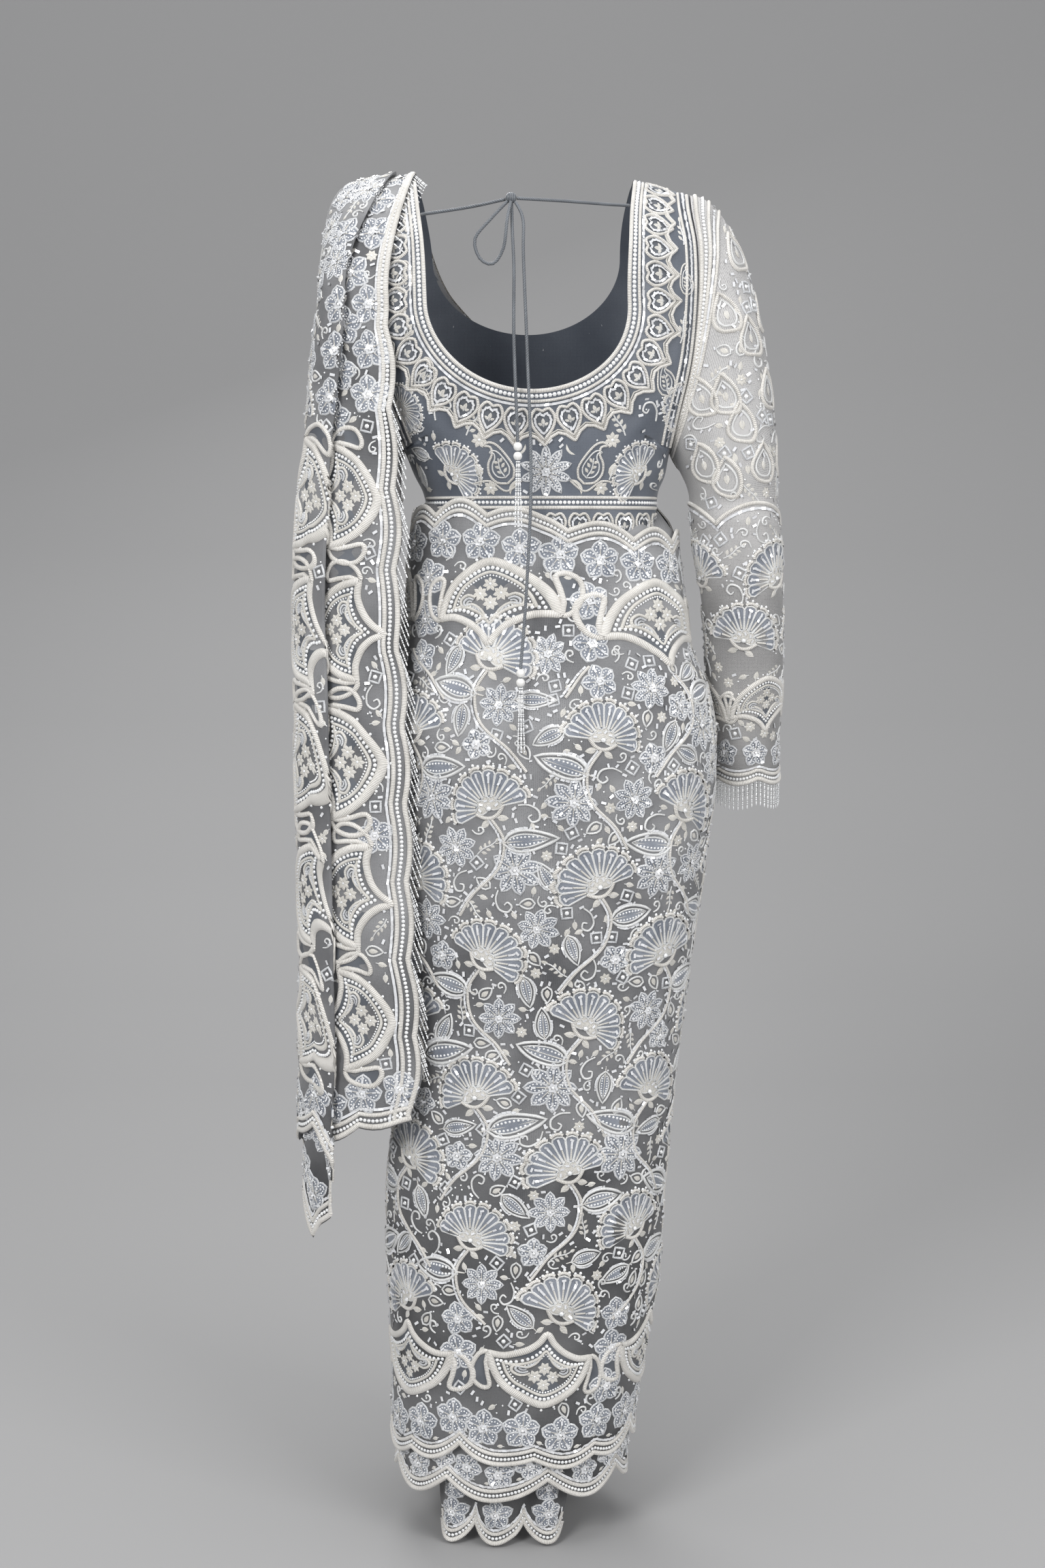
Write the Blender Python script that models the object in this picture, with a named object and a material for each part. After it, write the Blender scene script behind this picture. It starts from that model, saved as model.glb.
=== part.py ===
"""A sari with its long-sleeved blouse, in the hollow form that it has when worn.

The cloth is the model: every piece is a thin wall through sections worked out from the sizes below.
The wearer's front faces -Y and the back faces +Y, the wearer's left is +X, and +Z is up.
The origin is the centre of the waist, where the wearer holds the sari up.
Heights in the tables are above the floor that the longest hem reaches, in metres.
"""

import math
from collections import namedtuple

import bpy
import bmesh
from mathutils import Vector

# Driving sizes, in metres
WAIST_HEIGHT = 1.120
BLOUSE_WALL = 0.0015
SARI_WALL = 0.0014
SEAM_GAP = 0.0003
LAYER_GAP = 0.0008
SEAM_REACH = 0.0006
SQUARENESS = 0.88
SHOULDER_ROUNDING = 0.110

# Directions around the body, in degrees from the centre back towards the wearer's left
FRONT_LEFT = 150.0
FRONT_RIGHT = 208.0
RIGHT_SIDE = -98.0
WRAP_STEP = 7.5

Section = namedtuple("Section", "height centre half back front")

TORSO = [
    Section(1.110, 0.000, 0.126, 0.0865, 0.0930),
    Section(1.160, 0.000, 0.1270, 0.0860, 0.0940),
    Section(1.187, 0.002, 0.1300, 0.0875, 0.0970),
    Section(1.206, 0.003, 0.1385, 0.0910, 0.1040),
    Section(1.234, 0.006, 0.1475, 0.0960, 0.1160),
    Section(1.254, 0.008, 0.1600, 0.0990, 0.1230),
    Section(1.290, 0.011, 0.1780, 0.1040, 0.1270),
    Section(1.330, 0.013, 0.1900, 0.1070, 0.1230),
    Section(1.386, 0.017, 0.2000, 0.1060, 0.1080),
    Section(1.450, 0.018, 0.2000, 0.0980, 0.0860),
    Section(1.490, 0.0195, 0.1980, 0.0860, 0.0700),
    Section(1.560, 0.0195, 0.1900, 0.0640, 0.0560),
]

SKIRT = [
    Section(0.000, 0.037, 0.142, 0.108, 0.138),
    Section(0.100, 0.034, 0.140, 0.108, 0.136),
    Section(0.200, 0.027, 0.144, 0.107, 0.133),
    Section(0.300, 0.021, 0.154, 0.106, 0.130),
    Section(0.400, 0.018, 0.157, 0.103, 0.127),
    Section(0.500, 0.010, 0.158, 0.103, 0.124),
    Section(0.600, 0.003, 0.163, 0.108, 0.122),
    Section(0.700, -0.003, 0.170, 0.118, 0.120),
    Section(0.780, -0.008, 0.176, 0.128, 0.118),
    Section(0.860, -0.011, 0.181, 0.134, 0.116),
    Section(0.920, -0.012, 0.182, 0.134, 0.115),
    Section(0.975, -0.010, 0.174, 0.126, 0.113),
    Section(1.020, -0.004, 0.161, 0.114, 0.110),
    Section(1.060, -0.004, 0.156, 0.104, 0.107),
    Section(1.115, -0.002, 0.150, 0.0890, 0.1005),
    Section(1.145, -0.002, 0.147, 0.0884, 0.1000),
    Section(1.190, -0.001, 0.138, 0.0886, 0.1000),
]

# Blouse: neckline, armhole and bust
NECK_HALF = 0.106
NECK_TOP_HALF = 0.119
NECK_BEND_HEIGHT = 1.385
BACK_NECK_DROP = 0.090
FRONT_BEND_HEIGHT = 1.450
FRONT_NECK_DROP = 0.080
SHOULDER_AT_CENTRE = 1.561
SHOULDER_SLOPE = 0.285
BLOUSE_HEM = 1.116
ARMPIT_HEIGHT = 1.234
SHOULDER_TIP_HALF = 0.179
SHOULDER_CENTRE = 0.0195
BUST_HEIGHT = 1.285
BUST_HALF_SPACING = 0.078
BUST_RISE = 0.014
BUST_SPREAD = 0.050
ROW_BEND = 2.0
PANEL_COLUMNS = 7
LOWER_ROWS = 4
NECK_ROWS = 6
STRAP_ROWS = 4
ARMHOLE_ROWS = NECK_ROWS + STRAP_ROWS

Seam = namedtuple("Seam", "height half")

ARMHOLE = [
    Seam(1.234, 0.1475),
    Seam(1.254, 0.1530),
    Seam(1.320, 0.1720),
    Seam(1.386, 0.1830),
    Seam(1.450, 0.1840),
    Seam(1.492, 0.1795),
    Seam(1.510, 0.1790),
]

Ring = namedtuple("Ring", "height centre_x centre_y half_x half_y")

# Sleeve sections, with centre_x measured outwards from the waist's centre
RIGHT_ARM = [
    Ring(1.180, 0.2115, 0.004, 0.0485, 0.0520),
    Ring(1.120, 0.2180, 0.002, 0.0490, 0.0520),
    Ring(1.060, 0.2245, -0.008, 0.0450, 0.0480),
    Ring(0.980, 0.2290, -0.024, 0.0430, 0.0450),
    Ring(0.920, 0.2310, -0.037, 0.0395, 0.0420),
    Ring(0.885, 0.2320, -0.043, 0.0390, 0.0410),
    Ring(0.866, 0.2320, -0.045, 0.0400, 0.0420),
]
LEFT_ARM = [
    Ring(1.180, 0.2030, 0.004, 0.0465, 0.0520),
    Ring(1.120, 0.2090, 0.002, 0.0460, 0.0500),
    Ring(1.060, 0.2140, -0.002, 0.0430, 0.0470),
    Ring(0.980, 0.2170, -0.008, 0.0410, 0.0430),
    Ring(0.920, 0.2185, -0.014, 0.0395, 0.0410),
    Ring(0.885, 0.2195, -0.017, 0.0385, 0.0400),
    Ring(0.866, 0.2200, -0.018, 0.0390, 0.0405),
]
CAP_ROWS = 5
CAP_DROP = 0.62
SleeveCap = namedtuple("SleeveCap", "reach set_off")
RIGHT_CAP = SleeveCap(0.62, 0.0013)
LEFT_CAP = SleeveCap(0.20, 0.0019)
CAP_FALL = 1.05
CUFF_LOBES = 5
CUFF_LOBE_DEPTH = 0.007

# Fringe of beaded strands: a narrow strip with strands that hang from it
STRIP_HEIGHT = 0.0025
STRIP_WALL = 0.0020
STRAND_SHARE = 0.30
CUFF_STRANDS = 18
CUFF_STRAND_LENGTH = 0.027
PALLU_STRANDS = 46
PALLU_STRAND_LENGTH = 0.024

# Skirt wraps
WRAP_TOP = 1.146
WRAP_TOP_LOBE = 0.014
WRAP_TOP_TILT = 0.012
WRAP_HEM = 0.130
WRAP_HEM_DROP = 0.020
WRAP_HEM_LOBE = 0.010
WRAP_CUSP = 22.5
MIDDLE_HEM = 0.084
MIDDLE_HEM_LOBE = 0.024
MIDDLE_CUSP = 30.0
MIDDLE_INSET = SARI_WALL + LAYER_GAP
MIDDLE_SLACK = 0.0045
INNER_INSET = 2.0 * (SARI_WALL + LAYER_GAP)
INNER_SLACK = 0.011
INNER_HEM_SLACK = 0.016
INNER_HEM = 0.100
INNER_VALLEY = 0.030
INNER_LOBE_FOOT = 0.004
INNER_LOBE_DEPTH = 0.013
INNER_LOBE_PITCH = 24.0
INNER_LOBE_CENTRE = 6.0
INNER_LOBE_COUNT = 3
MIDDLE_COLUMNS = 36
INNER_COLUMNS = 36
MIDDLE_HEIGHTS = (1.098, 1.055, 1.010, 0.950, 0.860, 0.700, 0.500, 0.280, 0.160)
MIDDLE_SLACK_TOP = 1.060
INNER_HEIGHTS = (1.085, 1.030, 0.940, 0.760, 0.500, 0.280, 0.180, 0.120)

# Front pleats
PLEATS = 6
PLEAT_TOP = 1.135
PLEAT_HEM = 0.024
PLEAT_SEAM_TURN = 0.75

PleatSize = namedtuple("PleatSize", "height depth turn overlap")
PLEAT_SIZES = [
    PleatSize(0.000, 0.0300, 0.0090, 1.18),
    PleatSize(0.500, 0.0210, 0.0065, 1.34),
    PleatSize(0.900, 0.0130, 0.0042, 1.48),
    PleatSize(1.140, 0.0100, 0.0036, 1.55),
]

# The pallu's folded section: across is 0 at the inner border and 1 at the outer side of the arm
FOLD_SPAN = 1.42
Fold = namedtuple("Fold", "across layer end")
FOLDS = [
    Fold(0.00, 0.0, 0.500),
    Fold(0.28, 0.0, 0.490),
    Fold(0.56, 0.0, 0.470),
    Fold(0.84, 0.0, 0.430),
    Fold(0.85, 0.6, 0.400),
    Fold(0.64, 1.0, 0.362),
    Fold(0.45, 1.4, 0.392),
    Fold(0.43, 2.0, 0.455),
    Fold(0.60, 2.0, 0.490),
    Fold(0.80, 2.0, 0.476),
    Fold(1.00, 2.0, 0.458),
    Fold(1.16, 2.0, 0.442),
    Fold(1.30, 2.0, 0.428),
    Fold(1.42, 2.0, 0.416),
    Fold(1.42, 1.4, 0.406),
    Fold(1.25, 1.0, 0.400),
    Fold(1.08, 0.6, 0.404),
    Fold(1.07, 0.0, 0.414),
    Fold(1.22, 0.0, 0.424),
    Fold(1.36, 0.0, 0.430),
]
LAYER_PITCH = 0.0042
TURN_LENGTH = 0.03

PalluRow = namedtuple("PalluRow", "height inner outer back front")
PALLU = [
    PalluRow(1.400, 0.165, 0.2350, 0.088, 0.056),
    PalluRow(1.340, 0.158, 0.2430, 0.090, 0.058),
    PalluRow(1.250, 0.155, 0.2520, 0.090, 0.060),
    PalluRow(1.150, 0.150, 0.2630, 0.090, 0.062),
    PalluRow(1.060, 0.152, 0.2665, 0.091, 0.062),
    PalluRow(0.980, 0.145, 0.2665, 0.094, 0.062),
    PalluRow(0.880, 0.141, 0.2665, 0.098, 0.066),
    PalluRow(0.780, 0.139, 0.2650, 0.100, 0.052),
    PalluRow(0.680, 0.137, 0.2650, 0.101, 0.046),
    PalluRow(0.580, 0.130, 0.2670, 0.100, 0.042),
    PalluRow(0.480, 0.141, 0.2680, 0.099, 0.040),
    PalluRow(0.360, 0.146, 0.2690, 0.098, 0.038),
]
PALLU_SQUARENESS = 0.60
PALLU_TURN = 38.0
SHOULDER_TURN_SHARE = 0.70
PALLU_LOBE_PITCH = 0.085
PALLU_LOBE_DEPTH = 0.006
PALLU_ROWS = 13
SHOULDER_ROWS = 6
SHOULDER_LIFT = 0.0060
FRINGE_FIRST_ROW = 5

# The drape across the front: each section runs from the upper border to the lower border
DrapeRow = namedtuple("DrapeRow", "along upper_turn upper_height lower_turn lower_height lift")
DRAPE = [
    DrapeRow(0.00, 262.0, 1.150, 262.0, 0.128, -0.0007),
    DrapeRow(0.14, 246.0, 1.168, 241.0, 0.200, 0.0050),
    DrapeRow(0.28, 230.0, 1.192, 222.0, 0.370, 0.0120),
    DrapeRow(0.42, 214.0, 1.225, 203.0, 0.600, 0.0210),
    DrapeRow(0.56, 199.0, 1.262, 184.0, 0.840, 0.0210),
    DrapeRow(0.70, 186.0, 1.305, 163.0, 1.030, 0.0170),
    DrapeRow(0.84, 174.0, 1.350, 142.0, 1.160, 0.0130),
    DrapeRow(1.00, 160.0, 1.405, 122.0, 1.290, 0.0110),
]
DRAPE_ROWS = 13
RAISING_START = 0.04
RAISING_REACH = 0.28
FOLDING_START = 0.50
FOLDING_REACH = 0.50

# Ties of the blouse
TIE_DIAMETER = 0.0035
TIE_LONG_PITCH = 0.028
TIE_SHORT_PITCH = 0.012
TIE_RIM_REACH = 0.0012
TIE_SIDES_RESOLUTION = 1
PEARL_RADIUS = 0.0048
KNOT_RADIUS = 0.0060
TASSEL_LENGTH = 0.070
TASSEL_CELL = 0.0032

Look = namedtuple("Look", "colour roughness metallic")
NET_SILVER = Look((0.62, 0.64, 0.66), 0.55, 0.15)
LINED_GREY = Look((0.33, 0.36, 0.41), 0.60, 0.10)
BEADS = Look((0.80, 0.81, 0.82), 0.25, 0.30)
TIE_GREY = Look((0.36, 0.39, 0.42), 0.65, 0.0)
PEARL = Look((0.88, 0.87, 0.84), 0.25, 0.0)


def smooth(keys, values, at):
    """Value of a smooth curve through a short table, held level past its ends."""
    if at <= keys[0]:
        return values[0]
    if at >= keys[-1]:
        return values[-1]
    low = max(i for i in range(len(keys) - 1) if keys[i] <= at)
    slopes = []
    for i in (low, low + 1):
        before = max(i - 1, 0)
        after = min(i + 1, len(keys) - 1)
        slopes.append((values[after] - values[before]) / (keys[after] - keys[before]))
    span = keys[low + 1] - keys[low]
    t = (at - keys[low]) / span
    return ((2 * t ** 3 - 3 * t ** 2 + 1) * values[low] + (t ** 3 - 2 * t ** 2 + t) * span * slopes[0]
            + (3 * t ** 2 - 2 * t ** 3) * values[low + 1] + (t ** 3 - t ** 2) * span * slopes[1])


def read(table, column, at, key="height"):
    """One column of a table, read smoothly at a height or another key."""
    rows = sorted(table, key=lambda row: getattr(row, key))
    return smooth([getattr(row, key) for row in rows], [getattr(row, column) for row in rows], at)


def mix(low, high, share):
    return low + (high - low) * share


def ease(share):
    share = min(max(share, 0.0), 1.0)
    return share * share * (3.0 - 2.0 * share)


def power(value, exponent):
    return math.copysign(abs(value) ** exponent, value)


def lobes(turn, pitch, start=0.0):
    """Row of round lobes: 0 at each cusp and 1 at each lobe's middle."""
    return abs(math.sin(math.pi * (turn - start) / pitch))


def at_height(x, y, height):
    return Vector((x, y, height - WAIST_HEIGHT))


def shoulder_height(half):
    return SHOULDER_AT_CENTRE - SHOULDER_SLOPE * half


def section_point(table, turn, height, inset=0.0):
    """Point of the body's section at a height and a turn in degrees from the centre back."""
    sine = power(math.sin(math.radians(turn)), SQUARENESS)
    cosine = power(math.cos(math.radians(turn)), SQUARENESS)
    side = (read(table, "half", height) - inset) * sine
    reach = read(table, "back" if cosine > 0 else "front", height) - inset
    return at_height(read(table, "centre", height) + side, reach * cosine, height)


def torso_turn(half, height):
    """Turn at which the torso's section has a given distance from its centre plane."""
    share = min(half / read(TORSO, "half", height), 1.0)
    return math.degrees(math.asin(share ** (1.0 / SQUARENESS)))


def torso_point(turn, height, front):
    """Point of the blouse, rounded over at the shoulder, on the wearer's left half."""
    sine = math.sin(math.radians(turn)) ** SQUARENESS
    cosine = max(math.cos(math.radians(turn)), 0.0) ** SQUARENESS
    side = read(TORSO, "half", height) * sine
    below = max(shoulder_height(side) - height, 0.0) / SHOULDER_ROUNDING
    rounding = math.sqrt(max(1.0 - (1.0 - min(below, 1.0)) ** 2, 0.0))
    depth = read(TORSO, "front" if front else "back", height) * cosine * rounding
    if front:
        spread = (side - BUST_HALF_SPACING) ** 2 + (height - BUST_HEIGHT) ** 2
        depth += BUST_RISE * math.exp(-spread / BUST_SPREAD ** 2) * cosine
    return side, depth, height


def neck_edge(row, front):
    """Half width and height of the panel's inner edge: centre line, neckline bend, then strap."""
    bend_height = FRONT_BEND_HEIGHT if front else NECK_BEND_HEIGHT
    drop = FRONT_NECK_DROP if front else BACK_NECK_DROP
    if row <= LOWER_ROWS:
        return 0.0, mix(BLOUSE_HEM, bend_height - drop, row / LOWER_ROWS)
    if row <= LOWER_ROWS + NECK_ROWS:
        angle = math.radians(90.0 * (row - LOWER_ROWS) / NECK_ROWS)
        return NECK_HALF * math.sin(angle), bend_height - drop * math.cos(angle)
    share = (row - LOWER_ROWS - NECK_ROWS) / STRAP_ROWS
    half = mix(NECK_HALF, NECK_TOP_HALF, share ** 2)
    return half, mix(bend_height, shoulder_height(NECK_TOP_HALF), share)


def armhole_edge(row):
    """Half width and height of the panel's outer edge: side seam, then armhole."""
    if row <= LOWER_ROWS:
        height = mix(BLOUSE_HEM, ARMPIT_HEIGHT, row / LOWER_ROWS)
        return read(TORSO, "half", height), height
    angle = math.pi * (row - LOWER_ROWS) / ARMHOLE_ROWS
    top = shoulder_height(SHOULDER_TIP_HALF)
    height = mix(ARMPIT_HEIGHT, top, (1.0 - math.cos(angle)) / 2.0)
    return read(ARMHOLE, "half", height), height


def panel_point(row, share, front):
    """Point of a half panel, share 0 at the centre or neckline and 1 at the side or armhole."""
    neck_half, neck_height = neck_edge(row, front)
    arm_half, arm_height = armhole_edge(row)
    turn = mix(torso_turn(neck_half, neck_height), torso_turn(arm_half, arm_height), share)
    height = mix(neck_height, arm_height, 1.0 - (1.0 - share) ** ROW_BEND)
    if row == LOWER_ROWS + ARMHOLE_ROWS:
        half = mix(neck_half, arm_half, share)
        return half, 0.0, shoulder_height(half)
    return torso_point(turn, height, front)


def panel_world(row, share, front, side):
    """The panel's point in the part's frame; side is 1 for the wearer's left, -1 for the right."""
    half, depth, height = panel_point(row, share, front)
    forward = -1.0 if front else 1.0
    centre = read(TORSO, "centre", height)
    return at_height(centre + side * half, forward * (depth + SEAM_GAP / 2.0), height)


def armhole_loop(side):
    """The armhole's points from the shoulder tip down the back, the armpit and up the front."""
    last = LOWER_ROWS + ARMHOLE_ROWS
    back = [panel_world(row, 1.0, False, side) for row in range(last, LOWER_ROWS, -1)]
    armpit = panel_world(LOWER_ROWS, 1.0, False, side)
    armpit.y = 0.0
    back[0].y = 0.0
    front = [panel_world(row, 1.0, True, side) for row in range(LOWER_ROWS + 1, last)]
    return back + [armpit] + front


def curve_between(start, leave, end, arrive, t):
    """Point of a smooth curve with given end directions."""
    return (start * (2 * t ** 3 - 3 * t ** 2 + 1) + leave * (t ** 3 - 2 * t ** 2 + t)
            + end * (3 * t ** 2 - 2 * t ** 3) + arrive * (t ** 3 - t ** 2))


def sleeve_ring(table, side, height, share):
    angle = 2.0 * math.pi * share
    return at_height(side * (read(table, "centre_x", height)
                             + read(table, "half_x", height) * math.cos(angle)),
                     read(table, "centre_y", height) + read(table, "half_y", height) * math.sin(angle),
                     height)


def sleeve_rows(side):
    """Sections of a sleeve from the armhole to the scalloped cuff."""
    table, cap = (RIGHT_ARM, RIGHT_CAP) if side < 0 else (LEFT_ARM, LEFT_CAP)
    loop = armhole_loop(side)
    columns = len(loop)
    top = table[0].height
    rows = []
    for step in range(CAP_ROWS):
        t = step / CAP_ROWS
        ring = []
        for i, start in enumerate(loop):
            share = i / columns
            seam = start + Vector((side * cap.set_off, 0.0, 0.0))
            end = sleeve_ring(table, side, top, share)
            fall = seam.z - end.z
            outward = (1.0 + math.cos(2.0 * math.pi * share)) / 2.0
            leave = Vector((side * cap.reach * outward, 0.0, -CAP_DROP * (1.0 - outward))) * fall
            arrive = Vector((0.0, 0.0, -CAP_FALL * fall))
            ring.append(curve_between(seam, leave, end, arrive, t))
        rows.append(ring)
    for row in table:
        rows.append([sleeve_ring(table, side, row.height, i / columns) for i in range(columns)])
    for i in range(columns):
        rows[-1][i].z -= CUFF_LOBE_DEPTH * lobes(i, columns / CUFF_LOBES)
    return rows


def wrap_top(turn):
    """Scalloped top border of the outer wrap, a little higher on the wearer's left."""
    tilt = WRAP_TOP_TILT * math.sin(math.radians(turn))
    return WRAP_TOP + tilt + WRAP_TOP_LOBE * lobes(turn, 4 * WRAP_STEP, WRAP_CUSP)


def wrap_hem(turn):
    """Scalloped hem of the outer wrap: three small lobes in each large one."""
    large = lobes(turn, 12 * WRAP_STEP, WRAP_CUSP) ** 0.6
    return WRAP_HEM - WRAP_HEM_DROP * large - WRAP_HEM_LOBE * lobes(turn, 4 * WRAP_STEP, WRAP_CUSP)


def middle_hem(turn):
    return MIDDLE_HEM - MIDDLE_HEM_LOBE * lobes(turn, 6 * WRAP_STEP, MIDDLE_CUSP)


def inner_wave(turn):
    """Round folds of the innermost wrap at the centre back, 1 on a fold and 0 beside them."""
    away = abs(turn - INNER_LOBE_CENTRE) / INNER_LOBE_PITCH
    if away > INNER_LOBE_COUNT / 2.0:
        return 0.0
    return ((1.0 + math.cos(2.0 * math.pi * away)) / 2.0) ** 0.7


def inner_hem(turn):
    """Hem of the innermost wrap: its folds reach the floor, and beside them it is hidden."""
    away = abs(turn - INNER_LOBE_CENTRE) / INNER_LOBE_PITCH - INNER_LOBE_COUNT / 2.0
    return mix(mix(INNER_VALLEY, INNER_LOBE_FOOT, inner_wave(turn)), INNER_HEM, ease(away * 3.0))


ROW_SHARES = (0.0, 0.025, 0.06, 0.11, 0.17, 0.23, 0.30, 0.38, 0.47, 0.56, 0.65, 0.74, 0.82, 0.89, 0.945,
              0.98, 1.0)


def outer_wrap_rows():
    columns = round((FRONT_LEFT - RIGHT_SIDE) / WRAP_STEP)
    rows = []
    for share in ROW_SHARES:
        row = []
        for i in range(columns + 1):
            turn = mix(RIGHT_SIDE, FRONT_LEFT, i / columns)
            row.append(section_point(SKIRT, turn, mix(wrap_top(turn), wrap_hem(turn), share)))
        rows.append(row)
    return rows


def under_wrap_rows(first, last, columns, heights, hem, inset):
    """Sections of a wrap that lies inside the outer one, between two turns; the last is its hem."""
    rows = []
    for level in range(len(heights) + 1):
        row = []
        for i in range(columns + 1):
            turn = mix(first, last, i / columns)
            height = hem(turn) if level == len(heights) else heights[level]
            row.append(section_point(SKIRT, turn, height, inset(turn, height)))
        rows.append(row)
    return rows


def middle_inset(turn, height):
    return MIDDLE_INSET + MIDDLE_SLACK * ease((MIDDLE_SLACK_TOP - height) / 0.048)


def inner_inset(turn, height):
    lobe = INNER_LOBE_DEPTH * inner_wave(turn) * ease((0.19 - height) / 0.12)
    slack = INNER_SLACK * ease((INNER_HEIGHTS[0] - height) / 0.055)
    return INNER_INSET + slack + INNER_HEM_SLACK * ease((0.30 - height) / 0.2) - lobe


def pleat_path(height):
    """Zigzag of the knife pleats at a height: pairs of share across the front and depth."""
    depth = read(PLEAT_SIZES, "depth", height)
    turn = read(PLEAT_SIZES, "turn", height)
    overlap = read(PLEAT_SIZES, "overlap", height)
    step = 1.0 / (PLEATS + overlap - 0.55)
    path = []
    for pleat in range(PLEATS):
        start = pleat * step
        path.append((start, turn if pleat else turn * 0.5))
        path.append((start, 0.0))
        path.append((start + overlap * step, depth))
        path.append((start + overlap * step, depth - turn))
    path.append((PLEATS * step, turn * 0.6))
    path.append((1.0, -SARI_WALL))
    return path


def pleat_rows():
    """Sections of the front pleats, from the tuck at the waist to the hem."""
    rows = []
    for share in (0.0, 0.05, 0.13, 0.25, 0.40, 0.56, 0.72, 0.87, 1.0):
        height = mix(PLEAT_TOP, PLEAT_HEM, share)
        row = []
        for across, depth in pleat_path(height):
            turn = mix(FRONT_RIGHT, FRONT_LEFT + PLEAT_SEAM_TURN, across)
            row.append(section_point(SKIRT, turn, height, -depth - SARI_WALL / 2.0))
        rows.append(row)
    return rows


def clothed_point(turn, height, lift):
    """Point in front of both the blouse and the skirt, lifted outwards."""
    sine = power(math.sin(math.radians(turn)), SQUARENESS)
    cosine = power(math.cos(math.radians(turn)), SQUARENESS)
    upper = ease((height - 1.13) / 0.09)
    value = {name: mix(read(SKIRT, name, height), read(TORSO, name, height), upper)
             for name in ("centre", "half", "back", "front")}
    reach = value["back"] if cosine > 0 else value["front"]
    bust = 0.0
    if cosine < 0:
        bust = BUST_RISE * math.exp(-((height - BUST_HEIGHT) / BUST_SPREAD) ** 2)
    return at_height(value["centre"] + (value["half"] + lift) * sine,
                     (reach + lift + bust) * cosine, height)


def fold_lengths():
    """Share of the cloth's width at each point of the folded section, 0 to 1."""
    total = 0.0
    lengths = [0.0]
    for before, after in zip(FOLDS, FOLDS[1:]):
        total += abs(after.across - before.across) + TURN_LENGTH * abs(after.layer - before.layer)
        lengths.append(total)
    return [length / total for length in lengths]


def shoulder_point(share, lift):
    """Point along the top of the shoulder, 0 at the neck side and 1 at the sleeve's cap."""
    half = mix(NECK_TOP_HALF + 0.002, SHOULDER_TIP_HALF + 0.006, share)
    return at_height(SHOULDER_CENTRE + half, 0.0, shoulder_height(half) + SHOULDER_LIFT + lift)


def pallu_point(across, height, lift):
    """Point of the hanging pallu: across 0 at its inner border, 1 outside the arm, more in front."""
    inner = read(PALLU, "inner", height)
    outer = read(PALLU, "outer", height)
    angle = 90.0 * across if across <= 1.0 else 90.0 + PALLU_TURN * (across - 1.0) / (FOLD_SPAN - 1.0)
    angle *= mix(SHOULDER_TURN_SHARE, 1.0, ease((PALLU[0].height - height) / 0.20))
    sine = math.sin(math.radians(angle)) ** PALLU_SQUARENESS
    cosine = power(math.cos(math.radians(angle)), PALLU_SQUARENESS)
    if across < 0.84:
        sine = (1.0 - 0.5 * (1.0 - across / 0.84)) * sine + 0.5 * (1.0 - across / 0.84) * across
    reach = read(PALLU, "back" if cosine > 0 else "front", height) + lift
    return at_height(inner + (outer + lift - inner) * sine, reach * cosine, height)


def pallu_rows():
    """Sections of the pallu from the shoulder seam down the back of the arm to its stepped end."""
    top = PALLU[0].height
    rows = []
    for step in range(SHOULDER_ROWS):
        t = step / SHOULDER_ROWS
        row = []
        for fold in FOLDS:
            lift = fold.layer * LAYER_PITCH
            pinned = fold.across / FOLD_SPAN
            start = shoulder_point(pinned, lift) + Vector((0.0, SEAM_GAP / 2.0, 0.0))
            end = pallu_point(fold.across, top, lift)
            leave = Vector((0.110 * pinned ** 2, 0.130 - 0.100 * pinned ** 2, 0.0))
            arrive = Vector((0.0, 0.0, -0.16 + 0.03 * pinned))
            row.append(curve_between(start, leave, end, arrive, t))
        rows.append(row)
    for step in range(PALLU_ROWS + 1):
        share = step / PALLU_ROWS
        row = []
        for fold in FOLDS:
            height = mix(top, fold.end, share)
            point = pallu_point(fold.across, height, fold.layer * LAYER_PITCH)
            if fold is FOLDS[0]:
                point.x += PALLU_LOBE_DEPTH * (1.0 - lobes(height, PALLU_LOBE_PITCH))
            if step == PALLU_ROWS:
                point.z -= PALLU_LOBE_DEPTH * lobes(fold.across, 0.28)
            row.append(point)
        rows.append(row)
    return rows


def drape_rows():
    """Sections of the drape from the right side across the front to the shoulder seam."""
    flats = fold_lengths()
    rows = []
    for step in range(DRAPE_ROWS + 1):
        along = step / DRAPE_ROWS
        folded = ease((along - FOLDING_START) / FOLDING_REACH)
        raised = ease((along - RAISING_START) / RAISING_REACH)
        upper_turn = read(DRAPE, "upper_turn", along, "along")
        lower_turn = read(DRAPE, "lower_turn", along, "along")
        upper_height = read(DRAPE, "upper_height", along, "along")
        lower_height = read(DRAPE, "lower_height", along, "along")
        lift = read(DRAPE, "lift", along, "along")
        row = []
        for fold, flat in zip(FOLDS, flats):
            share = mix(flat, fold.across / FOLD_SPAN, folded)
            turn = mix(upper_turn, lower_turn, share)
            if step == 0:
                turn -= math.degrees(SEAM_GAP / 0.16)
            height = mix(upper_height, lower_height, share)
            if step == 0:
                height = mix(wrap_top(RIGHT_SIDE), wrap_hem(RIGHT_SIDE), share)
            row.append(clothed_point(turn, height, lift + raised * fold.layer * LAYER_PITCH))
        rows.append(row)
    chest = rows[-1]
    for step in range(1, SHOULDER_ROWS + 1):
        t = step / SHOULDER_ROWS
        row = []
        for i, fold in enumerate(FOLDS):
            lift = fold.layer * LAYER_PITCH
            end = shoulder_point(fold.across / FOLD_SPAN, lift) - Vector((0.0, SEAM_GAP / 2.0, 0.0))
            before = rows[DRAPE_ROWS - 1][i]
            leave = (chest[i] - before).normalized() * 0.16
            arrive = Vector((0.0, 0.110, 0.0))
            row.append(curve_between(chest[i], leave, end, arrive, t))
        rows.append(row)
    return rows


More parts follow.
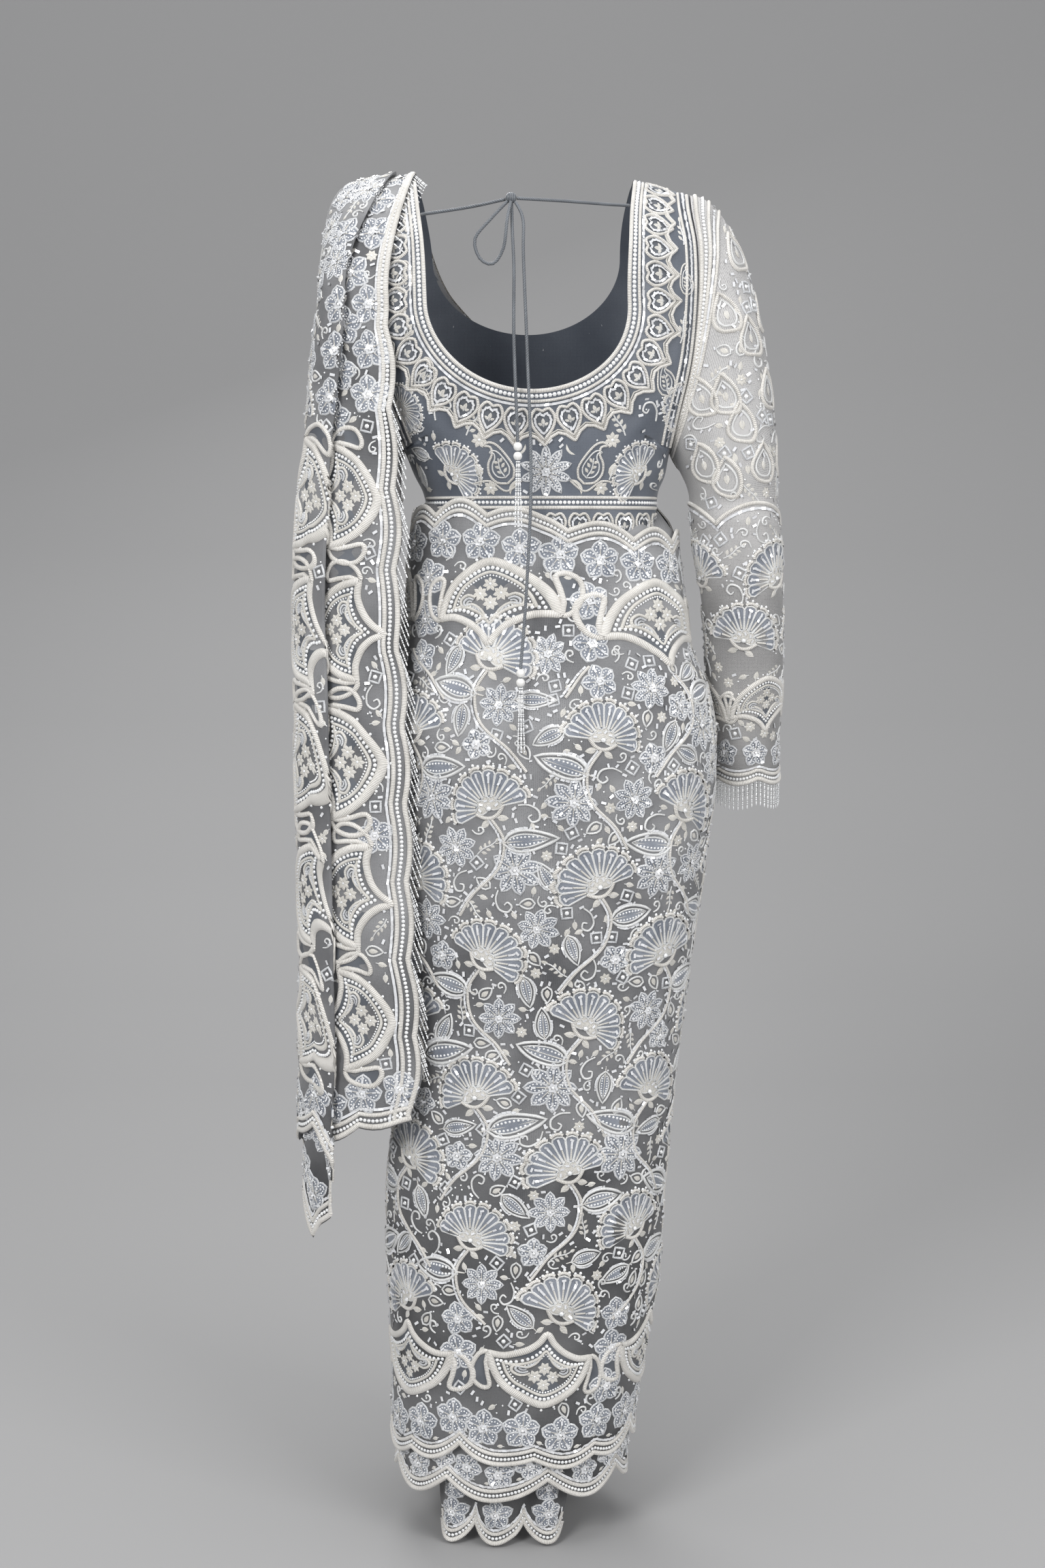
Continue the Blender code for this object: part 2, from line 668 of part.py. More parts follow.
def finish(name, mesh_object, look):
    """Give an object its name and its finish."""
    mesh_object.name = name
    mesh_object.data.name = name
    material = bpy.data.materials.new(name)
    material.use_nodes = True
    shader = material.node_tree.nodes["Principled BSDF"]
    shader.inputs["Base Color"].default_value = (*look.colour, 1.0)
    shader.inputs["Roughness"].default_value = look.roughness
    shader.inputs["Metallic"].default_value = look.metallic
    mesh_object.data.materials.clear()
    mesh_object.data.materials.append(material)
    return mesh_object


def new_object(name, sheet, look):
    mesh = bpy.data.meshes.new(name)
    sheet.to_mesh(mesh)
    sheet.free()
    mesh.shade_smooth()
    made = bpy.data.objects.new(name, mesh)
    bpy.context.collection.objects.link(made)
    return finish(name, made, look)


def sheet_from_rows(rows, closed=False):
    """Grid of faces through rows of points; a closed one joins its last column to its first."""
    columns = len(rows[0]) if closed else len(rows[0]) - 1
    sheet = bmesh.new()
    bmesh.ops.create_grid(sheet, x_segments=columns, y_segments=len(rows) - 1, size=1.0)
    sheet.verts.ensure_lookup_table()
    for j, row in enumerate(rows):
        for i in range(columns + 1):
            sheet.verts[j * (columns + 1) + i].co = row[i % len(row)]
    if closed:
        bmesh.ops.remove_doubles(sheet, verts=sheet.verts, dist=1e-6)
    return sheet


def turn_outwards(sheet, axis_x=0.0):
    """Point the sheet's faces away from an upright axis."""
    sheet.normal_update()
    outward = sum(face.normal.dot(Vector((face.calc_center_median().x - axis_x,
                                          face.calc_center_median().y, 0.0)))
                  for face in sheet.faces)
    if outward < 0:
        bmesh.ops.reverse_faces(sheet, faces=sheet.faces)


def place_of(vert):
    return tuple(round(value, 7) for value in vert.co)


def thicken(sheet, wall, inward):
    """Give a sheet its wall, inwards or to both sides; an edge beside the plane y = 0 stays there."""
    sheet.normal_update()
    ways = {}
    for vert in sheet.verts:
        way = vert.normal.copy()
        if abs(vert.co.y) < SEAM_REACH:
            way = Vector((way.x, 0.0, way.z)).normalized()
        if not inward:
            vert.co += way * wall / 2.0
        ways[place_of(vert)] = way
    grown = bmesh.ops.extrude_face_region(sheet, geom=list(sheet.faces))
    for item in grown["geom"]:
        if isinstance(item, bmesh.types.BMVert):
            item.co -= ways[place_of(item)] * wall
    bmesh.ops.recalc_face_normals(sheet, faces=sheet.faces)
    if sheet.calc_volume(signed=True) < 0.0:
        bmesh.ops.reverse_faces(sheet, faces=sheet.faces)


def cloth(name, rows, wall, look, closed=False, inward=True, axis_x=0.0):
    """A wall of cloth through rows of points, thickened inwards or to both sides."""
    sheet = sheet_from_rows(rows, closed)
    turn_outwards(sheet, axis_x)
    thicken(sheet, wall, inward)
    return new_object(name, sheet, look)


def blouse_panel(name, front):
    """Front or back of the blouse: two mirrored halves, joined down the centre below the neckline."""
    last = LOWER_ROWS + ARMHOLE_ROWS
    sheet = bmesh.new()
    for side in (-1.0, 1.0):
        rows = [[panel_world(row, i / PANEL_COLUMNS, front, side) for i in range(PANEL_COLUMNS + 1)]
                for row in range(last + 1)]
        half = sheet_from_rows(rows)
        turn_outwards(half)
        mesh = bpy.data.meshes.new("half")
        half.to_mesh(mesh)
        half.free()
        sheet.from_mesh(mesh)
        bpy.data.meshes.remove(mesh)
    bmesh.ops.remove_doubles(sheet, verts=sheet.verts, dist=1e-6)
    thicken(sheet, BLOUSE_WALL, True)
    return new_object(name, sheet, LINED_GREY)


def fringe(name, line, outs, drops, closed):
    """Strip along a line with strands hanging from it; outs and drops give each point's directions."""
    height = STRIP_HEIGHT
    rows = [line, [point + drop * height for point, drop in zip(line, drops)]]
    sheet = sheet_from_rows(rows, closed)
    count = len(line) if closed else len(line) - 1
    roots = []
    sheet.faces.ensure_lookup_table()
    grown = bmesh.ops.extrude_face_region(sheet, geom=list(sheet.faces))
    moved = [item for item in grown["geom"] if isinstance(item, bmesh.types.BMVert)]
    for vert in moved:
        nearest = min(range(len(line)), key=lambda i: min((line[i] - vert.co).length,
                                                          (rows[1][i] - vert.co).length))
        vert.co += outs[nearest] * STRIP_WALL
    bmesh.ops.recalc_face_normals(sheet, faces=sheet.faces)
    middle = [(a + b) / 2.0 for a, b in zip(rows[1], rows[1][1:] + rows[1][:1])]
    for i in range(0, count, 2):
        reach = outs[i] * STRIP_WALL / 2.0
        face = min(sheet.faces, key=lambda f: (f.calc_center_median() - middle[i] - reach).length)
        roots.append((face, i))
    for face, i in roots:
        made = bmesh.ops.extrude_discrete_faces(sheet, faces=[face])["faces"][0]
        length = CUFF_STRAND_LENGTH if closed else PALLU_STRAND_LENGTH
        shift = drops[i] * length
        centre = made.calc_center_median()
        for vert in made.verts:
            vert.co = centre + (vert.co - centre) * 0.7 + shift
    return new_object(name, sheet, BEADS)


def split_line(points, strands, closed):
    """Points along a line in pairs, narrow where a strand hangs and wider between the strands."""
    if closed:
        points = points + [points[0]]
    lengths = [0.0]
    for before, after in zip(points, points[1:]):
        lengths.append(lengths[-1] + (after - before).length)
    shares = []
    for strand in range(strands):
        shares += [strand / strands, (strand + STRAND_SHARE) / strands]
    if not closed:
        shares.append(1.0)
    line = []
    for share in shares:
        at = share * lengths[-1]
        low = max(i for i in range(len(lengths) - 1) if lengths[i] <= at)
        part = (at - lengths[low]) / (lengths[low + 1] - lengths[low])
        line.append(points[low].lerp(points[low + 1], part))
    return line


def cuff_fringe(name, ring, axis):
    """Fringe round a cuff, just under its edge and along the wall's own direction."""
    down = Vector((0.0, 0.0, -1.0))
    line = split_line(ring, CUFF_STRANDS, True)
    outs = [Vector((p.x - axis.x, p.y - axis.y, 0.0)).normalized() for p in line]
    line = [p + down * SEAM_GAP * 4.0 - out * STRIP_WALL for p, out in zip(line, outs)]
    return fringe(name, line, outs, [down] * len(line), True)


def tie(name, points, pitch):
    """Round cord along a smooth curve through the points of its route, in steps of a given pitch."""
    fine = []
    for i in range(len(points) - 1):
        before = points[max(i - 1, 0)]
        start, end = points[i], points[i + 1]
        after = points[min(i + 2, len(points) - 1)]
        steps = max(1, round((end - start).length / pitch))
        for step in range(steps):
            fine.append(curve_between(start, (end - before) / 2.0, end, (after - start) / 2.0,
                                      step / steps))
    fine.append(points[-1])
    curve = bpy.data.curves.new(name, 'CURVE')
    curve.dimensions = '3D'
    curve.bevel_depth = TIE_DIAMETER / 2.0
    curve.bevel_resolution = TIE_SIDES_RESOLUTION
    curve.use_fill_caps = True
    spline = curve.splines.new('POLY')
    spline.points.add(len(fine) - 1)
    for target, point in zip(spline.points, fine):
        target.co = (*point, 1.0)
    made = bpy.data.objects.new(name, curve)
    bpy.context.collection.objects.link(made)
    return finish(name, made, TIE_GREY)


def bead(name, centre, radius, look):
    ball = bmesh.new()
    bmesh.ops.create_icosphere(ball, subdivisions=2, radius=radius)
    bmesh.ops.translate(ball, verts=ball.verts, vec=centre)
    return new_object(name, ball, look)


def tassel(name, top):
    """Small head with six beaded strands."""
    head = bmesh.new()
    bmesh.ops.create_grid(head, x_segments=3, y_segments=2, size=0.5)
    cell = TASSEL_CELL
    for vert in head.verts:
        vert.co = Vector((vert.co.x * 3.0 * cell, vert.co.y * 2.0 * cell, 0.0)) + top
    below = list(head.faces)
    grown = bmesh.ops.extrude_face_region(head, geom=below)
    for item in grown["geom"]:
        if isinstance(item, bmesh.types.BMVert):
            item.co.z -= cell
    bmesh.ops.recalc_face_normals(head, faces=head.faces)
    lower = [face for face in head.faces if face.normal.z < -0.9]
    for face in lower:
        made = bmesh.ops.extrude_discrete_faces(head, faces=[face])["faces"][0]
        centre = made.calc_center_median()
        spread = (centre - top) * 0.5
        for vert in made.verts:
            vert.co = centre + (vert.co - centre) * 0.7 + Vector((spread.x, spread.y, -TASSEL_LENGTH))
    return new_object(name, head, BEADS)


def build_blouse():
    blouse_panel("blouse_back", False)
    blouse_panel("blouse_front", True)
    for side, word, table in ((-1.0, "right", RIGHT_ARM), (1.0, "left", LEFT_ARM)):
        rows = sleeve_rows(side)
        cloth("sleeve_" + word, rows, BLOUSE_WALL, NET_SILVER, closed=True, axis_x=side * 0.21)
        last = table[-1]
        cuff_fringe("cuff_fringe_" + word, rows[-1], Vector((side * last.centre_x, last.centre_y, 0.0)))


def build_wraps():
    cloth("sari_outer_wrap", outer_wrap_rows(), SARI_WALL, NET_SILVER)
    middle = under_wrap_rows(-165.0, 165.0, MIDDLE_COLUMNS, MIDDLE_HEIGHTS, middle_hem, middle_inset)
    cloth("sari_middle_wrap", middle, SARI_WALL, NET_SILVER)
    inner = under_wrap_rows(-66.0, 78.0, INNER_COLUMNS, INNER_HEIGHTS, inner_hem, inner_inset)
    cloth("sari_inner_wrap", inner, SARI_WALL, NET_SILVER)
    cloth("sari_pleats", pleat_rows(), SARI_WALL, NET_SILVER, inward=False)


def build_pallu():
    cloth("sari_front_drape", drape_rows(), SARI_WALL, NET_SILVER, inward=False)
    rows = pallu_rows()
    cloth("sari_pallu", rows, SARI_WALL, NET_SILVER, inward=False)
    edge = [row[0] for row in rows[FRINGE_FIRST_ROW:-1]]
    line = split_line(edge, PALLU_STRANDS, False)
    out = Vector((0.0, -1.0, 0.0))
    drop = Vector((-0.35, 0.35, -0.87)).normalized()
    line = [point + Vector((-0.0012, SARI_WALL * 0.6, 0.0)) for point in line]
    fringe("pallu_fringe", line, [out] * len(line), [drop] * len(line), False)


def rim_point(row, side):
    """Middle of the back neckline's cut edge, between two rows of the panel."""
    low = math.floor(row)
    edge = panel_world(low, 0.0, False, side).lerp(panel_world(low + 1, 0.0, False, side), row - low)
    inward = Vector((-0.5 * side, -math.sqrt(0.75), 0.0))
    return edge + inward * BLOUSE_WALL / 2.0


def build_tail(word, route):
    """One hanging end of the tie: its cord, then two pearls and a tassel below it."""
    tie("tie_tail_" + word, route, TIE_LONG_PITCH)
    place = route[-1].copy()
    place.z -= SEAM_GAP + PEARL_RADIUS
    for number in (1, 2):
        bead(f"tie_pearl_{word}_{number}", place, PEARL_RADIUS, PEARL)
        place.z -= SEAM_GAP + 2.0 * PEARL_RADIUS
    place.z += PEARL_RADIUS
    tassel("tie_tassel_" + word, place)


def build_ties():
    """Tie across the upper back, its loop, and two tails with pearls and tassels."""
    knot = at_height(0.034, 0.0975, 1.493)
    bead("tie_knot", knot, KNOT_RADIUS, TIE_GREY)
    reach = KNOT_RADIUS + SEAM_GAP

    def out_of_knot(x, y, z):
        return knot + Vector((x, y, z)).normalized() * reach

    for word, side, row, leave, bends in (
            ("left", 1.0, 12.7, (1.0, -0.15, -0.20),
             [at_height(0.112, 0.0795, 1.481), at_height(0.075, 0.0915, 1.485)]),
            ("right", -1.0, 12.99, (-1.0, -0.10, -0.05),
             [at_height(-0.065, 0.0750, 1.490), at_height(-0.020, 0.0905, 1.491)])):
        rim = rim_point(row, side)
        rim += (bends[0] - rim).normalized() * (SEAM_GAP + TIE_RIM_REACH)
        tie("tie_" + word, [rim] + bends + [out_of_knot(*leave)], TIE_LONG_PITCH)
    tie("tie_loop", [out_of_knot(0.62, 0.45, -0.64), at_height(0.056, 0.1030, 1.470),
                     at_height(0.072, 0.1040, 1.450), at_height(0.067, 0.1060, 1.430),
                     at_height(0.053, 0.1090, 1.424), at_height(0.042, 0.1100, 1.440),
                     at_height(0.038, 0.1090, 1.470), out_of_knot(0.05, 0.72, -0.69)], TIE_SHORT_PITCH)
    build_tail("short", [out_of_knot(-0.08, 0.10, -0.99), at_height(0.0325, 0.1040, 1.455),
                         at_height(0.031, 0.1110, 1.416), at_height(0.031, 0.1170, 1.345),
                         at_height(0.027, 0.1185, 1.239)])
    build_tail("long", [out_of_knot(-0.68, 0.30, -0.67), at_height(0.0215, 0.1050, 1.470),
                        at_height(0.021, 0.1110, 1.430), at_height(0.017, 0.1160, 1.330),
                        at_height(0.013, 0.1200, 1.200), at_height(0.018, 0.1270, 1.080),
                        at_height(0.024, 0.1375, 1.001)])


def main():
    for old in list(bpy.data.objects):
        bpy.data.objects.remove(old, do_unlink=True)
    build_blouse()
    build_wraps()
    build_pallu()
    build_ties()


main()
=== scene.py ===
"""A hand-embroidered net sari with its lined blouse, hollow as worn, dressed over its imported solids.

Heights are in metres above the floor that the longest hem reaches, and the waist's centre is the origin.
The garment's back faces +Y and its left is +X.
"""

from __future__ import annotations

import logging
import math
from dataclasses import dataclass, field
from enum import Enum
from typing import Callable, Sequence

import bmesh
import bpy
import numpy as np
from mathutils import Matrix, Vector
from mathutils.bvhtree import BVHTree

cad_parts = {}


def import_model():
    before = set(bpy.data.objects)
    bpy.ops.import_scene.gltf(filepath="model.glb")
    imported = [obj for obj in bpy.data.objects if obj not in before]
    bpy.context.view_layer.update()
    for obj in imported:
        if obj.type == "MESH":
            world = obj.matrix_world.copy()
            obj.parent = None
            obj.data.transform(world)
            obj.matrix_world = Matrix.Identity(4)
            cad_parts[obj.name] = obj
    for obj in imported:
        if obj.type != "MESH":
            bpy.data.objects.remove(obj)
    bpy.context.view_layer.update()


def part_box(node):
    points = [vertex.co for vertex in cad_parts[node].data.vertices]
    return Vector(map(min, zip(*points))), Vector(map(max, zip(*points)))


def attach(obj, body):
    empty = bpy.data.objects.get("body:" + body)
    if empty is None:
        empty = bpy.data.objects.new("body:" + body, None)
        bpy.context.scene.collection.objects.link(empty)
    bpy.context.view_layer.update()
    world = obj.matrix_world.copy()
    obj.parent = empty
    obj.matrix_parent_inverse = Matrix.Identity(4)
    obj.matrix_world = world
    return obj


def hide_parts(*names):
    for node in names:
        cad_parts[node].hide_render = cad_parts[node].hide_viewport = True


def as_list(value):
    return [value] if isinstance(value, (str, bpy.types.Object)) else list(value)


LOG = logging.getLogger("sari")
Array = np.ndarray
Rows = Sequence[Sequence[float]]
Span = tuple[float, float]
Bit = tuple[Array, Array, Array]

WAIST_HEIGHT = 1.120
SQUARENESS = 0.88
UV_NAME = "cloth"
LAYER_PITCH = 0.0042
FOLD_SPAN = 1.42
GIRTH_RADIUS = 0.165
HALF_SEAM = 0.00015
LARGEST_SMALL = 0.0225
STITCH_LIFT = 0.0003
SEQUIN_LIFT = 0.0007
DOWN = np.array([0.0, 0.0, -1.0])


# Smooth tables and small helpers

def ease(share: Array | float) -> Array:
    """Smooth step from 0 to 1."""
    share = np.clip(share, 0.0, 1.0)
    return share * share * (3.0 - 2.0 * share)


def mix(low: Array | float, high: Array | float, share: Array | float) -> Array:
    """Straight blend of two values."""
    return low + (high - low) * share


def signed_power(value: Array, exponent: float) -> Array:
    """Power that keeps the sign."""
    return np.copysign(np.abs(value) ** exponent, value)


def lobes(turn: Array | float, pitch: float, start: float = 0.0) -> Array:
    """Row of round lobes: 0 at each cusp and 1 at each lobe's middle."""
    return np.abs(np.sin(math.pi * (np.asarray(turn, float) - start) / pitch))


def unit(vectors: Array) -> Array:
    """Vectors of length one."""
    return vectors / np.maximum(np.linalg.norm(vectors, axis=-1, keepdims=True), 1e-9)


def place(x: Array, y: Array, height: Array) -> Array:
    """Points of the frame from x, y and a height above the floor."""
    x, y, height = np.broadcast_arrays(x, y, height)
    return np.stack([x, y, height - WAIST_HEIGHT], axis=-1)


def hermite(start: Array, leave: Array, end: Array, arrive: Array, t: Array | float) -> Array:
    """Point of a smooth curve with given end directions."""
    return (start * (2 * t ** 3 - 3 * t ** 2 + 1) + leave * (t ** 3 - 2 * t ** 2 + t)
            + end * (3 * t ** 2 - 2 * t ** 3) + arrive * (t ** 3 - t ** 2))


def compass(turn: Array | float) -> tuple[Array, Array]:
    """Sideways and backward shares of a squarish section at a turn in degrees."""
    angle = np.radians(turn)
    return signed_power(np.sin(angle), SQUARENESS), signed_power(np.cos(angle), SQUARENESS)


def summed(steps: Array) -> Array:
    """Sum of the steps before each place, from 0."""
    return np.concatenate([[0.0], np.cumsum(steps)])


def walked(points: Array) -> Array:
    """Length walked up to each point of a path; a missing point adds nothing."""
    return summed(np.nan_to_num(np.linalg.norm(np.diff(points, axis=0), axis=1)))


def turning(degrees: float) -> Array:
    """Matrix that turns rows of flat points counter-clockwise."""
    angle = math.radians(degrees)
    return np.array([[math.cos(angle), math.sin(angle)], [-math.sin(angle), math.cos(angle)]])


class Table:
    """Short table whose columns are read as smooth curves of its first column."""

    def __init__(self, columns: str, rows: Rows) -> None:
        """Sort the rows, whose first column is the key, and work out the slope at each."""
        data = np.array(sorted(tuple(row) for row in rows), dtype=float)
        self.keys = data[:, 0]
        self.values = dict(zip(columns.split()[1:], data[:, 1:].T))
        last = len(data) - 1
        before = np.maximum(np.arange(last + 1) - 1, 0)
        after = np.minimum(np.arange(last + 1) + 1, last)
        self.slopes = {name: (value[after] - value[before]) / (self.keys[after] - self.keys[before])
                       for name, value in self.values.items()}

    def read(self, name: str, at: Array | float) -> Array:
        """Values of one column at some keys, held level past the ends."""
        at = np.clip(np.asarray(at, dtype=float), self.keys[0], self.keys[-1])
        low = np.clip(np.searchsorted(self.keys, at, side="right") - 1, 0, len(self.keys) - 2)
        span = self.keys[low + 1] - self.keys[low]
        value, slope = self.values[name], self.slopes[name]
        return hermite(value[low], span * slope[low], value[low + 1], span * slope[low + 1],
                       (at - self.keys[low]) / span)

    def reach(self, cosine: Array, at: Array | float) -> Array:
        """Depth to the back, or to the front where the cosine is negative."""
        return np.where(cosine > 0, self.read("back", at), self.read("front", at))


TORSO = Table("height centre half back front", [
    (1.110, 0.000, 0.126, 0.0865, 0.0930), (1.160, 0.000, 0.1270, 0.0860, 0.0940),
    (1.187, 0.002, 0.1300, 0.0875, 0.0970), (1.206, 0.003, 0.1385, 0.0910, 0.1040),
    (1.234, 0.006, 0.1475, 0.0960, 0.1160), (1.254, 0.008, 0.1600, 0.0990, 0.1230),
    (1.290, 0.011, 0.1780, 0.1040, 0.1270), (1.330, 0.013, 0.1900, 0.1070, 0.1230),
    (1.386, 0.017, 0.2000, 0.1060, 0.1080), (1.450, 0.018, 0.2000, 0.0980, 0.0860),
    (1.490, 0.0195, 0.1980, 0.0860, 0.0700), (1.560, 0.0195, 0.1900, 0.0640, 0.0560)])

SKIRT = Table("height centre half back front", [
    (0.000, 0.037, 0.142, 0.108, 0.138), (0.100, 0.034, 0.140, 0.108, 0.136),
    (0.200, 0.027, 0.144, 0.107, 0.133), (0.300, 0.021, 0.154, 0.106, 0.130),
    (0.400, 0.018, 0.157, 0.103, 0.127), (0.500, 0.010, 0.158, 0.103, 0.124),
    (0.600, 0.003, 0.163, 0.108, 0.122), (0.700, -0.003, 0.170, 0.118, 0.120),
    (0.780, -0.008, 0.176, 0.128, 0.118), (0.860, -0.011, 0.181, 0.134, 0.116),
    (0.920, -0.012, 0.182, 0.134, 0.115), (0.975, -0.010, 0.174, 0.126, 0.113),
    (1.020, -0.004, 0.161, 0.114, 0.110), (1.060, -0.004, 0.156, 0.104, 0.107),
    (1.115, -0.002, 0.150, 0.0890, 0.1005), (1.145, -0.002, 0.147, 0.0884, 0.1000),
    (1.190, -0.001, 0.138, 0.0886, 0.1000)])

ARMHOLE = Table("height half", [
    (1.234, 0.1475), (1.254, 0.1530), (1.320, 0.1720), (1.386, 0.1830), (1.450, 0.1840),
    (1.492, 0.1795), (1.510, 0.1790)])

RIGHT_ARM = Table("height centre_x centre_y half_x half_y", [
    (1.180, 0.2115, 0.004, 0.0485, 0.0520), (1.120, 0.2180, 0.002, 0.0490, 0.0520),
    (1.060, 0.2245, -0.008, 0.0450, 0.0480), (0.980, 0.2290, -0.024, 0.0430, 0.0450),
    (0.920, 0.2310, -0.037, 0.0395, 0.0420), (0.885, 0.2320, -0.043, 0.0390, 0.0410),
    (0.866, 0.2320, -0.045, 0.0400, 0.0420)])

LEFT_ARM = Table("height centre_x centre_y half_x half_y", [
    (1.180, 0.2030, 0.004, 0.0465, 0.0520), (1.120, 0.2090, 0.002, 0.0460, 0.0500),
    (1.060, 0.2140, -0.002, 0.0430, 0.0470), (0.980, 0.2170, -0.008, 0.0410, 0.0430),
    (0.920, 0.2185, -0.014, 0.0395, 0.0410), (0.885, 0.2195, -0.017, 0.0385, 0.0400),
    (0.866, 0.2200, -0.018, 0.0390, 0.0405)])

PLEAT_SIZES = Table("height depth turn overlap", [
    (0.000, 0.0300, 0.0090, 1.18), (0.500, 0.0210, 0.0065, 1.34),
    (0.900, 0.0130, 0.0042, 1.48), (1.140, 0.0100, 0.0036, 1.55)])

PALLU = Table("height inner outer back front", [
    (1.400, 0.165, 0.2350, 0.088, 0.056), (1.340, 0.158, 0.2430, 0.090, 0.058),
    (1.250, 0.155, 0.2520, 0.090, 0.060), (1.150, 0.150, 0.2630, 0.090, 0.062),
    (1.060, 0.152, 0.2665, 0.091, 0.062), (0.980, 0.145, 0.2665, 0.094, 0.062),
    (0.880, 0.141, 0.2665, 0.098, 0.066), (0.780, 0.139, 0.2650, 0.100, 0.052),
    (0.680, 0.137, 0.2650, 0.101, 0.046), (0.580, 0.130, 0.2670, 0.100, 0.042),
    (0.480, 0.141, 0.2680, 0.099, 0.040), (0.360, 0.146, 0.2690, 0.098, 0.038)])

DRAPE = Table("along upper_turn upper_height lower_turn lower_height lift", [
    (0.00, 262.0, 1.150, 262.0, 0.128, -0.0007), (0.14, 246.0, 1.168, 241.0, 0.200, 0.0050),
    (0.28, 230.0, 1.192, 222.0, 0.370, 0.0120), (0.42, 214.0, 1.225, 203.0, 0.600, 0.0210),
    (0.56, 199.0, 1.262, 184.0, 0.840, 0.0210), (0.70, 186.0, 1.305, 163.0, 1.030, 0.0170),
    (0.84, 174.0, 1.350, 142.0, 1.160, 0.0130), (1.00, 160.0, 1.405, 122.0, 1.290, 0.0110)])

# Folded section of the pallu: across is 0 at the inner border and 1 at the outer side of the arm
FOLD_ACROSS, FOLD_LAYER, FOLD_END = np.array([
    (0.00, 0.0, 0.500), (0.28, 0.0, 0.490), (0.56, 0.0, 0.470), (0.84, 0.0, 0.430),
    (0.85, 0.6, 0.400), (0.64, 1.0, 0.362), (0.45, 1.4, 0.392), (0.43, 2.0, 0.455),
    (0.60, 2.0, 0.490), (0.80, 2.0, 0.476), (1.00, 2.0, 0.458), (1.16, 2.0, 0.442),
    (1.30, 2.0, 0.428), (1.42, 2.0, 0.416), (1.42, 1.4, 0.406), (1.25, 1.0, 0.400),
    (1.08, 0.6, 0.404), (1.07, 0.0, 0.414), (1.22, 0.0, 0.424), (1.36, 0.0, 0.430)]).T


# Forms of the cloth

def section(turn: Array, height: Array, inset: Array | float = 0.0) -> Array:
    """Points of the wrapped skirt.

    Args:
        turn: degrees from the centre back towards the garment's left.
        height: metres above the floor.
        inset: how far the points lie inside the outer wrap.

    Returns:
        Points of the frame.
    """
    sine, cosine = compass(turn)
    side = (SKIRT.read("half", height) - inset) * sine
    return place(SKIRT.read("centre", height) + side, (SKIRT.reach(cosine, height) - inset) * cosine, height)


@dataclass(frozen=True)
class Crease:
    """One soft ridge or trough between two places of a chart, with its width and its rise in metres."""

    start: Span
    end: Span
    width: float
    rise: float

    def relief(self, u: Array, v: Array) -> Array:
        """Rise of the cloth at places u, v; it fades out towards both ends."""
        along = np.array(self.end) - np.array(self.start)
        length = math.hypot(*along)
        du, dv = u - self.start[0], v - self.start[1]
        t = (du * along[0] + dv * along[1]) / length ** 2
        off = (du * along[1] - dv * along[0]) / length
        fade = ease(t * 3.0 + 0.5) * ease((1.0 - t) * 3.0 + 0.5)
        return self.rise * fade * np.exp(-(off / self.width) ** 2)


def crease_rows(*rows: Sequence[float]) -> tuple[Crease, ...]:
    """Creases from rows of start u and v, end u and v, width and rise."""
    return tuple(Crease(row[0:2], row[2:4], row[4], row[5]) for row in rows)


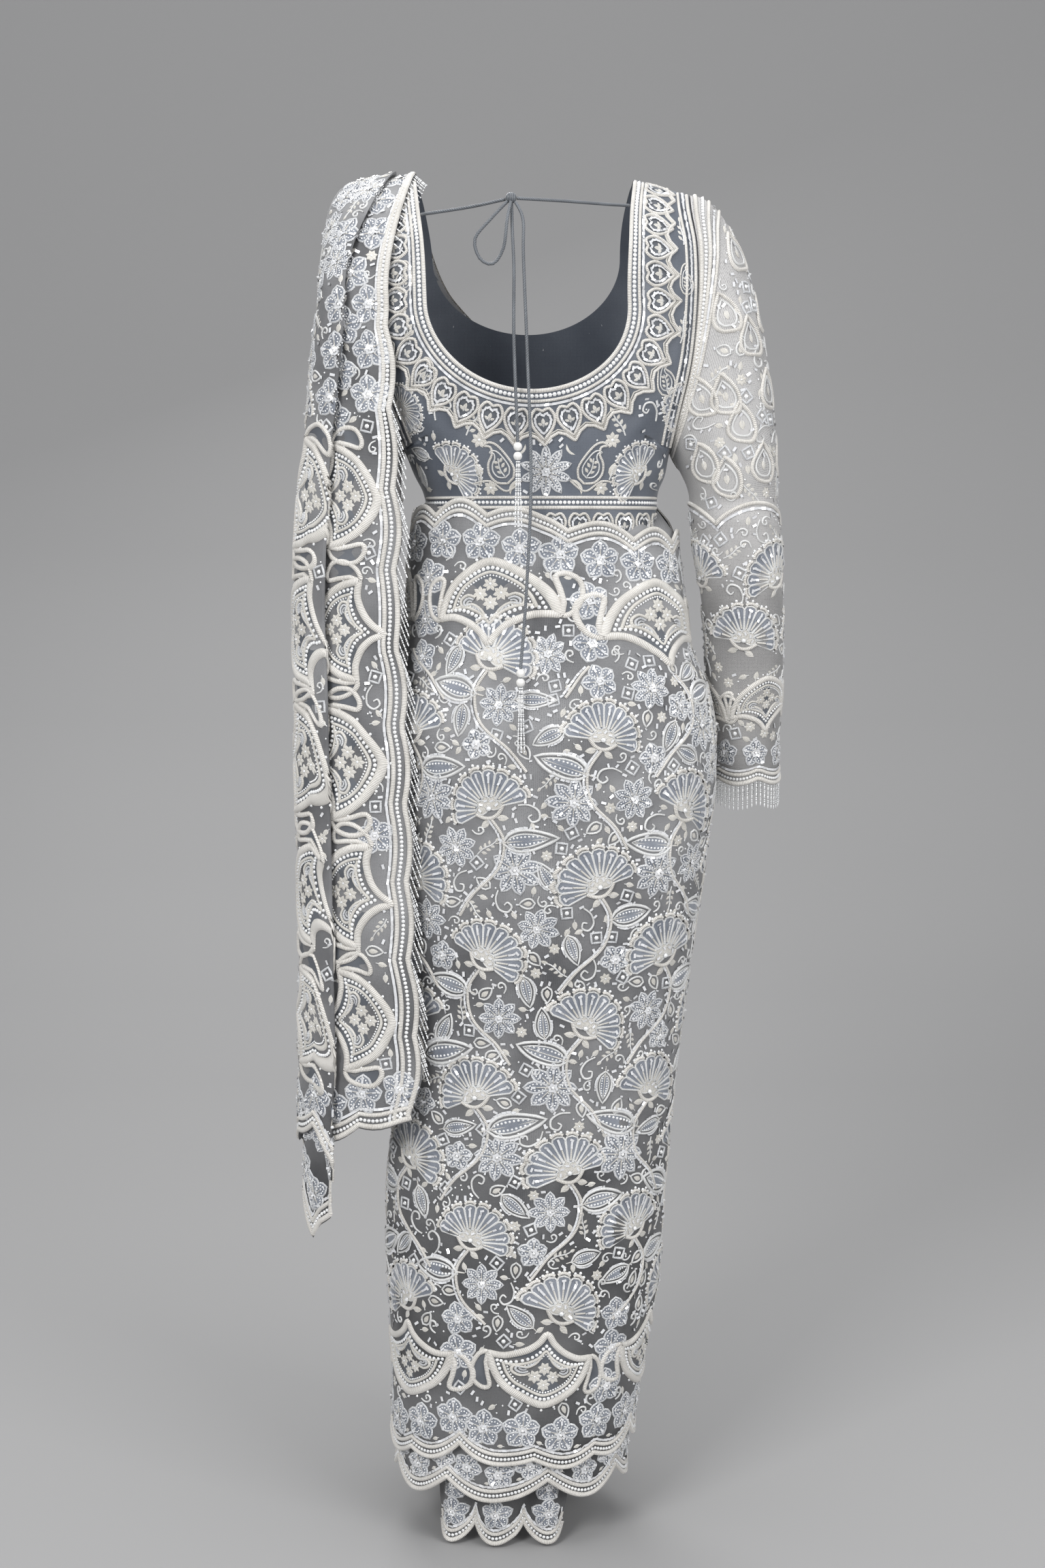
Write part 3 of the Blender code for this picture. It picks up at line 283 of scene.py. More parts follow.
class Chart:
    """Grid of points of a cloth with two coordinates, both close to metres, to lay embroidery on."""

    probe = 0.004
    least_scale = 0.08

    def __init__(self, points: Array, us: Array, vs: Array, outward: float = 1.0,
                 closed: bool = False, creases: Sequence[Crease] = (),
                 normals: Array | None = None) -> None:
        """Work out the normals and raise the creases.

        Args:
            points: rows x columns x 3 points.
            us: coordinate of each column, rising.
            vs: coordinate of each row, rising.
            outward: 1 or -1, which way the normals look.
            closed: whether the last column is the first again.
            creases: ridges and troughs in the chart's coordinates.
            normals: the normals, where they are known.
        """
        self.points, self.us, self.vs, self.closed, self.outward = points, us, vs, closed, outward
        self.normals = self._normals() if normals is None else normals
        if creases:
            u, v = np.meshgrid(us, vs)
            rise = sum(crease.relief(u, v) for crease in creases)
            self.points = points + self.normals * rise[..., None]
            self.normals = self._normals()

    def _normals(self) -> Array:
        """Normals from the grid's differences."""
        down = np.gradient(self.points, axis=0)
        if self.closed:
            wide = np.concatenate([self.points[:, -2:-1], self.points, self.points[:, 1:2]], axis=1)
            across = (wide[:, 2:] - wide[:, :-2]) / 2.0
        else:
            across = np.gradient(self.points, axis=1)
        return unit(np.cross(across, down)) * self.outward

    def at(self, u: Array, v: Array, lift: Array | float = 0.0) -> tuple[Array, Array]:
        """Points and normals at places of the chart; outside it they are not numbers.

        Args:
            u: first coordinate.
            v: second coordinate.
            lift: height above the cloth.

        Returns:
            Points and normals.
        """
        u, v = np.broadcast_arrays(np.asarray(u, float), np.asarray(v, float))
        if self.closed:
            u = self.us[0] + np.mod(u - self.us[0], self.us[-1] - self.us[0])
        inside = (u >= self.us[0]) & (u <= self.us[-1]) & (v >= self.vs[0]) & (v <= self.vs[-1])
        i = np.interp(u, self.us, np.arange(len(self.us)))
        j = np.interp(v, self.vs, np.arange(len(self.vs)))
        i0 = np.clip(i.astype(int), 0, len(self.us) - 2)
        j0 = np.clip(j.astype(int), 0, len(self.vs) - 2)
        a, b = (i - i0)[..., None], (j - j0)[..., None]

        def blend(grid: Array) -> Array:
            return ((grid[j0, i0] * (1 - a) + grid[j0, i0 + 1] * a) * (1 - b)
                    + (grid[j0 + 1, i0] * (1 - a) + grid[j0 + 1, i0 + 1] * a) * b)

        normals = unit(blend(self.normals))
        points = blend(self.points) + normals * np.asarray(lift, float)[..., None]
        return np.where(inside[..., None], points, np.nan), normals

    def measure(self, u: float, v: float) -> tuple[float, float, float]:
        """Metres across and up for each unit of the coordinates near a place, and how far across leans up."""
        low_u, high_u = max(u - self.probe, self.us[0]), min(u + self.probe, self.us[-1])
        low_v, high_v = max(v - self.probe, self.vs[0]), min(v + self.probe, self.vs[-1])
        if self.closed:
            low_u, high_u = u - self.probe, u + self.probe
        pair, _ = self.at(np.array([low_u, high_u, u, u]), np.array([v, v, low_v, high_v]))
        across = (pair[1] - pair[0]) / max(high_u - low_u, 1e-6)
        up = (pair[3] - pair[2]) / max(high_v - low_v, 1e-6)
        tall = float(np.linalg.norm(up))
        if not tall > self.least_scale:
            return 1.0, 1.0, 0.0
        lean = float(np.dot(across, up)) / tall
        wide = float(np.linalg.norm(across - lean * up / tall))
        return (wide, tall, lean) if wide > self.least_scale else (1.0, tall, 0.0)

    def scale(self, u: float, v: float) -> tuple[float, float]:
        """Metres across and up for each unit of the two coordinates, near one place."""
        return self.measure(u, v)[:2]


class Skirt:
    """The wraps round the waist: their edges and their points."""

    first_turn = -98.0
    last_turn = 150.0
    top_height = 1.146
    hem_height = 0.120

    @staticmethod
    def tilt(turn: Array | float, swell: float = 0.012) -> Array:
        """Rise of the wraps towards the left side, with a swell at the back left."""
        return 0.012 * np.sin(np.radians(turn)) + swell * np.exp(-((turn - 30.0) / 32.0) ** 2)

    @classmethod
    def top(cls, turn: Array | float) -> Array:
        """Scalloped top border of the outer wrap."""
        return cls.top_height + cls.tilt(turn, 0.015) + 0.014 * lobes(turn, 30.0, 22.5)

    @classmethod
    def low_line(cls, turn: Array | float) -> Array:
        """Line along the outer wrap's hem that follows its lobes a little."""
        return 0.3 * cls.hem(turn) + 0.7 * cls.hem_height

    @staticmethod
    def hem(turn: Array) -> Array:
        """Scalloped hem of the outer wrap: three small lobes in each large one."""
        return 0.130 - 0.020 * lobes(turn, 90.0, 22.5) ** 0.6 - 0.010 * lobes(turn, 30.0, 22.5)

    @staticmethod
    def middle_hem(turn: Array) -> Array:
        """Scalloped hem of the middle wrap."""
        return 0.084 - 0.024 * lobes(turn, 45.0, 30.0)

    @staticmethod
    def middle_inset(turn: Array, height: Array) -> Array:
        """How far the middle wrap lies inside the outer one."""
        return 0.0022 + 0.0045 * ease((1.060 - height) / 0.048)

    @staticmethod
    def inner_wave(turn: Array) -> Array:
        """Round folds of the innermost wrap at the centre back."""
        away = np.abs(turn - 6.0) / 24.0
        return np.where(away > 1.5, 0.0, ((1.0 + np.cos(2.0 * math.pi * away)) / 2.0) ** 0.7)

    @classmethod
    def inner_hem(cls, turn: Array) -> Array:
        """Hem of the innermost wrap, whose folds reach the floor."""
        away = np.abs(turn - 6.0) / 24.0 - 1.5
        return mix(mix(0.030, 0.004, cls.inner_wave(turn) ** 0.42), 0.100, ease(away * 3.0))

    @classmethod
    def inner_inset(cls, turn: Array, height: Array) -> Array:
        """How far the innermost wrap lies inside the outer one."""
        lobe = 0.013 * cls.inner_wave(turn) * ease((0.19 - height) / 0.12)
        slack = 0.011 * ease((1.085 - height) / 0.055)
        return 0.0044 + slack + 0.016 * ease((0.30 - height) / 0.2) - lobe

    @staticmethod
    def turn_to_u(turn: Array | float) -> Array:
        """Chart coordinate of a turn in degrees."""
        return np.radians(turn) * GIRTH_RADIUS


class Blouse:
    """Front and back of the blouse and its sleeves, on its left or right."""

    last_row = 14
    side_row = 4.0
    curve_row = 10.0
    foot = 1.116
    armpit = 1.234
    neck_half = 0.106
    neck_end = 0.119
    tip = 0.179
    bust = (0.014, 0.078, 1.285, 0.050)
    cap_end = 1.180
    cuff = 0.866

    @staticmethod
    def shoulder(half: Array | float) -> Array:
        """Height of the shoulder line at a distance from the centre."""
        return 1.561 - 0.285 * half

    @classmethod
    def neck_edge(cls, row: Array, front: bool) -> tuple[Array, Array]:
        """Half width and height of a panel's inner edge."""
        bend, drop = (1.450, 0.080) if front else (1.385, 0.090)
        angle = np.radians(90.0 * np.clip((row - cls.side_row) / (cls.curve_row - cls.side_row), 0.0, 1.0))
        share = np.clip((row - cls.curve_row) / (cls.last_row - cls.curve_row), 0.0, 1.0)
        curved, low = row <= cls.curve_row, row <= cls.side_row
        half = np.where(curved, cls.neck_half * np.sin(angle), mix(cls.neck_half, cls.neck_end, share ** 2))
        height = np.where(curved, bend - drop * np.cos(angle), mix(bend, cls.shoulder(cls.neck_end), share))
        return (np.where(low, 0.0, half),
                np.where(low, mix(cls.foot, bend - drop, row / cls.side_row), height))

    @classmethod
    def armhole_edge(cls, row: Array) -> tuple[Array, Array]:
        """Half width and height of a panel's outer edge."""
        low = mix(cls.foot, cls.armpit, row / cls.side_row)
        angle = math.pi * np.clip((row - cls.side_row) / (cls.last_row - cls.side_row), 0.0, 1.0)
        high = mix(cls.armpit, cls.shoulder(cls.tip), (1.0 - np.cos(angle)) / 2.0)
        below = row <= cls.side_row
        return (np.where(below, TORSO.read("half", low), ARMHOLE.read("half", high)),
                np.where(below, low, high))

    @staticmethod
    def turn(half: Array, height: Array) -> Array:
        """Turn at which the torso has a given distance from its centre plane."""
        share = np.minimum(half / TORSO.read("half", height), 1.0)
        return np.arcsin(share ** (1.0 / SQUARENESS))

    @classmethod
    def panel(cls, row: Array, share: Array, front: bool, side: float) -> Array:
        """Points of a half panel.

        Args:
            One length of the cord, whose real length is logged.
            share: 0 at the centre or neckline and 1 at the side or armhole.
            front: front or back.
            side: 1 for the garment's left and -1 for its right.

        Returns:
            lay: how it lies; not used.
        """
        neck_half, neck_height = cls.neck_edge(row, front)
        arm_half, arm_height = cls.armhole_edge(row)
        turn = mix(cls.turn(neck_half, neck_height), cls.turn(arm_half, arm_height), share)
        height = mix(neck_height, arm_height, 1.0 - (1.0 - share) ** 2.0)
        sine, cosine = signed_power(np.sin(turn), SQUARENESS), np.maximum(np.cos(turn), 0.0) ** SQUARENESS
        half = TORSO.read("half", height) * sine
        below = np.maximum(cls.shoulder(half) - height, 0.0) / 0.110
        rounding = np.sqrt(np.maximum(1.0 - (1.0 - np.minimum(below, 1.0)) ** 2, 0.0))
        depth = TORSO.read("front" if front else "back", height) * cosine * rounding
        if front:
            rise, across, up, wide = cls.bust
            depth = depth + rise * cosine * np.exp(-((half - across) ** 2 + (height - up) ** 2) / wide ** 2)
        top = row >= cls.last_row - 1e-6
        line = mix(neck_half, arm_half, share)
        half, depth = np.where(top, line, half), np.where(top, 0.0, depth)
        height = np.where(top, cls.shoulder(line), height)
        forward = -1.0 if front else 1.0
        return place(TORSO.read("centre", height) + side * half, forward * (depth + HALF_SEAM), height)

    @classmethod
    def armhole(cls, share: Array, side: float) -> Array:
        """Points round the armhole: 0 at the shoulder tip, a quarter at the back, half at the armpit."""
        back = np.minimum(share, 1.0 - share) * 2.0 * (cls.last_row - cls.side_row)
        rear = cls.panel(cls.last_row - back, np.ones_like(share), False, side)
        fore = cls.panel(cls.last_row - back, np.ones_like(share), True, side)
        return np.where((share <= 0.5)[..., None], rear, fore)

    @classmethod
    def sleeve(cls, side: float, rings: int, columns: int) -> Array:
        """Grid of a sleeve from the armhole to the scalloped cuff; the last column is the first again."""
        table, reach, off = (RIGHT_ARM, 0.62, 0.0013) if side < 0 else (LEFT_ARM, 0.20, 0.0019)
        share = np.mod(np.linspace(0.0, 1.0, columns + 1), 1.0)
        angle = 2.0 * math.pi * share

        def ring(height: float) -> Array:
            return place(side * (table.read("centre_x", height) + table.read("half_x", height)
                                 * np.cos(angle)),
                         table.read("centre_y", height) + table.read("half_y", height) * np.sin(angle),
                         np.full_like(angle, height))

        seam = cls.armhole(share, side) + np.array([side * off, 0.0, 0.0])
        end = ring(cls.cap_end)
        fall = (seam[:, 2] - end[:, 2])[:, None]
        outward = ((1.0 + np.cos(angle)) / 2.0)[:, None]
        leave = np.concatenate([side * reach * outward, outward * 0.0, -0.62 * (1.0 - outward)], 1) * fall
        arrive = np.array([0.0, 0.0, -1.05]) * fall
        cap = rings // 2
        rows = [hermite(seam, leave, end, arrive, step / cap) for step in range(cap)]
        for step in range(rings - cap + 1):
            part = step / (rings - cap)
            loop = ring(mix(cls.cap_end, cls.cuff, part))
            loop[:, 2] -= 0.007 * lobes(share, 0.2) * ease((part - 0.80) / 0.2)
            rows.append(loop)
        return np.array(rows)


class Folds:
    """The folded free end of the sari: the drape over the front and the pallu down the back."""

    hanging_top = 1.400
    pleat_top = 1.135
    pleat_hem = 0.024

    @staticmethod
    def read(values: Array, at: Array) -> Array:
        """A column of the folded section at a fractional fold number."""
        return np.interp(at, np.arange(len(values)), values)

    @classmethod
    def unfolded(cls, folds: Array) -> Array:
        """Width of cloth up to each fold number, over the width of the folded section."""
        across, layer = cls.read(FOLD_ACROSS, folds), cls.read(FOLD_LAYER, folds)
        return summed(np.abs(np.diff(across)) + 0.03 * np.abs(np.diff(layer)))

    @classmethod
    def shoulder(cls, fold: Array) -> Array:
        """Points along the top of the shoulder."""
        share = cls.read(FOLD_ACROSS, fold) / FOLD_SPAN
        lift = cls.read(FOLD_LAYER, fold) * LAYER_PITCH
        half = mix(0.121, 0.185, share)
        return place(0.0195 + half, 0.0, Blouse.shoulder(half) + 0.0060 + lift)

    @classmethod
    def hanging(cls, fold: Array, height: Array) -> Array:
        """Points of the hanging pallu at a fold number and a height."""
        across = cls.read(FOLD_ACROSS, fold)
        lift = cls.read(FOLD_LAYER, fold) * LAYER_PITCH
        inner, outer = PALLU.read("inner", height), PALLU.read("outer", height)
        angle = np.where(across <= 1.0, 90.0 * across, 90.0 + 38.0 * (across - 1.0) / (FOLD_SPAN - 1.0))
        angle = np.radians(angle * mix(0.70, 1.0, ease((cls.hanging_top - height) / 0.20)))
        sine, cosine = np.sin(angle) ** 0.60, signed_power(np.cos(angle), 0.60)
        even = np.clip(0.5 * (1.0 - across / 0.84), 0.0, 0.5)
        sine = mix(sine, across, even)
        reach = (PALLU.reach(cosine, height) + lift) * cosine
        return place(inner + (outer + lift - inner) * sine, reach, height)

    @classmethod
    def pallu(cls, folds: Array, rows: int) -> Array:
        """Grid of the pallu from the shoulder seam to its stepped end."""
        top = np.full_like(folds, cls.hanging_top)
        share = cls.read(FOLD_ACROSS, folds) / FOLD_SPAN
        start = cls.shoulder(folds) + np.array([0.0, HALF_SEAM, 0.0])
        end = cls.hanging(folds, top)
        leave = np.stack([0.110 * share ** 2, 0.130 - 0.100 * share ** 2, 0.0 * share], axis=-1)
        arrive = np.stack([0.0 * share, 0.0 * share, -0.16 + 0.03 * share], axis=-1)
        cap = max(rows // 6, 4)
        grid = [hermite(start, leave, end, arrive, step / cap) for step in range(cap)]
        for step in range(rows - cap + 1):
            part = step / (rows - cap)
            height = mix(top, cls.read(FOLD_END, folds), part)
            points = cls.hanging(folds, height)
            near = np.clip(1.0 - folds, 0.0, 1.0)
            points[:, 0] += 0.006 * near * (1.0 - lobes(height, 0.085))
            points[:, 2] -= 0.006 * lobes(cls.read(FOLD_ACROSS, folds), 0.28) * ease((part - 0.93) / 0.07)
            grid.append(points)
        return np.array(grid)

    @classmethod
    def clothed(cls, turn: Array, height: Array, lift: Array) -> Array:
        """Points in front of both the blouse and the skirt, lifted outwards."""
        sine, cosine = compass(turn)
        upper = ease((height - 1.13) / 0.09)
        centre, half, back, front = (mix(SKIRT.read(name, height), TORSO.read(name, height), upper)
                                     for name in ("centre", "half", "back", "front"))
        rise, _, middle, wide = Blouse.bust
        bust = np.where(cosine < 0, rise * np.exp(-((height - middle) / wide) ** 2), 0.0)
        reach = np.where(cosine > 0, back, front) + lift + bust
        return place(centre + (half + lift) * sine, reach * cosine, height)

    @classmethod
    def drape(cls, folds: Array, rows: int) -> Array:
        """Grid of the drape from the right side across the front to the shoulder seam."""
        flats = cls.unfolded(np.arange(len(FOLD_ACROSS)))
        flat = cls.read(flats / flats[-1], folds)
        layer = cls.read(FOLD_LAYER, folds) * LAYER_PITCH
        pinned = cls.read(FOLD_ACROSS, folds) / FOLD_SPAN
        cap = rows // 4
        body = rows - cap
        grid = []
        for step in range(body + 1):
            along = step / body
            share = mix(flat, pinned, ease((along - 0.50) / 0.50))
            upper_turn, lower_turn, upper, lower, lift = (
                float(DRAPE.read(name, along))
                for name in ("upper_turn", "lower_turn", "upper_height", "lower_height", "lift"))
            turn = mix(upper_turn, lower_turn, share)
            height = mix(upper, lower, share)
            start = 1.0 - ease(along / 0.06)
            edge = mix(Skirt.top(Skirt.first_turn), Skirt.hem(Skirt.first_turn), share)
            height = mix(height, edge, start)
            turn = turn - 0.107 * start
            raised = ease((along - 0.04) / 0.28)
            grid.append(cls.clothed(turn, height, lift + raised * layer))
        chest, before = grid[-1], grid[-2]
        leave = unit(chest - before) * 0.16
        end = cls.shoulder(folds) - np.array([0.0, HALF_SEAM, 0.0])
        arrive = np.array([0.0, 0.110, 0.0])
        grid += [hermite(chest, leave, end, arrive, step / cap) for step in range(1, cap + 1)]
        return np.array(grid)

    @staticmethod
    def pleats(rows: int, pleats: int = 6) -> Array:
        """Grid of the knife pleats from the tuck at the waist to the hem."""
        grid = []
        for step in range(rows + 1):
            height = mix(Folds.pleat_top, Folds.pleat_hem, step / rows)
            depth, turn, overlap = (float(PLEAT_SIZES.read(name, height))
                                    for name in ("depth", "turn", "overlap"))
            pitch = 1.0 / (pleats + overlap - 0.55)
            path: list[tuple[float, float]] = []
            for pleat in range(pleats):
                start = pleat * pitch
                path += [(start, turn if pleat else turn * 0.5), (start, 0.0),
                         (start + overlap * pitch, depth), (start + overlap * pitch, depth - turn)]
            path += [(pleats * pitch, turn * 0.6), (1.0, -0.0014)]
            corners = np.array(path)
            share = np.linspace(0.0, len(path) - 1.0, 3 * (len(path) - 1) + 1)
            across = np.interp(share, np.arange(len(path)), corners[:, 0])
            out = np.interp(share, np.arange(len(path)), corners[:, 1])
            angle = mix(208.0, 150.75, across)
            grid.append(section(angle, np.full_like(angle, height), -out - 0.0007))
        return np.array(grid)


# Finishes

class Finish(Enum):
    """The finishes of this garment."""

    NET = "net"
    SLEEVE_NET = "sleeve net"
    LINING = "lining"
    CORD = "ivory cord"
    SILVER = "silver cord"
    THREAD = "silver thread"
    PETAL = "grey-blue petals"
    CREAM = "cream satin"
    # Painted shade: a dark fill that stands in for the shade seen through openings in the cloth.
    SHADE = "dark cut-work"
    SEQUIN = "sequins"
    BEAD = "beads"
    TIE = "tie satin"
    PEARL = "pearl"


@dataclass(frozen=True)
class Look:
    """Numbers of one finish: two colours, its gloss, its pattern, and the painted shade by which its tone
    falls with height.

    The fall is that painted shade: the height where it starts, the height where it ends and the share of the
    tone left there.
    """

    slot: str
    light: tuple[float, float, float]
    deep: tuple[float, float, float]
    roughness: float
    metallic: float = 0.0
    sheen: float = 0.0
    coat: float = 0.0
    bump: float = 0.0
    mottle: float = 40.0
    stitch: float = 0.0
    # Share of painted shade that darkens the grooves between the stitch ribs.
    groove_shade: float = 0.0
    see_through: float = 1.0
    # Painted shade: the colour darkens between two heights.
    fall: tuple[float, float, float] | None = None


LOOKS = {
    # The nets' fall is painted shade: darker towards the hem and the cuff, standing in for the shade seen
    # through the sheer cloth.
    Finish.NET: Look("net", (0.345, 0.345, 0.350), (0.080, 0.081, 0.086), 0.55, sheen=0.15, bump=0.35,
                     mottle=7.0, see_through=0.92, fall=(-0.42, -0.86, 0.52)),
    Finish.SLEEVE_NET: Look("net", (0.66, 0.645, 0.635), (0.40, 0.395, 0.39), 0.55, sheen=0.15, bump=0.35,
                            mottle=9.0, see_through=0.74, fall=(0.17, -0.12, 0.66)),
    Finish.LINING: Look("lining", (0.145, 0.162, 0.192), (0.100, 0.114, 0.140), 0.42, sheen=0.3, bump=0.25,
                        mottle=14.0),
    Finish.CORD: Look("net", (0.92, 0.89, 0.84), (0.75, 0.72, 0.67), 0.50, sheen=0.2, bump=0.9,
                      stitch=0.0017, groove_shade=0.28),
    Finish.SILVER: Look("net", (0.92, 0.93, 0.94), (0.68, 0.69, 0.71), 0.28, metallic=0.15, bump=0.7,
                        stitch=0.0012, groove_shade=0.28),
    Finish.THREAD: Look("net", (0.90, 0.90, 0.89), (0.70, 0.70, 0.69), 0.36, metallic=0.10, bump=0.5,
                        stitch=0.0011, groove_shade=0.22),
    Finish.PETAL: Look("net", (0.36, 0.385, 0.44), (0.215, 0.238, 0.285), 0.38, sheen=0.4, bump=0.6,
                       stitch=0.0010, groove_shade=0.28),
    Finish.CREAM: Look("net", (0.92, 0.89, 0.83), (0.74, 0.71, 0.65), 0.42, sheen=0.3, bump=0.7,
                       stitch=0.0011, groove_shade=0.28),
    # Painted shade: dark fill for the shade seen through cut-work openings.
    Finish.SHADE: Look("net", (0.125, 0.135, 0.152), (0.082, 0.090, 0.104), 0.65, bump=0.2),
    Finish.SEQUIN: Look("beads", (0.97, 0.97, 0.98), (0.86, 0.87, 0.89), 0.13, metallic=0.40, coat=0.8),
    Finish.BEAD: Look("beads", (0.95, 0.95, 0.94), (0.76, 0.77, 0.78), 0.12, metallic=0.10, coat=0.8),
    Finish.TIE: Look("tie", (0.185, 0.200, 0.220), (0.120, 0.130, 0.145), 0.40, sheen=0.3, bump=0.5,
                     stitch=0.0026, groove_shade=0.35),
    Finish.PEARL: Look("pearl", (0.90, 0.89, 0.86), (0.76, 0.75, 0.73), 0.18, coat=0.8, mottle=120.0),
}


def node(tree: bpy.types.NodeTree, kind: str, inputs: dict[str, object] | None = None,
         stops: Rows = (), **settings: object) -> bpy.types.Node:
    """Add a shader node.

    Args:
        tree: where it is added.
        kind: its kind, without Blender's prefix.
        inputs: a value, or the output that feeds it, for each input.
        stops: position and colour of each end of a ramp.
        settings: what else is set on it.

    Returns:
        The new node.
    """
    made = tree.nodes.new("ShaderNode" + kind)
    for name, value in settings.items():
        setattr(made, name, value)
    for name, value in (inputs or {}).items():
        if isinstance(value, bpy.types.NodeSocket):
            tree.links.new(value, made.inputs[name])
        else:
            made.inputs[name].default_value = value
    for number, (position, *colour) in enumerate(stops):
        made.color_ramp.elements[number].position = position
        made.color_ramp.elements[number].color = (*colour, 1.0)
    return made


class Materials:
    """Makes each finish's material once."""

    def __init__(self) -> None:
        """Start with none made."""
        self.made: dict[Finish, bpy.types.Material] = {}

    def get(self, finish: Finish) -> bpy.types.Material:
        """Material of a finish."""
        if finish not in self.made:
            self.made[finish] = self._build(finish, LOOKS[finish])
        return self.made[finish]

    @classmethod
    def _build(cls, finish: Finish, look: Look) -> bpy.types.Material:
        """Mottled colour, fine ribs along the stitches or a net's mesh, painted shade in the stitches'
        grooves and the net's holes, and bump from both.
        """
        material = bpy.data.materials.new(finish.value.replace(" ", "_"))
        material.use_nodes = True
        tree = material.node_tree
        tree.nodes.clear()
        shader = node(tree, "BsdfPrincipled", {
            "Roughness": look.roughness, "Metallic": look.metallic, "Sheen Weight": look.sheen,
            "Sheen Roughness": 0.4, "Coat Weight": look.coat, "Coat Roughness": 0.08})
        node(tree, "OutputMaterial", {"Surface": shader.outputs["BSDF"]})
        space = node(tree, "TexCoord").outputs["Object"]
        height = node(tree, "TexNoise", {"Vector": space, "Scale": look.mottle, "Detail": 6.0}).outputs["Fac"]
        mottled = node(tree, "ValToRGB", {"Fac": height}, ((0.32, *look.deep), (0.68, *look.light)))
        colour = mottled.outputs["Color"]
        # Painted shade: the colour is darkened towards the lower end.
        if look.fall:
            colour = cls._painted_height_shade(tree, space, colour, look.fall)
        uv = node(tree, "UVMap", uv_map=UV_NAME).outputs["UV"]
        if look.stitch:
            wave = node(tree, "TexWave", {
                "Vector": uv, "Scale": 2.0 * math.pi / (20.0 * look.stitch), "Distortion": 1.2, "Detail": 1.0,
                "Detail Scale": 2.0}, bands_direction="X")
            height = wave.outputs["Fac"]
            # Painted shade: the colour is darkened in the grooves between the stitch ribs.
            colour = cls._times(tree, colour, wave.outputs["Color"], look.groove_shade)
        elif finish in (Finish.NET, Finish.SLEEVE_NET, Finish.LINING):
            height = node(tree, "TexVoronoi", {"Vector": uv, "Scale": 620.0, "Randomness": 0.35},
                          feature="DISTANCE_TO_EDGE").outputs["Distance"]
            opened = node(tree, "ValToRGB", {"Fac": height},
                          ((0.10, 0.0, 0.0, 0.0), (0.34, 1.0, 1.0, 1.0))).outputs["Color"]
            # Painted shade: the net's holes are darkened to stand in for the shade seen through them; the
            # mesh of threads and holes is the net's own pattern.
            painted_hole_shade = node(tree, "ValToRGB", {"Fac": opened}, ((0.0, 1.0, 1.0, 1.0), (1.0, 0.70, 0.70, 0.71)))
            colour = cls._times(tree, colour, painted_hole_shade.outputs["Color"], 1.0)
            if look.see_through < 1.0:
                alpha = node(tree, "MapRange", {"Value": opened, "To Min": 1.0, "To Max": look.see_through})
                tree.links.new(alpha.outputs["Result"], shader.inputs["Alpha"])
        tree.links.new(colour, shader.inputs["Base Color"])
        if look.bump:
            bump = node(tree, "Bump", {"Height": height, "Strength": look.bump, "Distance": 0.0006})
            tree.links.new(bump.outputs["Normal"], shader.inputs["Normal"])
        return material

    @staticmethod
    def _painted_height_shade(tree: bpy.types.NodeTree, space: bpy.types.NodeSocket, colour: bpy.types.NodeSocket,
                fall: tuple[float, float, float]) -> bpy.types.NodeSocket:
        """Colour darkened with painted shade between two heights."""
        start, end, left = fall
        split = node(tree, "SeparateXYZ", {"Vector": space})
        tone = node(tree, "MapRange", {"Value": split.outputs["Z"], "From Min": end, "From Max": start,
                                       "To Min": left, "To Max": 1.0}, interpolation_type="SMOOTHSTEP")
        return node(tree, "VectorMath", {"Vector": colour, "Scale": tone.outputs["Result"]},
                    operation="SCALE").outputs["Vector"]

    @staticmethod
    def _times(tree: bpy.types.NodeTree, colour: bpy.types.NodeSocket, other: bpy.types.NodeSocket,
               factor: float) -> bpy.types.NodeSocket:
        """Colour multiplied by another."""
        return node(tree, "Mix", {"Factor": factor, "A": colour, "B": other}, data_type="RGBA",
                    blend_type="MULTIPLY").outputs["Result"]


# Making pieces

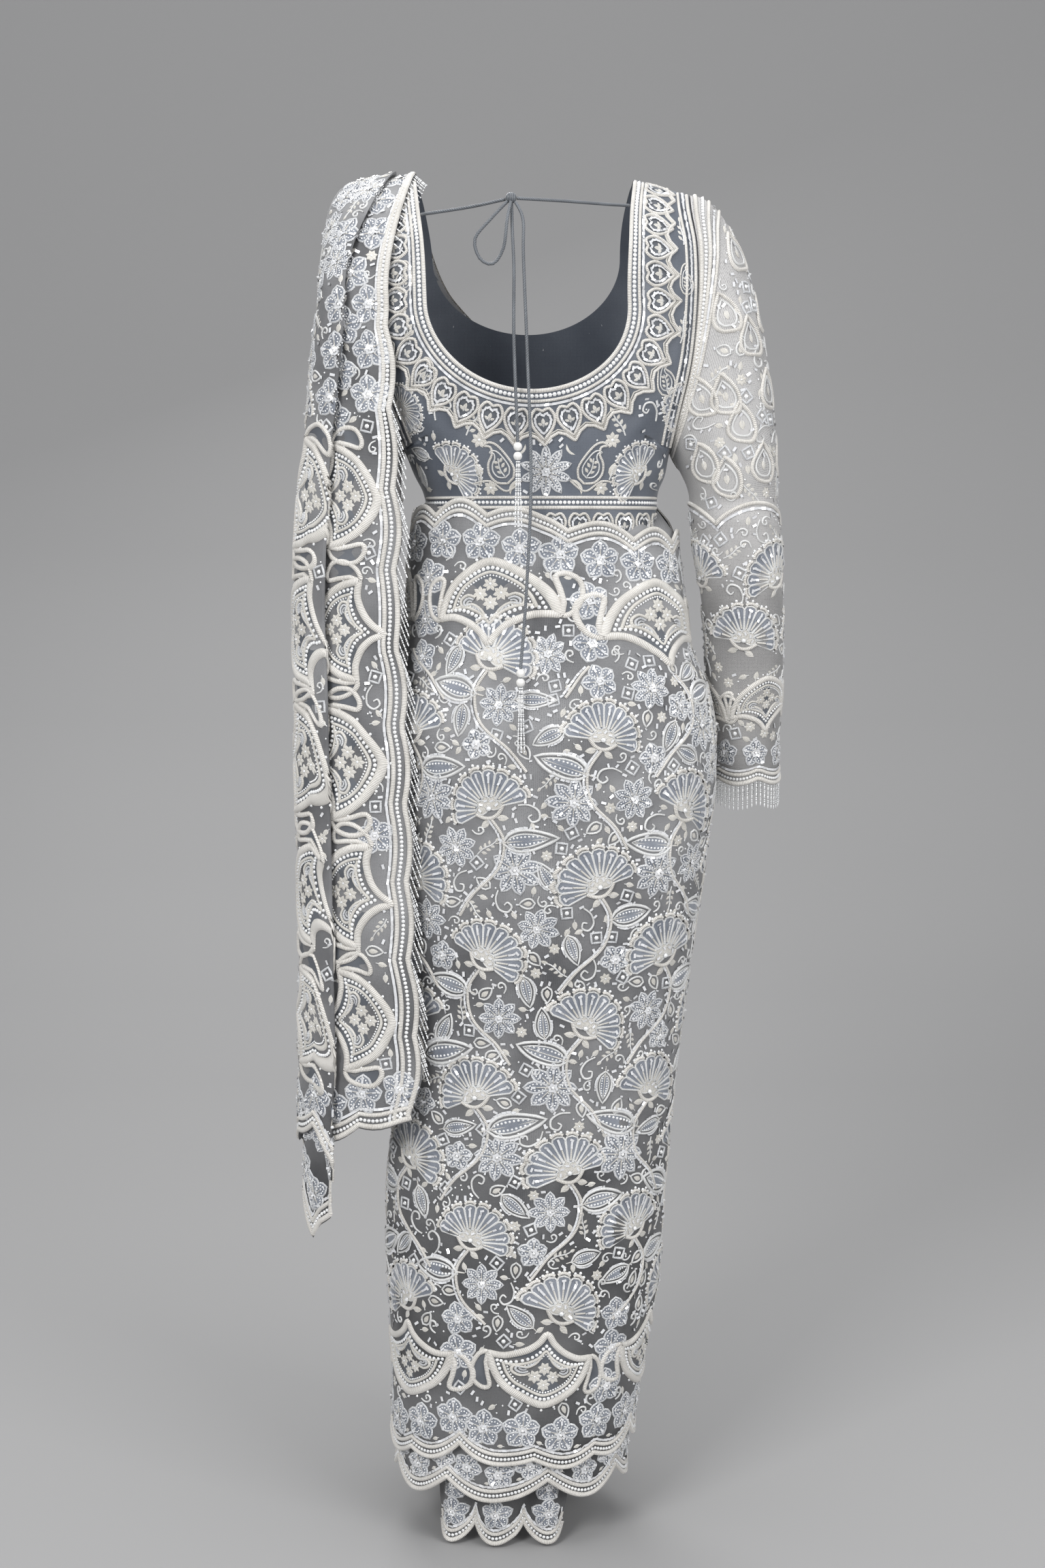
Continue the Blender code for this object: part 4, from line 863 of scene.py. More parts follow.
class Workroom:
    """Makes objects, dresses them and tells the frame about them."""

    def __init__(self, materials: Materials) -> None:
        """Keep the materials at hand."""
        self.materials = materials

    def keep(self, name: str, mesh: bpy.types.Mesh, finish: Finish, smooth: bool = True) -> bpy.types.Object:
        """Object of a finished mesh, riding on the garment.

        Args:
            name: name of the piece.
            mesh: its mesh, placed in the frame.
            finish: its finish.
            smooth: whether its faces are shaded smooth.

        Returns:
            The new object.
        """
        mesh.name = name
        mesh.materials.append(self.materials.get(finish))
        mesh.polygons.foreach_set("use_smooth", np.full(len(mesh.polygons), smooth))
        piece = bpy.data.objects.new(name, mesh)
        bpy.context.scene.collection.objects.link(piece)
        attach(piece, "root")
        LOG.info("%s: %d faces", name, len(mesh.polygons))
        return piece

    def cloth(self, name: str, points: Array, us: Array, vs: Array, finish: Finish,
              outward: float = 1.0, merge: bool = False) -> bpy.types.Object:
        """Thin shell through a grid of points, with the chart's coordinates as its own map.

        Args:
            name: name of the piece.
            points: rows x columns x 3.
            us: coordinate of each column, or of each point.
            vs: coordinate of each row, or of each point.
            finish: its finish.
            outward: -1 where the grid's faces look inwards.
            merge: whether points that meet are joined.

        Returns:
            The new object.
        """
        if us.ndim == 1:
            us, vs = np.meshgrid(us, vs)
        sheet = bmesh.new()
        self.grid_into(sheet, sheet.loops.layers.uv.new(UV_NAME), points, us, vs, outward)
        if merge:
            bmesh.ops.remove_doubles(sheet, verts=sheet.verts, dist=1e-5)
        mesh = bpy.data.meshes.new(name)
        sheet.to_mesh(mesh)
        sheet.free()
        return self.keep(name, mesh, finish)

    @staticmethod
    def grid_into(sheet: bmesh.types.BMesh, layer: bmesh.types.BMLayerItem, points: Array, us: Array,
                  vs: Array, outward: float) -> None:
        """Add a grid of points to a mesh.

        Args:
            sheet: the mesh.
            layer: its map.
            points: rows x columns x 3.
            us: the map's first coordinate at each point.
            vs: its second coordinate.
            outward: -1 where the grid's faces look inwards.
        """
        rows, columns = points.shape[:2]
        before = len(sheet.verts)
        made = bmesh.ops.create_grid(sheet, x_segments=columns - 1, y_segments=rows - 1, size=1.0)["verts"]
        sheet.verts.index_update()
        for vert in made:
            row, column = divmod(vert.index - before, columns)
            vert.co = points[row, column]
        faces = {face for vert in made for face in vert.link_faces}
        for face in faces:
            for loop in face.loops:
                row, column = divmod(loop.vert.index - before, columns)
                loop[layer].uv = (us[row, column], vs[row, column])
        if outward < 0.0:
            bmesh.ops.reverse_faces(sheet, faces=sorted(faces, key=lambda face: face.index))


def joined(bits: Sequence[Bit]) -> Bit:
    """One mesh of many small ones: points, triangles and map."""
    verts, faces, marks = zip(*bits)
    starts = np.cumsum([0] + [len(one) for one in verts])
    faces = [one + start for one, start in zip(faces, starts)]
    return np.concatenate(verts), np.concatenate(faces), np.concatenate(marks)


class Stitchwork:
    """Collects small stitched and beaded things and joins them into one mesh for each finish."""

    most = 190_000

    def __init__(self) -> None:
        """Start empty."""
        self.bits: dict[Finish, list[Bit]] = {}

    def add(self, finish: Finish, verts: Array, faces: Array, marks: Array) -> None:
        """Add a small mesh.

        Args:
            finish: its finish.
            verts: its points.
            faces: its triangles; those with a missing point are left out.
            marks: its own map, in metres.
        """
        whole = np.isfinite(verts).all(axis=1)
        faces = faces[whole[faces].all(axis=1)]
        if len(faces):
            used = np.unique(faces)
            renumber = np.zeros(len(verts), dtype=np.int64)
            renumber[used] = np.arange(len(used))
            self.bits.setdefault(finish, []).append((verts[used], renumber[faces], marks[used]))

    def build(self, workroom: Workroom, name: str) -> list[bpy.types.Object]:
        """Make the joined pieces, whose names start with one name."""
        made = []
        for finish, bits in self.bits.items():
            groups: list[list[Bit]] = [[]]
            count = 0
            for bit in bits:
                if count + len(bit[1]) > self.most:
                    groups.append([])
                    count = 0
                groups[-1].append(bit)
                count += len(bit[1])
            for number, group in enumerate(groups):
                label = f"{name}_{finish.value.replace(' ', '_')}" + (f"_{number + 1}" if number else "")
                made.append(workroom.keep(label, self._mesh(label, group), finish))
        return made

    def build_for(self, packed: str, workroom: Workroom, name: str) -> bpy.types.Object:
        """Make the one piece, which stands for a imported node."""
        piece = self.build(workroom, name)[0]
        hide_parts(packed)
        return piece

    @staticmethod
    def _mesh(name: str, bits: list[Bit]) -> bpy.types.Mesh:
        """One mesh of many small ones."""
        verts, faces, marks = joined(bits)
        mesh = bpy.data.meshes.new(name)
        mesh.vertices.add(len(verts))
        mesh.vertices.foreach_set("co", verts.astype(np.float32).ravel())
        mesh.loops.add(faces.size)
        mesh.loops.foreach_set("vertex_index", faces.astype(np.int32).ravel())
        mesh.polygons.add(len(faces))
        mesh.polygons.foreach_set("loop_start", np.arange(0, faces.size, 3, dtype=np.int32))
        mesh.update(calc_edges=True)
        layer = mesh.uv_layers.new(name=UV_NAME)
        layer.data.foreach_set("uv", marks[faces.ravel()].astype(np.float32).ravel())
        mesh.validate()
        return mesh


def tube(path: Array, radius: float, sides: int) -> Bit:
    """Round cord along a path, closed at both ends.

    Args:
        path: points of its centre line.
        radius: its radius.
        sides: faces round it.

    Returns:
        Points, triangles and map.
    """
    along = unit(np.gradient(path, axis=0))
    side = np.cross(along[0], np.array([0.0, 0.0, 1.0]))
    if np.linalg.norm(side) < 0.1:
        side = np.cross(along[0], np.array([0.0, 1.0, 0.0]))
    side = unit(side)
    lengths = walked(path)
    angles = np.linspace(0.0, 2.0 * math.pi, sides + 1)
    verts, marks = [], []
    for point, direction, length in zip(path, along, lengths):
        side = unit(side - direction * np.dot(side, direction))
        up = np.cross(side, direction)
        verts.append(point + radius * (np.cos(angles)[:, None] * side + np.sin(angles)[:, None] * up))
        marks.append(np.stack([length + radius * angles, np.full(sides + 1, 0.0)], axis=1))
    verts = np.concatenate(verts + [path[:1], path[-1:]])
    marks = np.concatenate(marks + [np.zeros((2, 2))])
    ring = sides + 1
    faces = []
    for i in range(len(path) - 1):
        for j in range(sides):
            a, b = i * ring + j, (i + 1) * ring + j
            faces += [(a, b, a + 1), (a + 1, b, b + 1)]
    last = (len(path) - 1) * ring
    for j in range(sides):
        faces += [(len(verts) - 2, j, j + 1), (len(verts) - 1, last + j + 1, last + j)]
    return verts, np.array(faces), marks


def ball(centre: Array, radius: float, along: Array, stretch: float, sides: int = 8,
         rings: int = 4) -> Bit:
    """Bead as a stretched ball.

    Args:
        centre: its centre.
        radius: its radius.
        along: direction of its hole.
        stretch: its half length over its radius.
        sides: faces round it.
        rings: faces along it.

    Returns:
        Points, triangles and map.
    """
    along = unit(np.asarray(along, float))
    side = unit(np.cross(along, [0.31, 0.87, 0.38]))
    up = np.cross(along, side)
    verts = [centre - along * radius * stretch]
    for ring in range(1, rings):
        lean = math.pi * ring / rings
        for step in range(sides):
            angle = 2.0 * math.pi * step / sides
            verts.append(centre - along * radius * stretch * math.cos(lean)
                         + radius * math.sin(lean) * (side * math.cos(angle) + up * math.sin(angle)))
    verts.append(centre + along * radius * stretch)
    faces = []
    for step in range(sides):
        after = (step + 1) % sides
        faces.append((0, 1 + step, 1 + after))
        for ring in range(rings - 2):
            a, b = 1 + ring * sides, 1 + (ring + 1) * sides
            faces += [(a + step, b + step, a + after), (a + after, b + step, b + after)]
        top = 1 + (rings - 2) * sides
        faces.append((top + after, top + step, len(verts) - 1))
    verts, faces = np.array(verts), np.array(faces)
    middle = verts[faces].mean(axis=1) - centre
    normal = np.cross(verts[faces[:, 1]] - verts[faces[:, 0]], verts[faces[:, 2]] - verts[faces[:, 0]])
    turned = (middle * normal).sum(axis=1) < 0
    faces[turned] = faces[turned][:, ::-1]
    return verts, faces, verts[:, :2] * 1.0


# Stitched figures

def blade(length: float, width: float, points: int = 6, lean: float = 0.85) -> Array:
    """Outline of a petal or leaf that points up from the origin.

    Args:
        length: its length.
        width: its greatest width.
        points: points up each side.
        lean: below 1 the widest place is low, above 1 it is high.

    Returns:
        Points counter-clockwise from its foot.
    """
    share = np.linspace(0.0, 1.0, points + 1)
    half = width / 2.0 * np.sin(math.pi * share ** lean) ** 0.8
    return whole(np.stack([half, share * length], axis=1))


def arc(radius: float, first: float, last: float, points: int, squash: float = 1.0) -> Array:
    """Points of an arc about the origin; angles in degrees from the x axis."""
    angle = np.radians(np.linspace(first, last, points))
    return np.stack([radius * np.cos(angle), radius * squash * np.sin(angle)], axis=1)


def bend(points: Rows, steps: int = 3, pitch: float = 0.0) -> Array:
    """Smooth curve through a few points, with so many steps between two of them or steps of one pitch."""
    points = np.array(points, float)
    fine = []
    for i in range(len(points) - 1):
        before, after = points[max(i - 1, 0)], points[min(i + 2, len(points) - 1)]
        start, end = points[i], points[i + 1]
        count = max(1, round(float(np.linalg.norm(end - start)) / pitch)) if pitch else steps
        fine += [hermite(start, (end - before) / 2.0, end, (after - start) / 2.0, step / count)
                 for step in range(count)]
    return np.array(fine + [points[-1]])


def both_sides(half: Rows) -> Rows:
    """Places of a symmetrical line, left end first, from its right half, which starts on the axis."""
    return [(-x, y) for x, y in half[:0:-1]] + list(half)


def whole(right: Array) -> Array:
    """Closed outline from its right half, whose two ends lie on the axis."""
    return np.concatenate([right, right[-2:0:-1] * [-1.0, 1.0]])


class Motif:
    """Small embroidered figure in flat coordinates: raised cords, satin fills, beads and sequins."""

    def __init__(self) -> None:
        """Start empty."""
        self.bits: dict[Finish, list[Bit]] = {}
        self.dots_made: list[tuple[float, float, float, float, Finish]] = []

    def _put(self, finish: Finish, verts: Array, faces: Array, marks: Array) -> None:
        """Keep one small mesh."""
        self.bits.setdefault(finish, []).append((verts, faces, marks))

    def cord(self, finish: Finish, path: Array, width: float, height: float, closed: bool = False,
             taper: float = 0.0) -> "Motif":
        """Raised cord along a flat path.

        Args:
            finish: its finish.
            path: points of its middle.
            width: its width.
            height: its height.
            closed: whether it is a ring.
            taper: how much thinner its ends are, 0 to 1.

        Returns:
            The motif itself.
        """
        path = np.asarray(path, float)
        if closed:
            wide = np.concatenate([path[-1:], path, path[:2]])
            path = wide[1:-1]
            along = unit(wide[2:] - wide[:-2])
        else:
            along = unit(np.gradient(path, axis=0))
        side = np.stack([-along[:, 1], along[:, 0]], axis=1)
        offsets, heights = cord_profile(width)
        share = np.linspace(-1.0, 1.0, len(path))
        widths = width * (1.0 - taper * share ** 2)
        flat = path[:, None] - side[:, None] * offsets[None, :, None] * widths[:, None, None]
        rise = STITCH_LIFT + height * heights[None] * (widths / width)[:, None]
        lengths = walked(path)
        marks = np.stack(np.broadcast_arrays(lengths[:, None], offsets[None] * width), axis=-1)
        verts = np.concatenate([flat, rise[..., None]], axis=-1)
        self._put(finish, verts.reshape(-1, 3), strip_faces(len(path), len(offsets)), marks.reshape(-1, 2))
        return self

    def fill(self, finish: Finish, outline: Array, rise: float, grain: float = 0.0) -> "Motif":
        """Domed satin fill inside an outline.

        Args:
            finish: its finish.
            outline: points counter-clockwise.
            rise: height of its middle.
            grain: direction across its stitches, in degrees.

        Returns:
            The motif itself.
        """
        outline = np.asarray(outline, float)
        middle = outline.mean(axis=0)
        verts = np.concatenate([outline, middle[None]])
        turn = math.radians(grain)
        marks = np.stack([verts[:, 0] * math.cos(turn) + verts[:, 1] * math.sin(turn),
                          verts[:, 1] * math.cos(turn) - verts[:, 0] * math.sin(turn)], axis=1)
        heights = np.full(len(verts), STITCH_LIFT)
        heights[-1] += rise
        count = len(outline)
        faces = np.array([(i, (i + 1) % count, count) for i in range(count)])
        self._put(finish, np.concatenate([verts, heights[:, None]], axis=1), faces, marks)
        return self

    def dot(self, finish: Finish, x: float, y: float, radius: float, lift: float = 0.0) -> "Motif":
        """One bead or sequin."""
        return self.dots(finish, [(x, y)], radius, lift)

    def dots(self, finish: Finish, places: Rows, radius: float, lift: float = 0.0) -> "Motif":
        """Beads or sequins at a few places."""
        self.dots_made += [(float(x), float(y), lift, radius, finish) for x, y in places]
        return self

    def dots_along(self, finish: Finish, path: Array, pitch: float, radius: float,
                   lift: float = 0.0) -> "Motif":
        """Beads or sequins at an even pitch along a path."""
        path = np.asarray(path, float)
        lengths = walked(path)
        count = max(int(round(lengths[-1] / pitch)), 1)
        at = (np.arange(count) + 0.5) * lengths[-1] / count
        return self.dots(finish, np.stack([np.interp(at, lengths, axis) for axis in path.T], axis=1),
                         radius, lift)

    def put(self, other: "Motif", x: float = 0.0, y: float = 0.0, turn: float = 0.0,
            size: float = 1.0, mirror: bool = False) -> "Motif":
        """Add another figure at a place, turned by degrees, scaled and perhaps mirrored."""
        matrix, flip = turning(turn), -1.0 if mirror else 1.0
        for finish, bits in other.bits.items():
            for verts, faces, marks in bits:
                moved = verts * [flip, 1.0, 1.0]
                moved = np.concatenate([(moved[:, :2] * size) @ matrix + [x, y], moved[:, 2:] * size], axis=1)
                self._put(finish, moved, faces[:, ::-1] if mirror else faces, marks * size)
        for dx, dy, lift, radius, finish in other.dots_made:
            self.dots(finish, [(np.array([dx * flip, dy]) * size) @ matrix + [x, y]], radius * size, lift)
        return self

    def pair(self, other: "Motif", x: float, y: float, turn: float, size: float = 1.0) -> "Motif":
        """Add a figure on the left and on the right, turned outwards by degrees."""
        for side in (-1.0, 1.0):
            self.put(other, side * x, y, -side * turn, size)
        return self

    def ring(self, other: "Motif", count: int) -> "Motif":
        """Add a figure all round the origin."""
        for step in range(count):
            self.put(other, turn=step * 360.0 / count)
        return self

    def join(self) -> None:
        """Join the small meshes of each finish, so that stamping is quick."""
        self.bits = {finish: [joined(bits)] for finish, bits in self.bits.items()}


def cord_profile(width: float) -> tuple[Array, Array]:
    """Offsets and heights across a cord, for its width."""
    if width < 0.0026:
        return np.array([-0.5, 0.0, 0.5]), np.array([0.0, 1.0, 0.0])
    if width < 0.0055:
        return np.array([-0.5, -0.24, 0.24, 0.5]), np.array([0.0, 0.95, 0.95, 0.0])
    return np.array([-0.5, -0.38, 0.0, 0.38, 0.5]), np.array([0.0, 0.72, 1.0, 0.72, 0.0])


def strip_faces(rows: int, columns: int) -> Array:
    """Triangles of a strip of rows of points, facing the side from which its columns run left to right."""
    a = (np.arange(rows - 1)[:, None] * columns + np.arange(columns - 1)[None]).ravel()
    return np.concatenate([np.stack([a, a + 1, a + columns], axis=1),
                           np.stack([a + 1, a + columns + 1, a + columns], axis=1)])


class Embroidery(Stitchwork):
    """Stitchwork laid on charts: stamped figures, runs of cord and rows of beads."""

    least_wide = 0.15
    least_tall = 0.35
    probe = 0.006
    small_bead = 0.0016
    bead_height = 1.35
    sequin = (1.2, 0.62)
    row_gap = 3.2

    def __init__(self, seed: int) -> None:
        """Start empty, with a fixed seed for the tilt of the sequins."""
        super().__init__()
        self.random = np.random.default_rng(seed)
        self.loose: dict[Finish, list[Bit]] = {}

    def stamp(self, chart: Chart, motif: Motif, u: float, v: float, turn: float = 0.0, size: float = 1.0,
              mirror: bool = False) -> None:
        """Lay a figure on a chart, upright towards rising v where turn is 0.

        Args:
            chart: the cloth.
            motif: the figure.
            u: place across.
            v: place up.
            turn: degrees counter-clockwise as seen from outside.
            size: scale.
            mirror: whether it is mirrored.
        """
        wide, tall, lean = chart.measure(u, v)
        if wide < self.least_wide or tall < self.least_tall:
            return
        matrix, flip = turning(turn) * size, -1.0 if mirror else 1.0

        def laid(flat: Array, lift: Array) -> tuple[Array, Array]:
            flat = (flat * [flip, 1.0]) @ matrix
            across = chart.outward * flat[:, 0] / wide
            return chart.at(u + across, v + (flat[:, 1] - across * lean) / tall, lift)

        for finish, bits in motif.bits.items():
            for verts, faces, marks in bits:
                points, _ = laid(verts[:, :2], verts[:, 2] * size)
                self.add(finish, points, faces[:, ::-1] if mirror else faces, marks * size)
        if motif.dots_made:
            dots = np.array([dot[:4] for dot in motif.dots_made])
            points, normals = laid(dots[:, :2], dots[:, 2])
            finishes = [dot[4] for dot in motif.dots_made]
            for finish in sorted(set(finishes), key=lambda f: f.value):
                chosen = np.array([f is finish for f in finishes])
                self.scatter(finish, points[chosen], normals[chosen], dots[chosen, 3] * size)

    def scatter(self, finish: Finish, points: Array, normals: Array, radii: Array) -> None:
        """Loose beads or sequins at places."""
        whole = np.isfinite(points).all(axis=1)
        if whole.any():
            self.loose.setdefault(finish, []).append((points[whole], normals[whole], radii[whole]))

    def cord(self, chart: Chart, us: Array, vs: Array, finish: Finish, width: float, height: float,
             lift: float = 0.0) -> None:
        """Raised cord along a path of a chart, with its true width everywhere."""
        points, normals = chart.at(us, vs, STITCH_LIFT + lift)
        whole = np.isfinite(points).all(axis=1)
        along = unit(np.gradient(np.where(whole[:, None], points, 0.0), axis=0))
        edges = np.convolve(whole.astype(float), np.ones(3), "same") < 2.5
        edges[0] = edges[-1] = False
        points[edges] = np.nan
        side = unit(np.cross(normals, along))
        offsets, heights = cord_profile(width)
        verts = (points[:, None] - side[:, None] * offsets[None, :, None] * width
                 + normals[:, None] * (heights * height)[None, :, None])
        lengths = walked(points)
        marks = np.stack(np.broadcast_arrays(lengths[:, None], offsets[None] * width), axis=-1)
        self.add(finish, verts.reshape(-1, 3), strip_faces(len(points), len(offsets)), marks.reshape(-1, 2))

    def row(self, chart: Chart, us: Array, vs: Array, finish: Finish, pitch: float, radius: float,
            lift: float = 0.0) -> None:
        """Beads or sequins at an even pitch along a path of a chart."""
        us, vs = np.broadcast_arrays(us, vs)
        lengths = walked(chart.at(us, vs, lift)[0])
        count = int(lengths[-1] / pitch)
        if count < 1:
            return
        at = (np.arange(count) + 0.5) * lengths[-1] / count
        points, normals = chart.at(np.interp(at, lengths, us), np.interp(at, lengths, vs), lift)
        self.scatter(finish, points, normals, np.full(count, radius))

    def along(self, chart: Chart, us: Array, vs: Array, motif: Motif, pitch: float, turn: float = 0.0,
              size: float = 1.0, start: float = 0.5, follow: bool = True) -> None:
        """Figures at an even pitch along a path, turned with it if follow is set.

        Args:
            chart: the cloth.
            us: the path's first coordinates.
            vs: its second coordinates.
            motif: the figure.
            pitch: distance between figures.
            turn: extra turn in degrees.
            size: scale.
            start: where the first stands, in pitches.
            follow: whether the figures turn with the path.
        """
        us, vs = np.broadcast_arrays(us, vs)
        lengths = walked(chart.at(us, vs)[0])
        count = max(int(round(lengths[-1] / pitch)), 1)
        for at in (np.arange(count) + start) * lengths[-1] / count:
            u, v = np.interp(at, lengths, us), np.interp(at, lengths, vs)
            lean = 0.0
            if follow:
                before, after = max(at - self.probe, 0.0), min(at + self.probe, lengths[-1])
                wide, tall = chart.scale(u, v)
                du = (np.interp(after, lengths, us) - np.interp(before, lengths, us)) * wide
                dv = (np.interp(after, lengths, vs) - np.interp(before, lengths, vs)) * tall
                lean = math.degrees(math.atan2(dv, du * chart.outward))
                if chart.outward < 0:
                    lean -= 180.0
            self.stamp(chart, motif, u, v, lean + turn, size)

    def build(self, workroom: Workroom, name: str) -> list[bpy.types.Object]:
        """Turn the loose beads and sequins into meshes, then join everything."""
        for finish, groups in self.loose.items():
            points, normals, radii = (np.concatenate([group[i] for group in groups]) for i in range(3))
            if finish is Finish.SEQUIN:
                self.add(finish, *self._sequins(points, normals, radii))
            else:
                for chosen, sides in ((radii < self.small_bead, 4), (radii >= self.small_bead, 6)):
                    if chosen.any():
                        self.add(finish, *self._beads(points[chosen], normals[chosen], radii[chosen], sides))
        self.loose = {}
        return super().build(workroom, name)

    def _sequins(self, points: Array, normals: Array, radii: Array) -> Bit:
        """Flat bars, each a little tilted and along its row where the next one is near."""
        ahead = np.roll(points, -1, axis=0) - points
        near = np.linalg.norm(ahead, axis=1) < self.row_gap * radii
        tilted = unit(normals + self.random.normal(0.0, 0.20, normals.shape))
        side = np.where(near[:, None], ahead, self.random.normal(0.0, 1.0, normals.shape))
        side = unit(side - tilted * (side * tilted).sum(axis=1)[:, None])
        up = np.cross(tilted, side)
        corners = np.array([(-1.0, -1.0), (1.0, -1.0), (1.0, 1.0), (-1.0, 1.0)]) * self.sequin
        middles = points + normals * (SEQUIN_LIFT + 0.18 * radii[:, None])
        verts = middles[:, None] + radii[:, None, None] * (corners[None, :, :1] * side[:, None]
                                                           + corners[None, :, 1:] * up[:, None])
        faces = np.arange(len(verts))[:, None, None] * 4 + np.array(((0, 1, 2), (0, 2, 3)))[None]
        flat = verts.reshape(-1, 3)
        return flat, faces.reshape(-1, 3), flat[:, [0, 2]]

    def _beads(self, points: Array, normals: Array, radii: Array, sides: int) -> Bit:
        """Round beads as low domes of a few sides."""
        tilted = unit(normals + self.random.normal(0.0, 0.05, normals.shape))
        side = unit(np.cross(tilted, self.random.normal(0.0, 1.0, normals.shape)))
        up = np.cross(tilted, side)
        angle = np.linspace(0.0, 2.0 * math.pi, sides + 1)[:-1]
        rim = (np.cos(angle)[None, :, None] * side[:, None] + np.sin(angle)[None, :, None] * up[:, None])
        feet = points + normals * STITCH_LIFT
        verts = np.concatenate([feet[:, None] + rim * radii[:, None, None],
                                (feet + tilted * self.bead_height * radii[:, None])[:, None]], axis=1)
        fan = np.array([(i, (i + 1) % sides, sides) for i in range(sides)])
        faces = np.arange(len(verts))[:, None, None] * (sides + 1) + fan[None]
        flat = verts.reshape(-1, 3)
        return flat, faces.reshape(-1, 3), flat[:, [0, 2]]


class Figures:
    """The garment's embroidered figures, each made once."""

    def __init__(self) -> None:
        """Make them all."""
        self.bud = self._bud(0.011, 0.0062)
        self.daisy = self._daisy()
        self.star = self._flower(8, 0.027, 0.0125, 0.0010)
        self.rosette = self._flower(5, 0.0215, 0.0170, 0.0012)
        self.small_rosette = self._flower(5, 0.0165, 0.0130, 0.0010)
        self.crown = self._flower(10, 0.0300, 0.0090, 0.0011)
        self.fan = self._fan()
        self.leaf = self._leaf(0.050, 0.023)
        self.diamond = self._diamond()
        self.drop = self._drop()
        self.comma = self._comma()
        self.sprig = self._sprig()
        self.curl = self._curl()
        self.crescent = self._crescent()
        self.heart = self._heart_drop()
        self.paisley = self._paisley()
        self.teardrop = self._teardrop()
        self.bell = self._bell()
        for motif in vars(self).values():
            motif.join()

    @staticmethod
    def _bud(length: float, width: float) -> Motif:
        """Small solid cream leaf with a thin vein."""
        motif = Motif().fill(Finish.CREAM, blade(length, width, 4), 0.0011, 45.0)
        return motif.cord(Finish.THREAD, np.array([(0.0, -0.002), (0.0, length * 0.7)]), 0.0010, 0.0012)

    @staticmethod
    def _daisy() -> Motif:
        """Small round cream flower."""
        petal = Motif().fill(Finish.CREAM, blade(0.0068, 0.0038, 3, 1.2), 0.0012, 0.0)
        return Motif().ring(petal, 7).dot(Finish.BEAD, 0.0, 0.0, 0.0013, 0.0004)

    @staticmethod
    def _flower(petals: int, radius: float, width: float, rise: float) -> Motif:
        """Grey-blue flower: each petal outlined in silver and beaded, with a bright middle.

        Args:
            petals: how many.
            radius: of the whole flower.
            width: of each petal.
            rise: of each petal's middle.

        Returns:
            The flower.
        """
        foot = radius * 0.14
        outline = blade(radius - foot, width, 5, 1.15) + [0.0, foot]
        inner = blade((radius - foot) * 0.72, width * 0.60, 4, 1.15) + [0.0, foot * 1.6]
        petal = Motif().fill(Finish.PETAL, outline, rise, 0.0)
        petal.cord(Finish.SILVER, outline, 0.0025, 0.0015, closed=True)
        petal.dots_along(Finish.BEAD, np.concatenate([inner[1:], inner[:1]]), 0.0034, 0.0012, 0.0006)
        petal.cord(Finish.CREAM, np.array([(0.0, foot), (0.0, radius * 0.58)]), 0.0016, 0.0019)
        petal.dot(Finish.SEQUIN, 0.0, radius * 0.66, 0.0020, 0.0010)
        petal.dot(Finish.SEQUIN, 0.0, radius * 0.86, 0.0018, 0.0008)
        motif = Motif().ring(petal, petals).dots(Finish.SEQUIN, arc(0.0036, 0.0, 300.0, 6), 0.0021, 0.0014)
        return motif.dot(Finish.BEAD, 0.0, 0.0, 0.0020, 0.0018)

    def _fan(self) -> Motif:
        """Fan flower: grey-blue wedges with tapered cream fingers over a scalloped cream base."""
        motif = Motif()
        wedges, reach, inner, spread = 9, 0.041, 0.0125, 21.0
        for step in range(wedges):
            turn = (step - (wedges - 1) / 2.0) * spread
            long = reach * (1.0 - 0.05 * abs(step - 4) / 4.0)
            wedge = Motif()
            outline = np.array(both_sides([(0.0, long), (0.0050, long * 0.965), (0.0068, long * 0.86),
                                           (0.0018, inner)]))[::-1]
            wedge.fill(Finish.PETAL, outline, 0.0009, 0.0)
            wedge.cord(Finish.THREAD, outline, 0.0021, 0.0015)
            wedge.cord(Finish.CREAM, np.array([(0.0, inner + 0.002), (0.0, long * 0.66)]), 0.0040, 0.0022,
                       taper=0.45)
            wedge.dots_along(Finish.SEQUIN, np.array([(0.0, long * 0.68), (0.0, long * 0.93)]), 0.0038,
                             0.0019, 0.0008)
            rim = arc(0.0060, 15.0, 165.0, 5, 0.62) + [0.0, long - 0.0006]
            wedge.cord(Finish.CORD, rim, 0.0034, 0.0020)
            wedge.dots(Finish.BEAD, both_sides([(0.0, long + 0.0062), (0.0050, long + 0.0036)]), 0.0017)
            motif.put(wedge, turn=turn)
        lobe = Motif().fill(Finish.CREAM, blade(0.0150, 0.0096, 4, 1.2), 0.0016, 90.0)
        lobe.cord(Finish.THREAD, blade(0.0150, 0.0096, 4, 1.2), 0.0015, 0.0013, closed=True)
        lobe.dot(Finish.SEQUIN, 0.0, 0.0095, 0.0017, 0.0014)
        for step in range(-2, 3):
            motif.put(lobe, turn=step * 38.0)
        foot = bend(both_sides([(0.0, -0.0090), (0.008, -0.0065), (0.0150, 0.0)]))
        motif.cord(Finish.CORD, foot, 0.0040, 0.0021).dot(Finish.BEAD, 0.0, 0.001, 0.0026, 0.0012)
        return motif.pair(self.bud, 0.004, -0.0105, 112.0, 1.1)

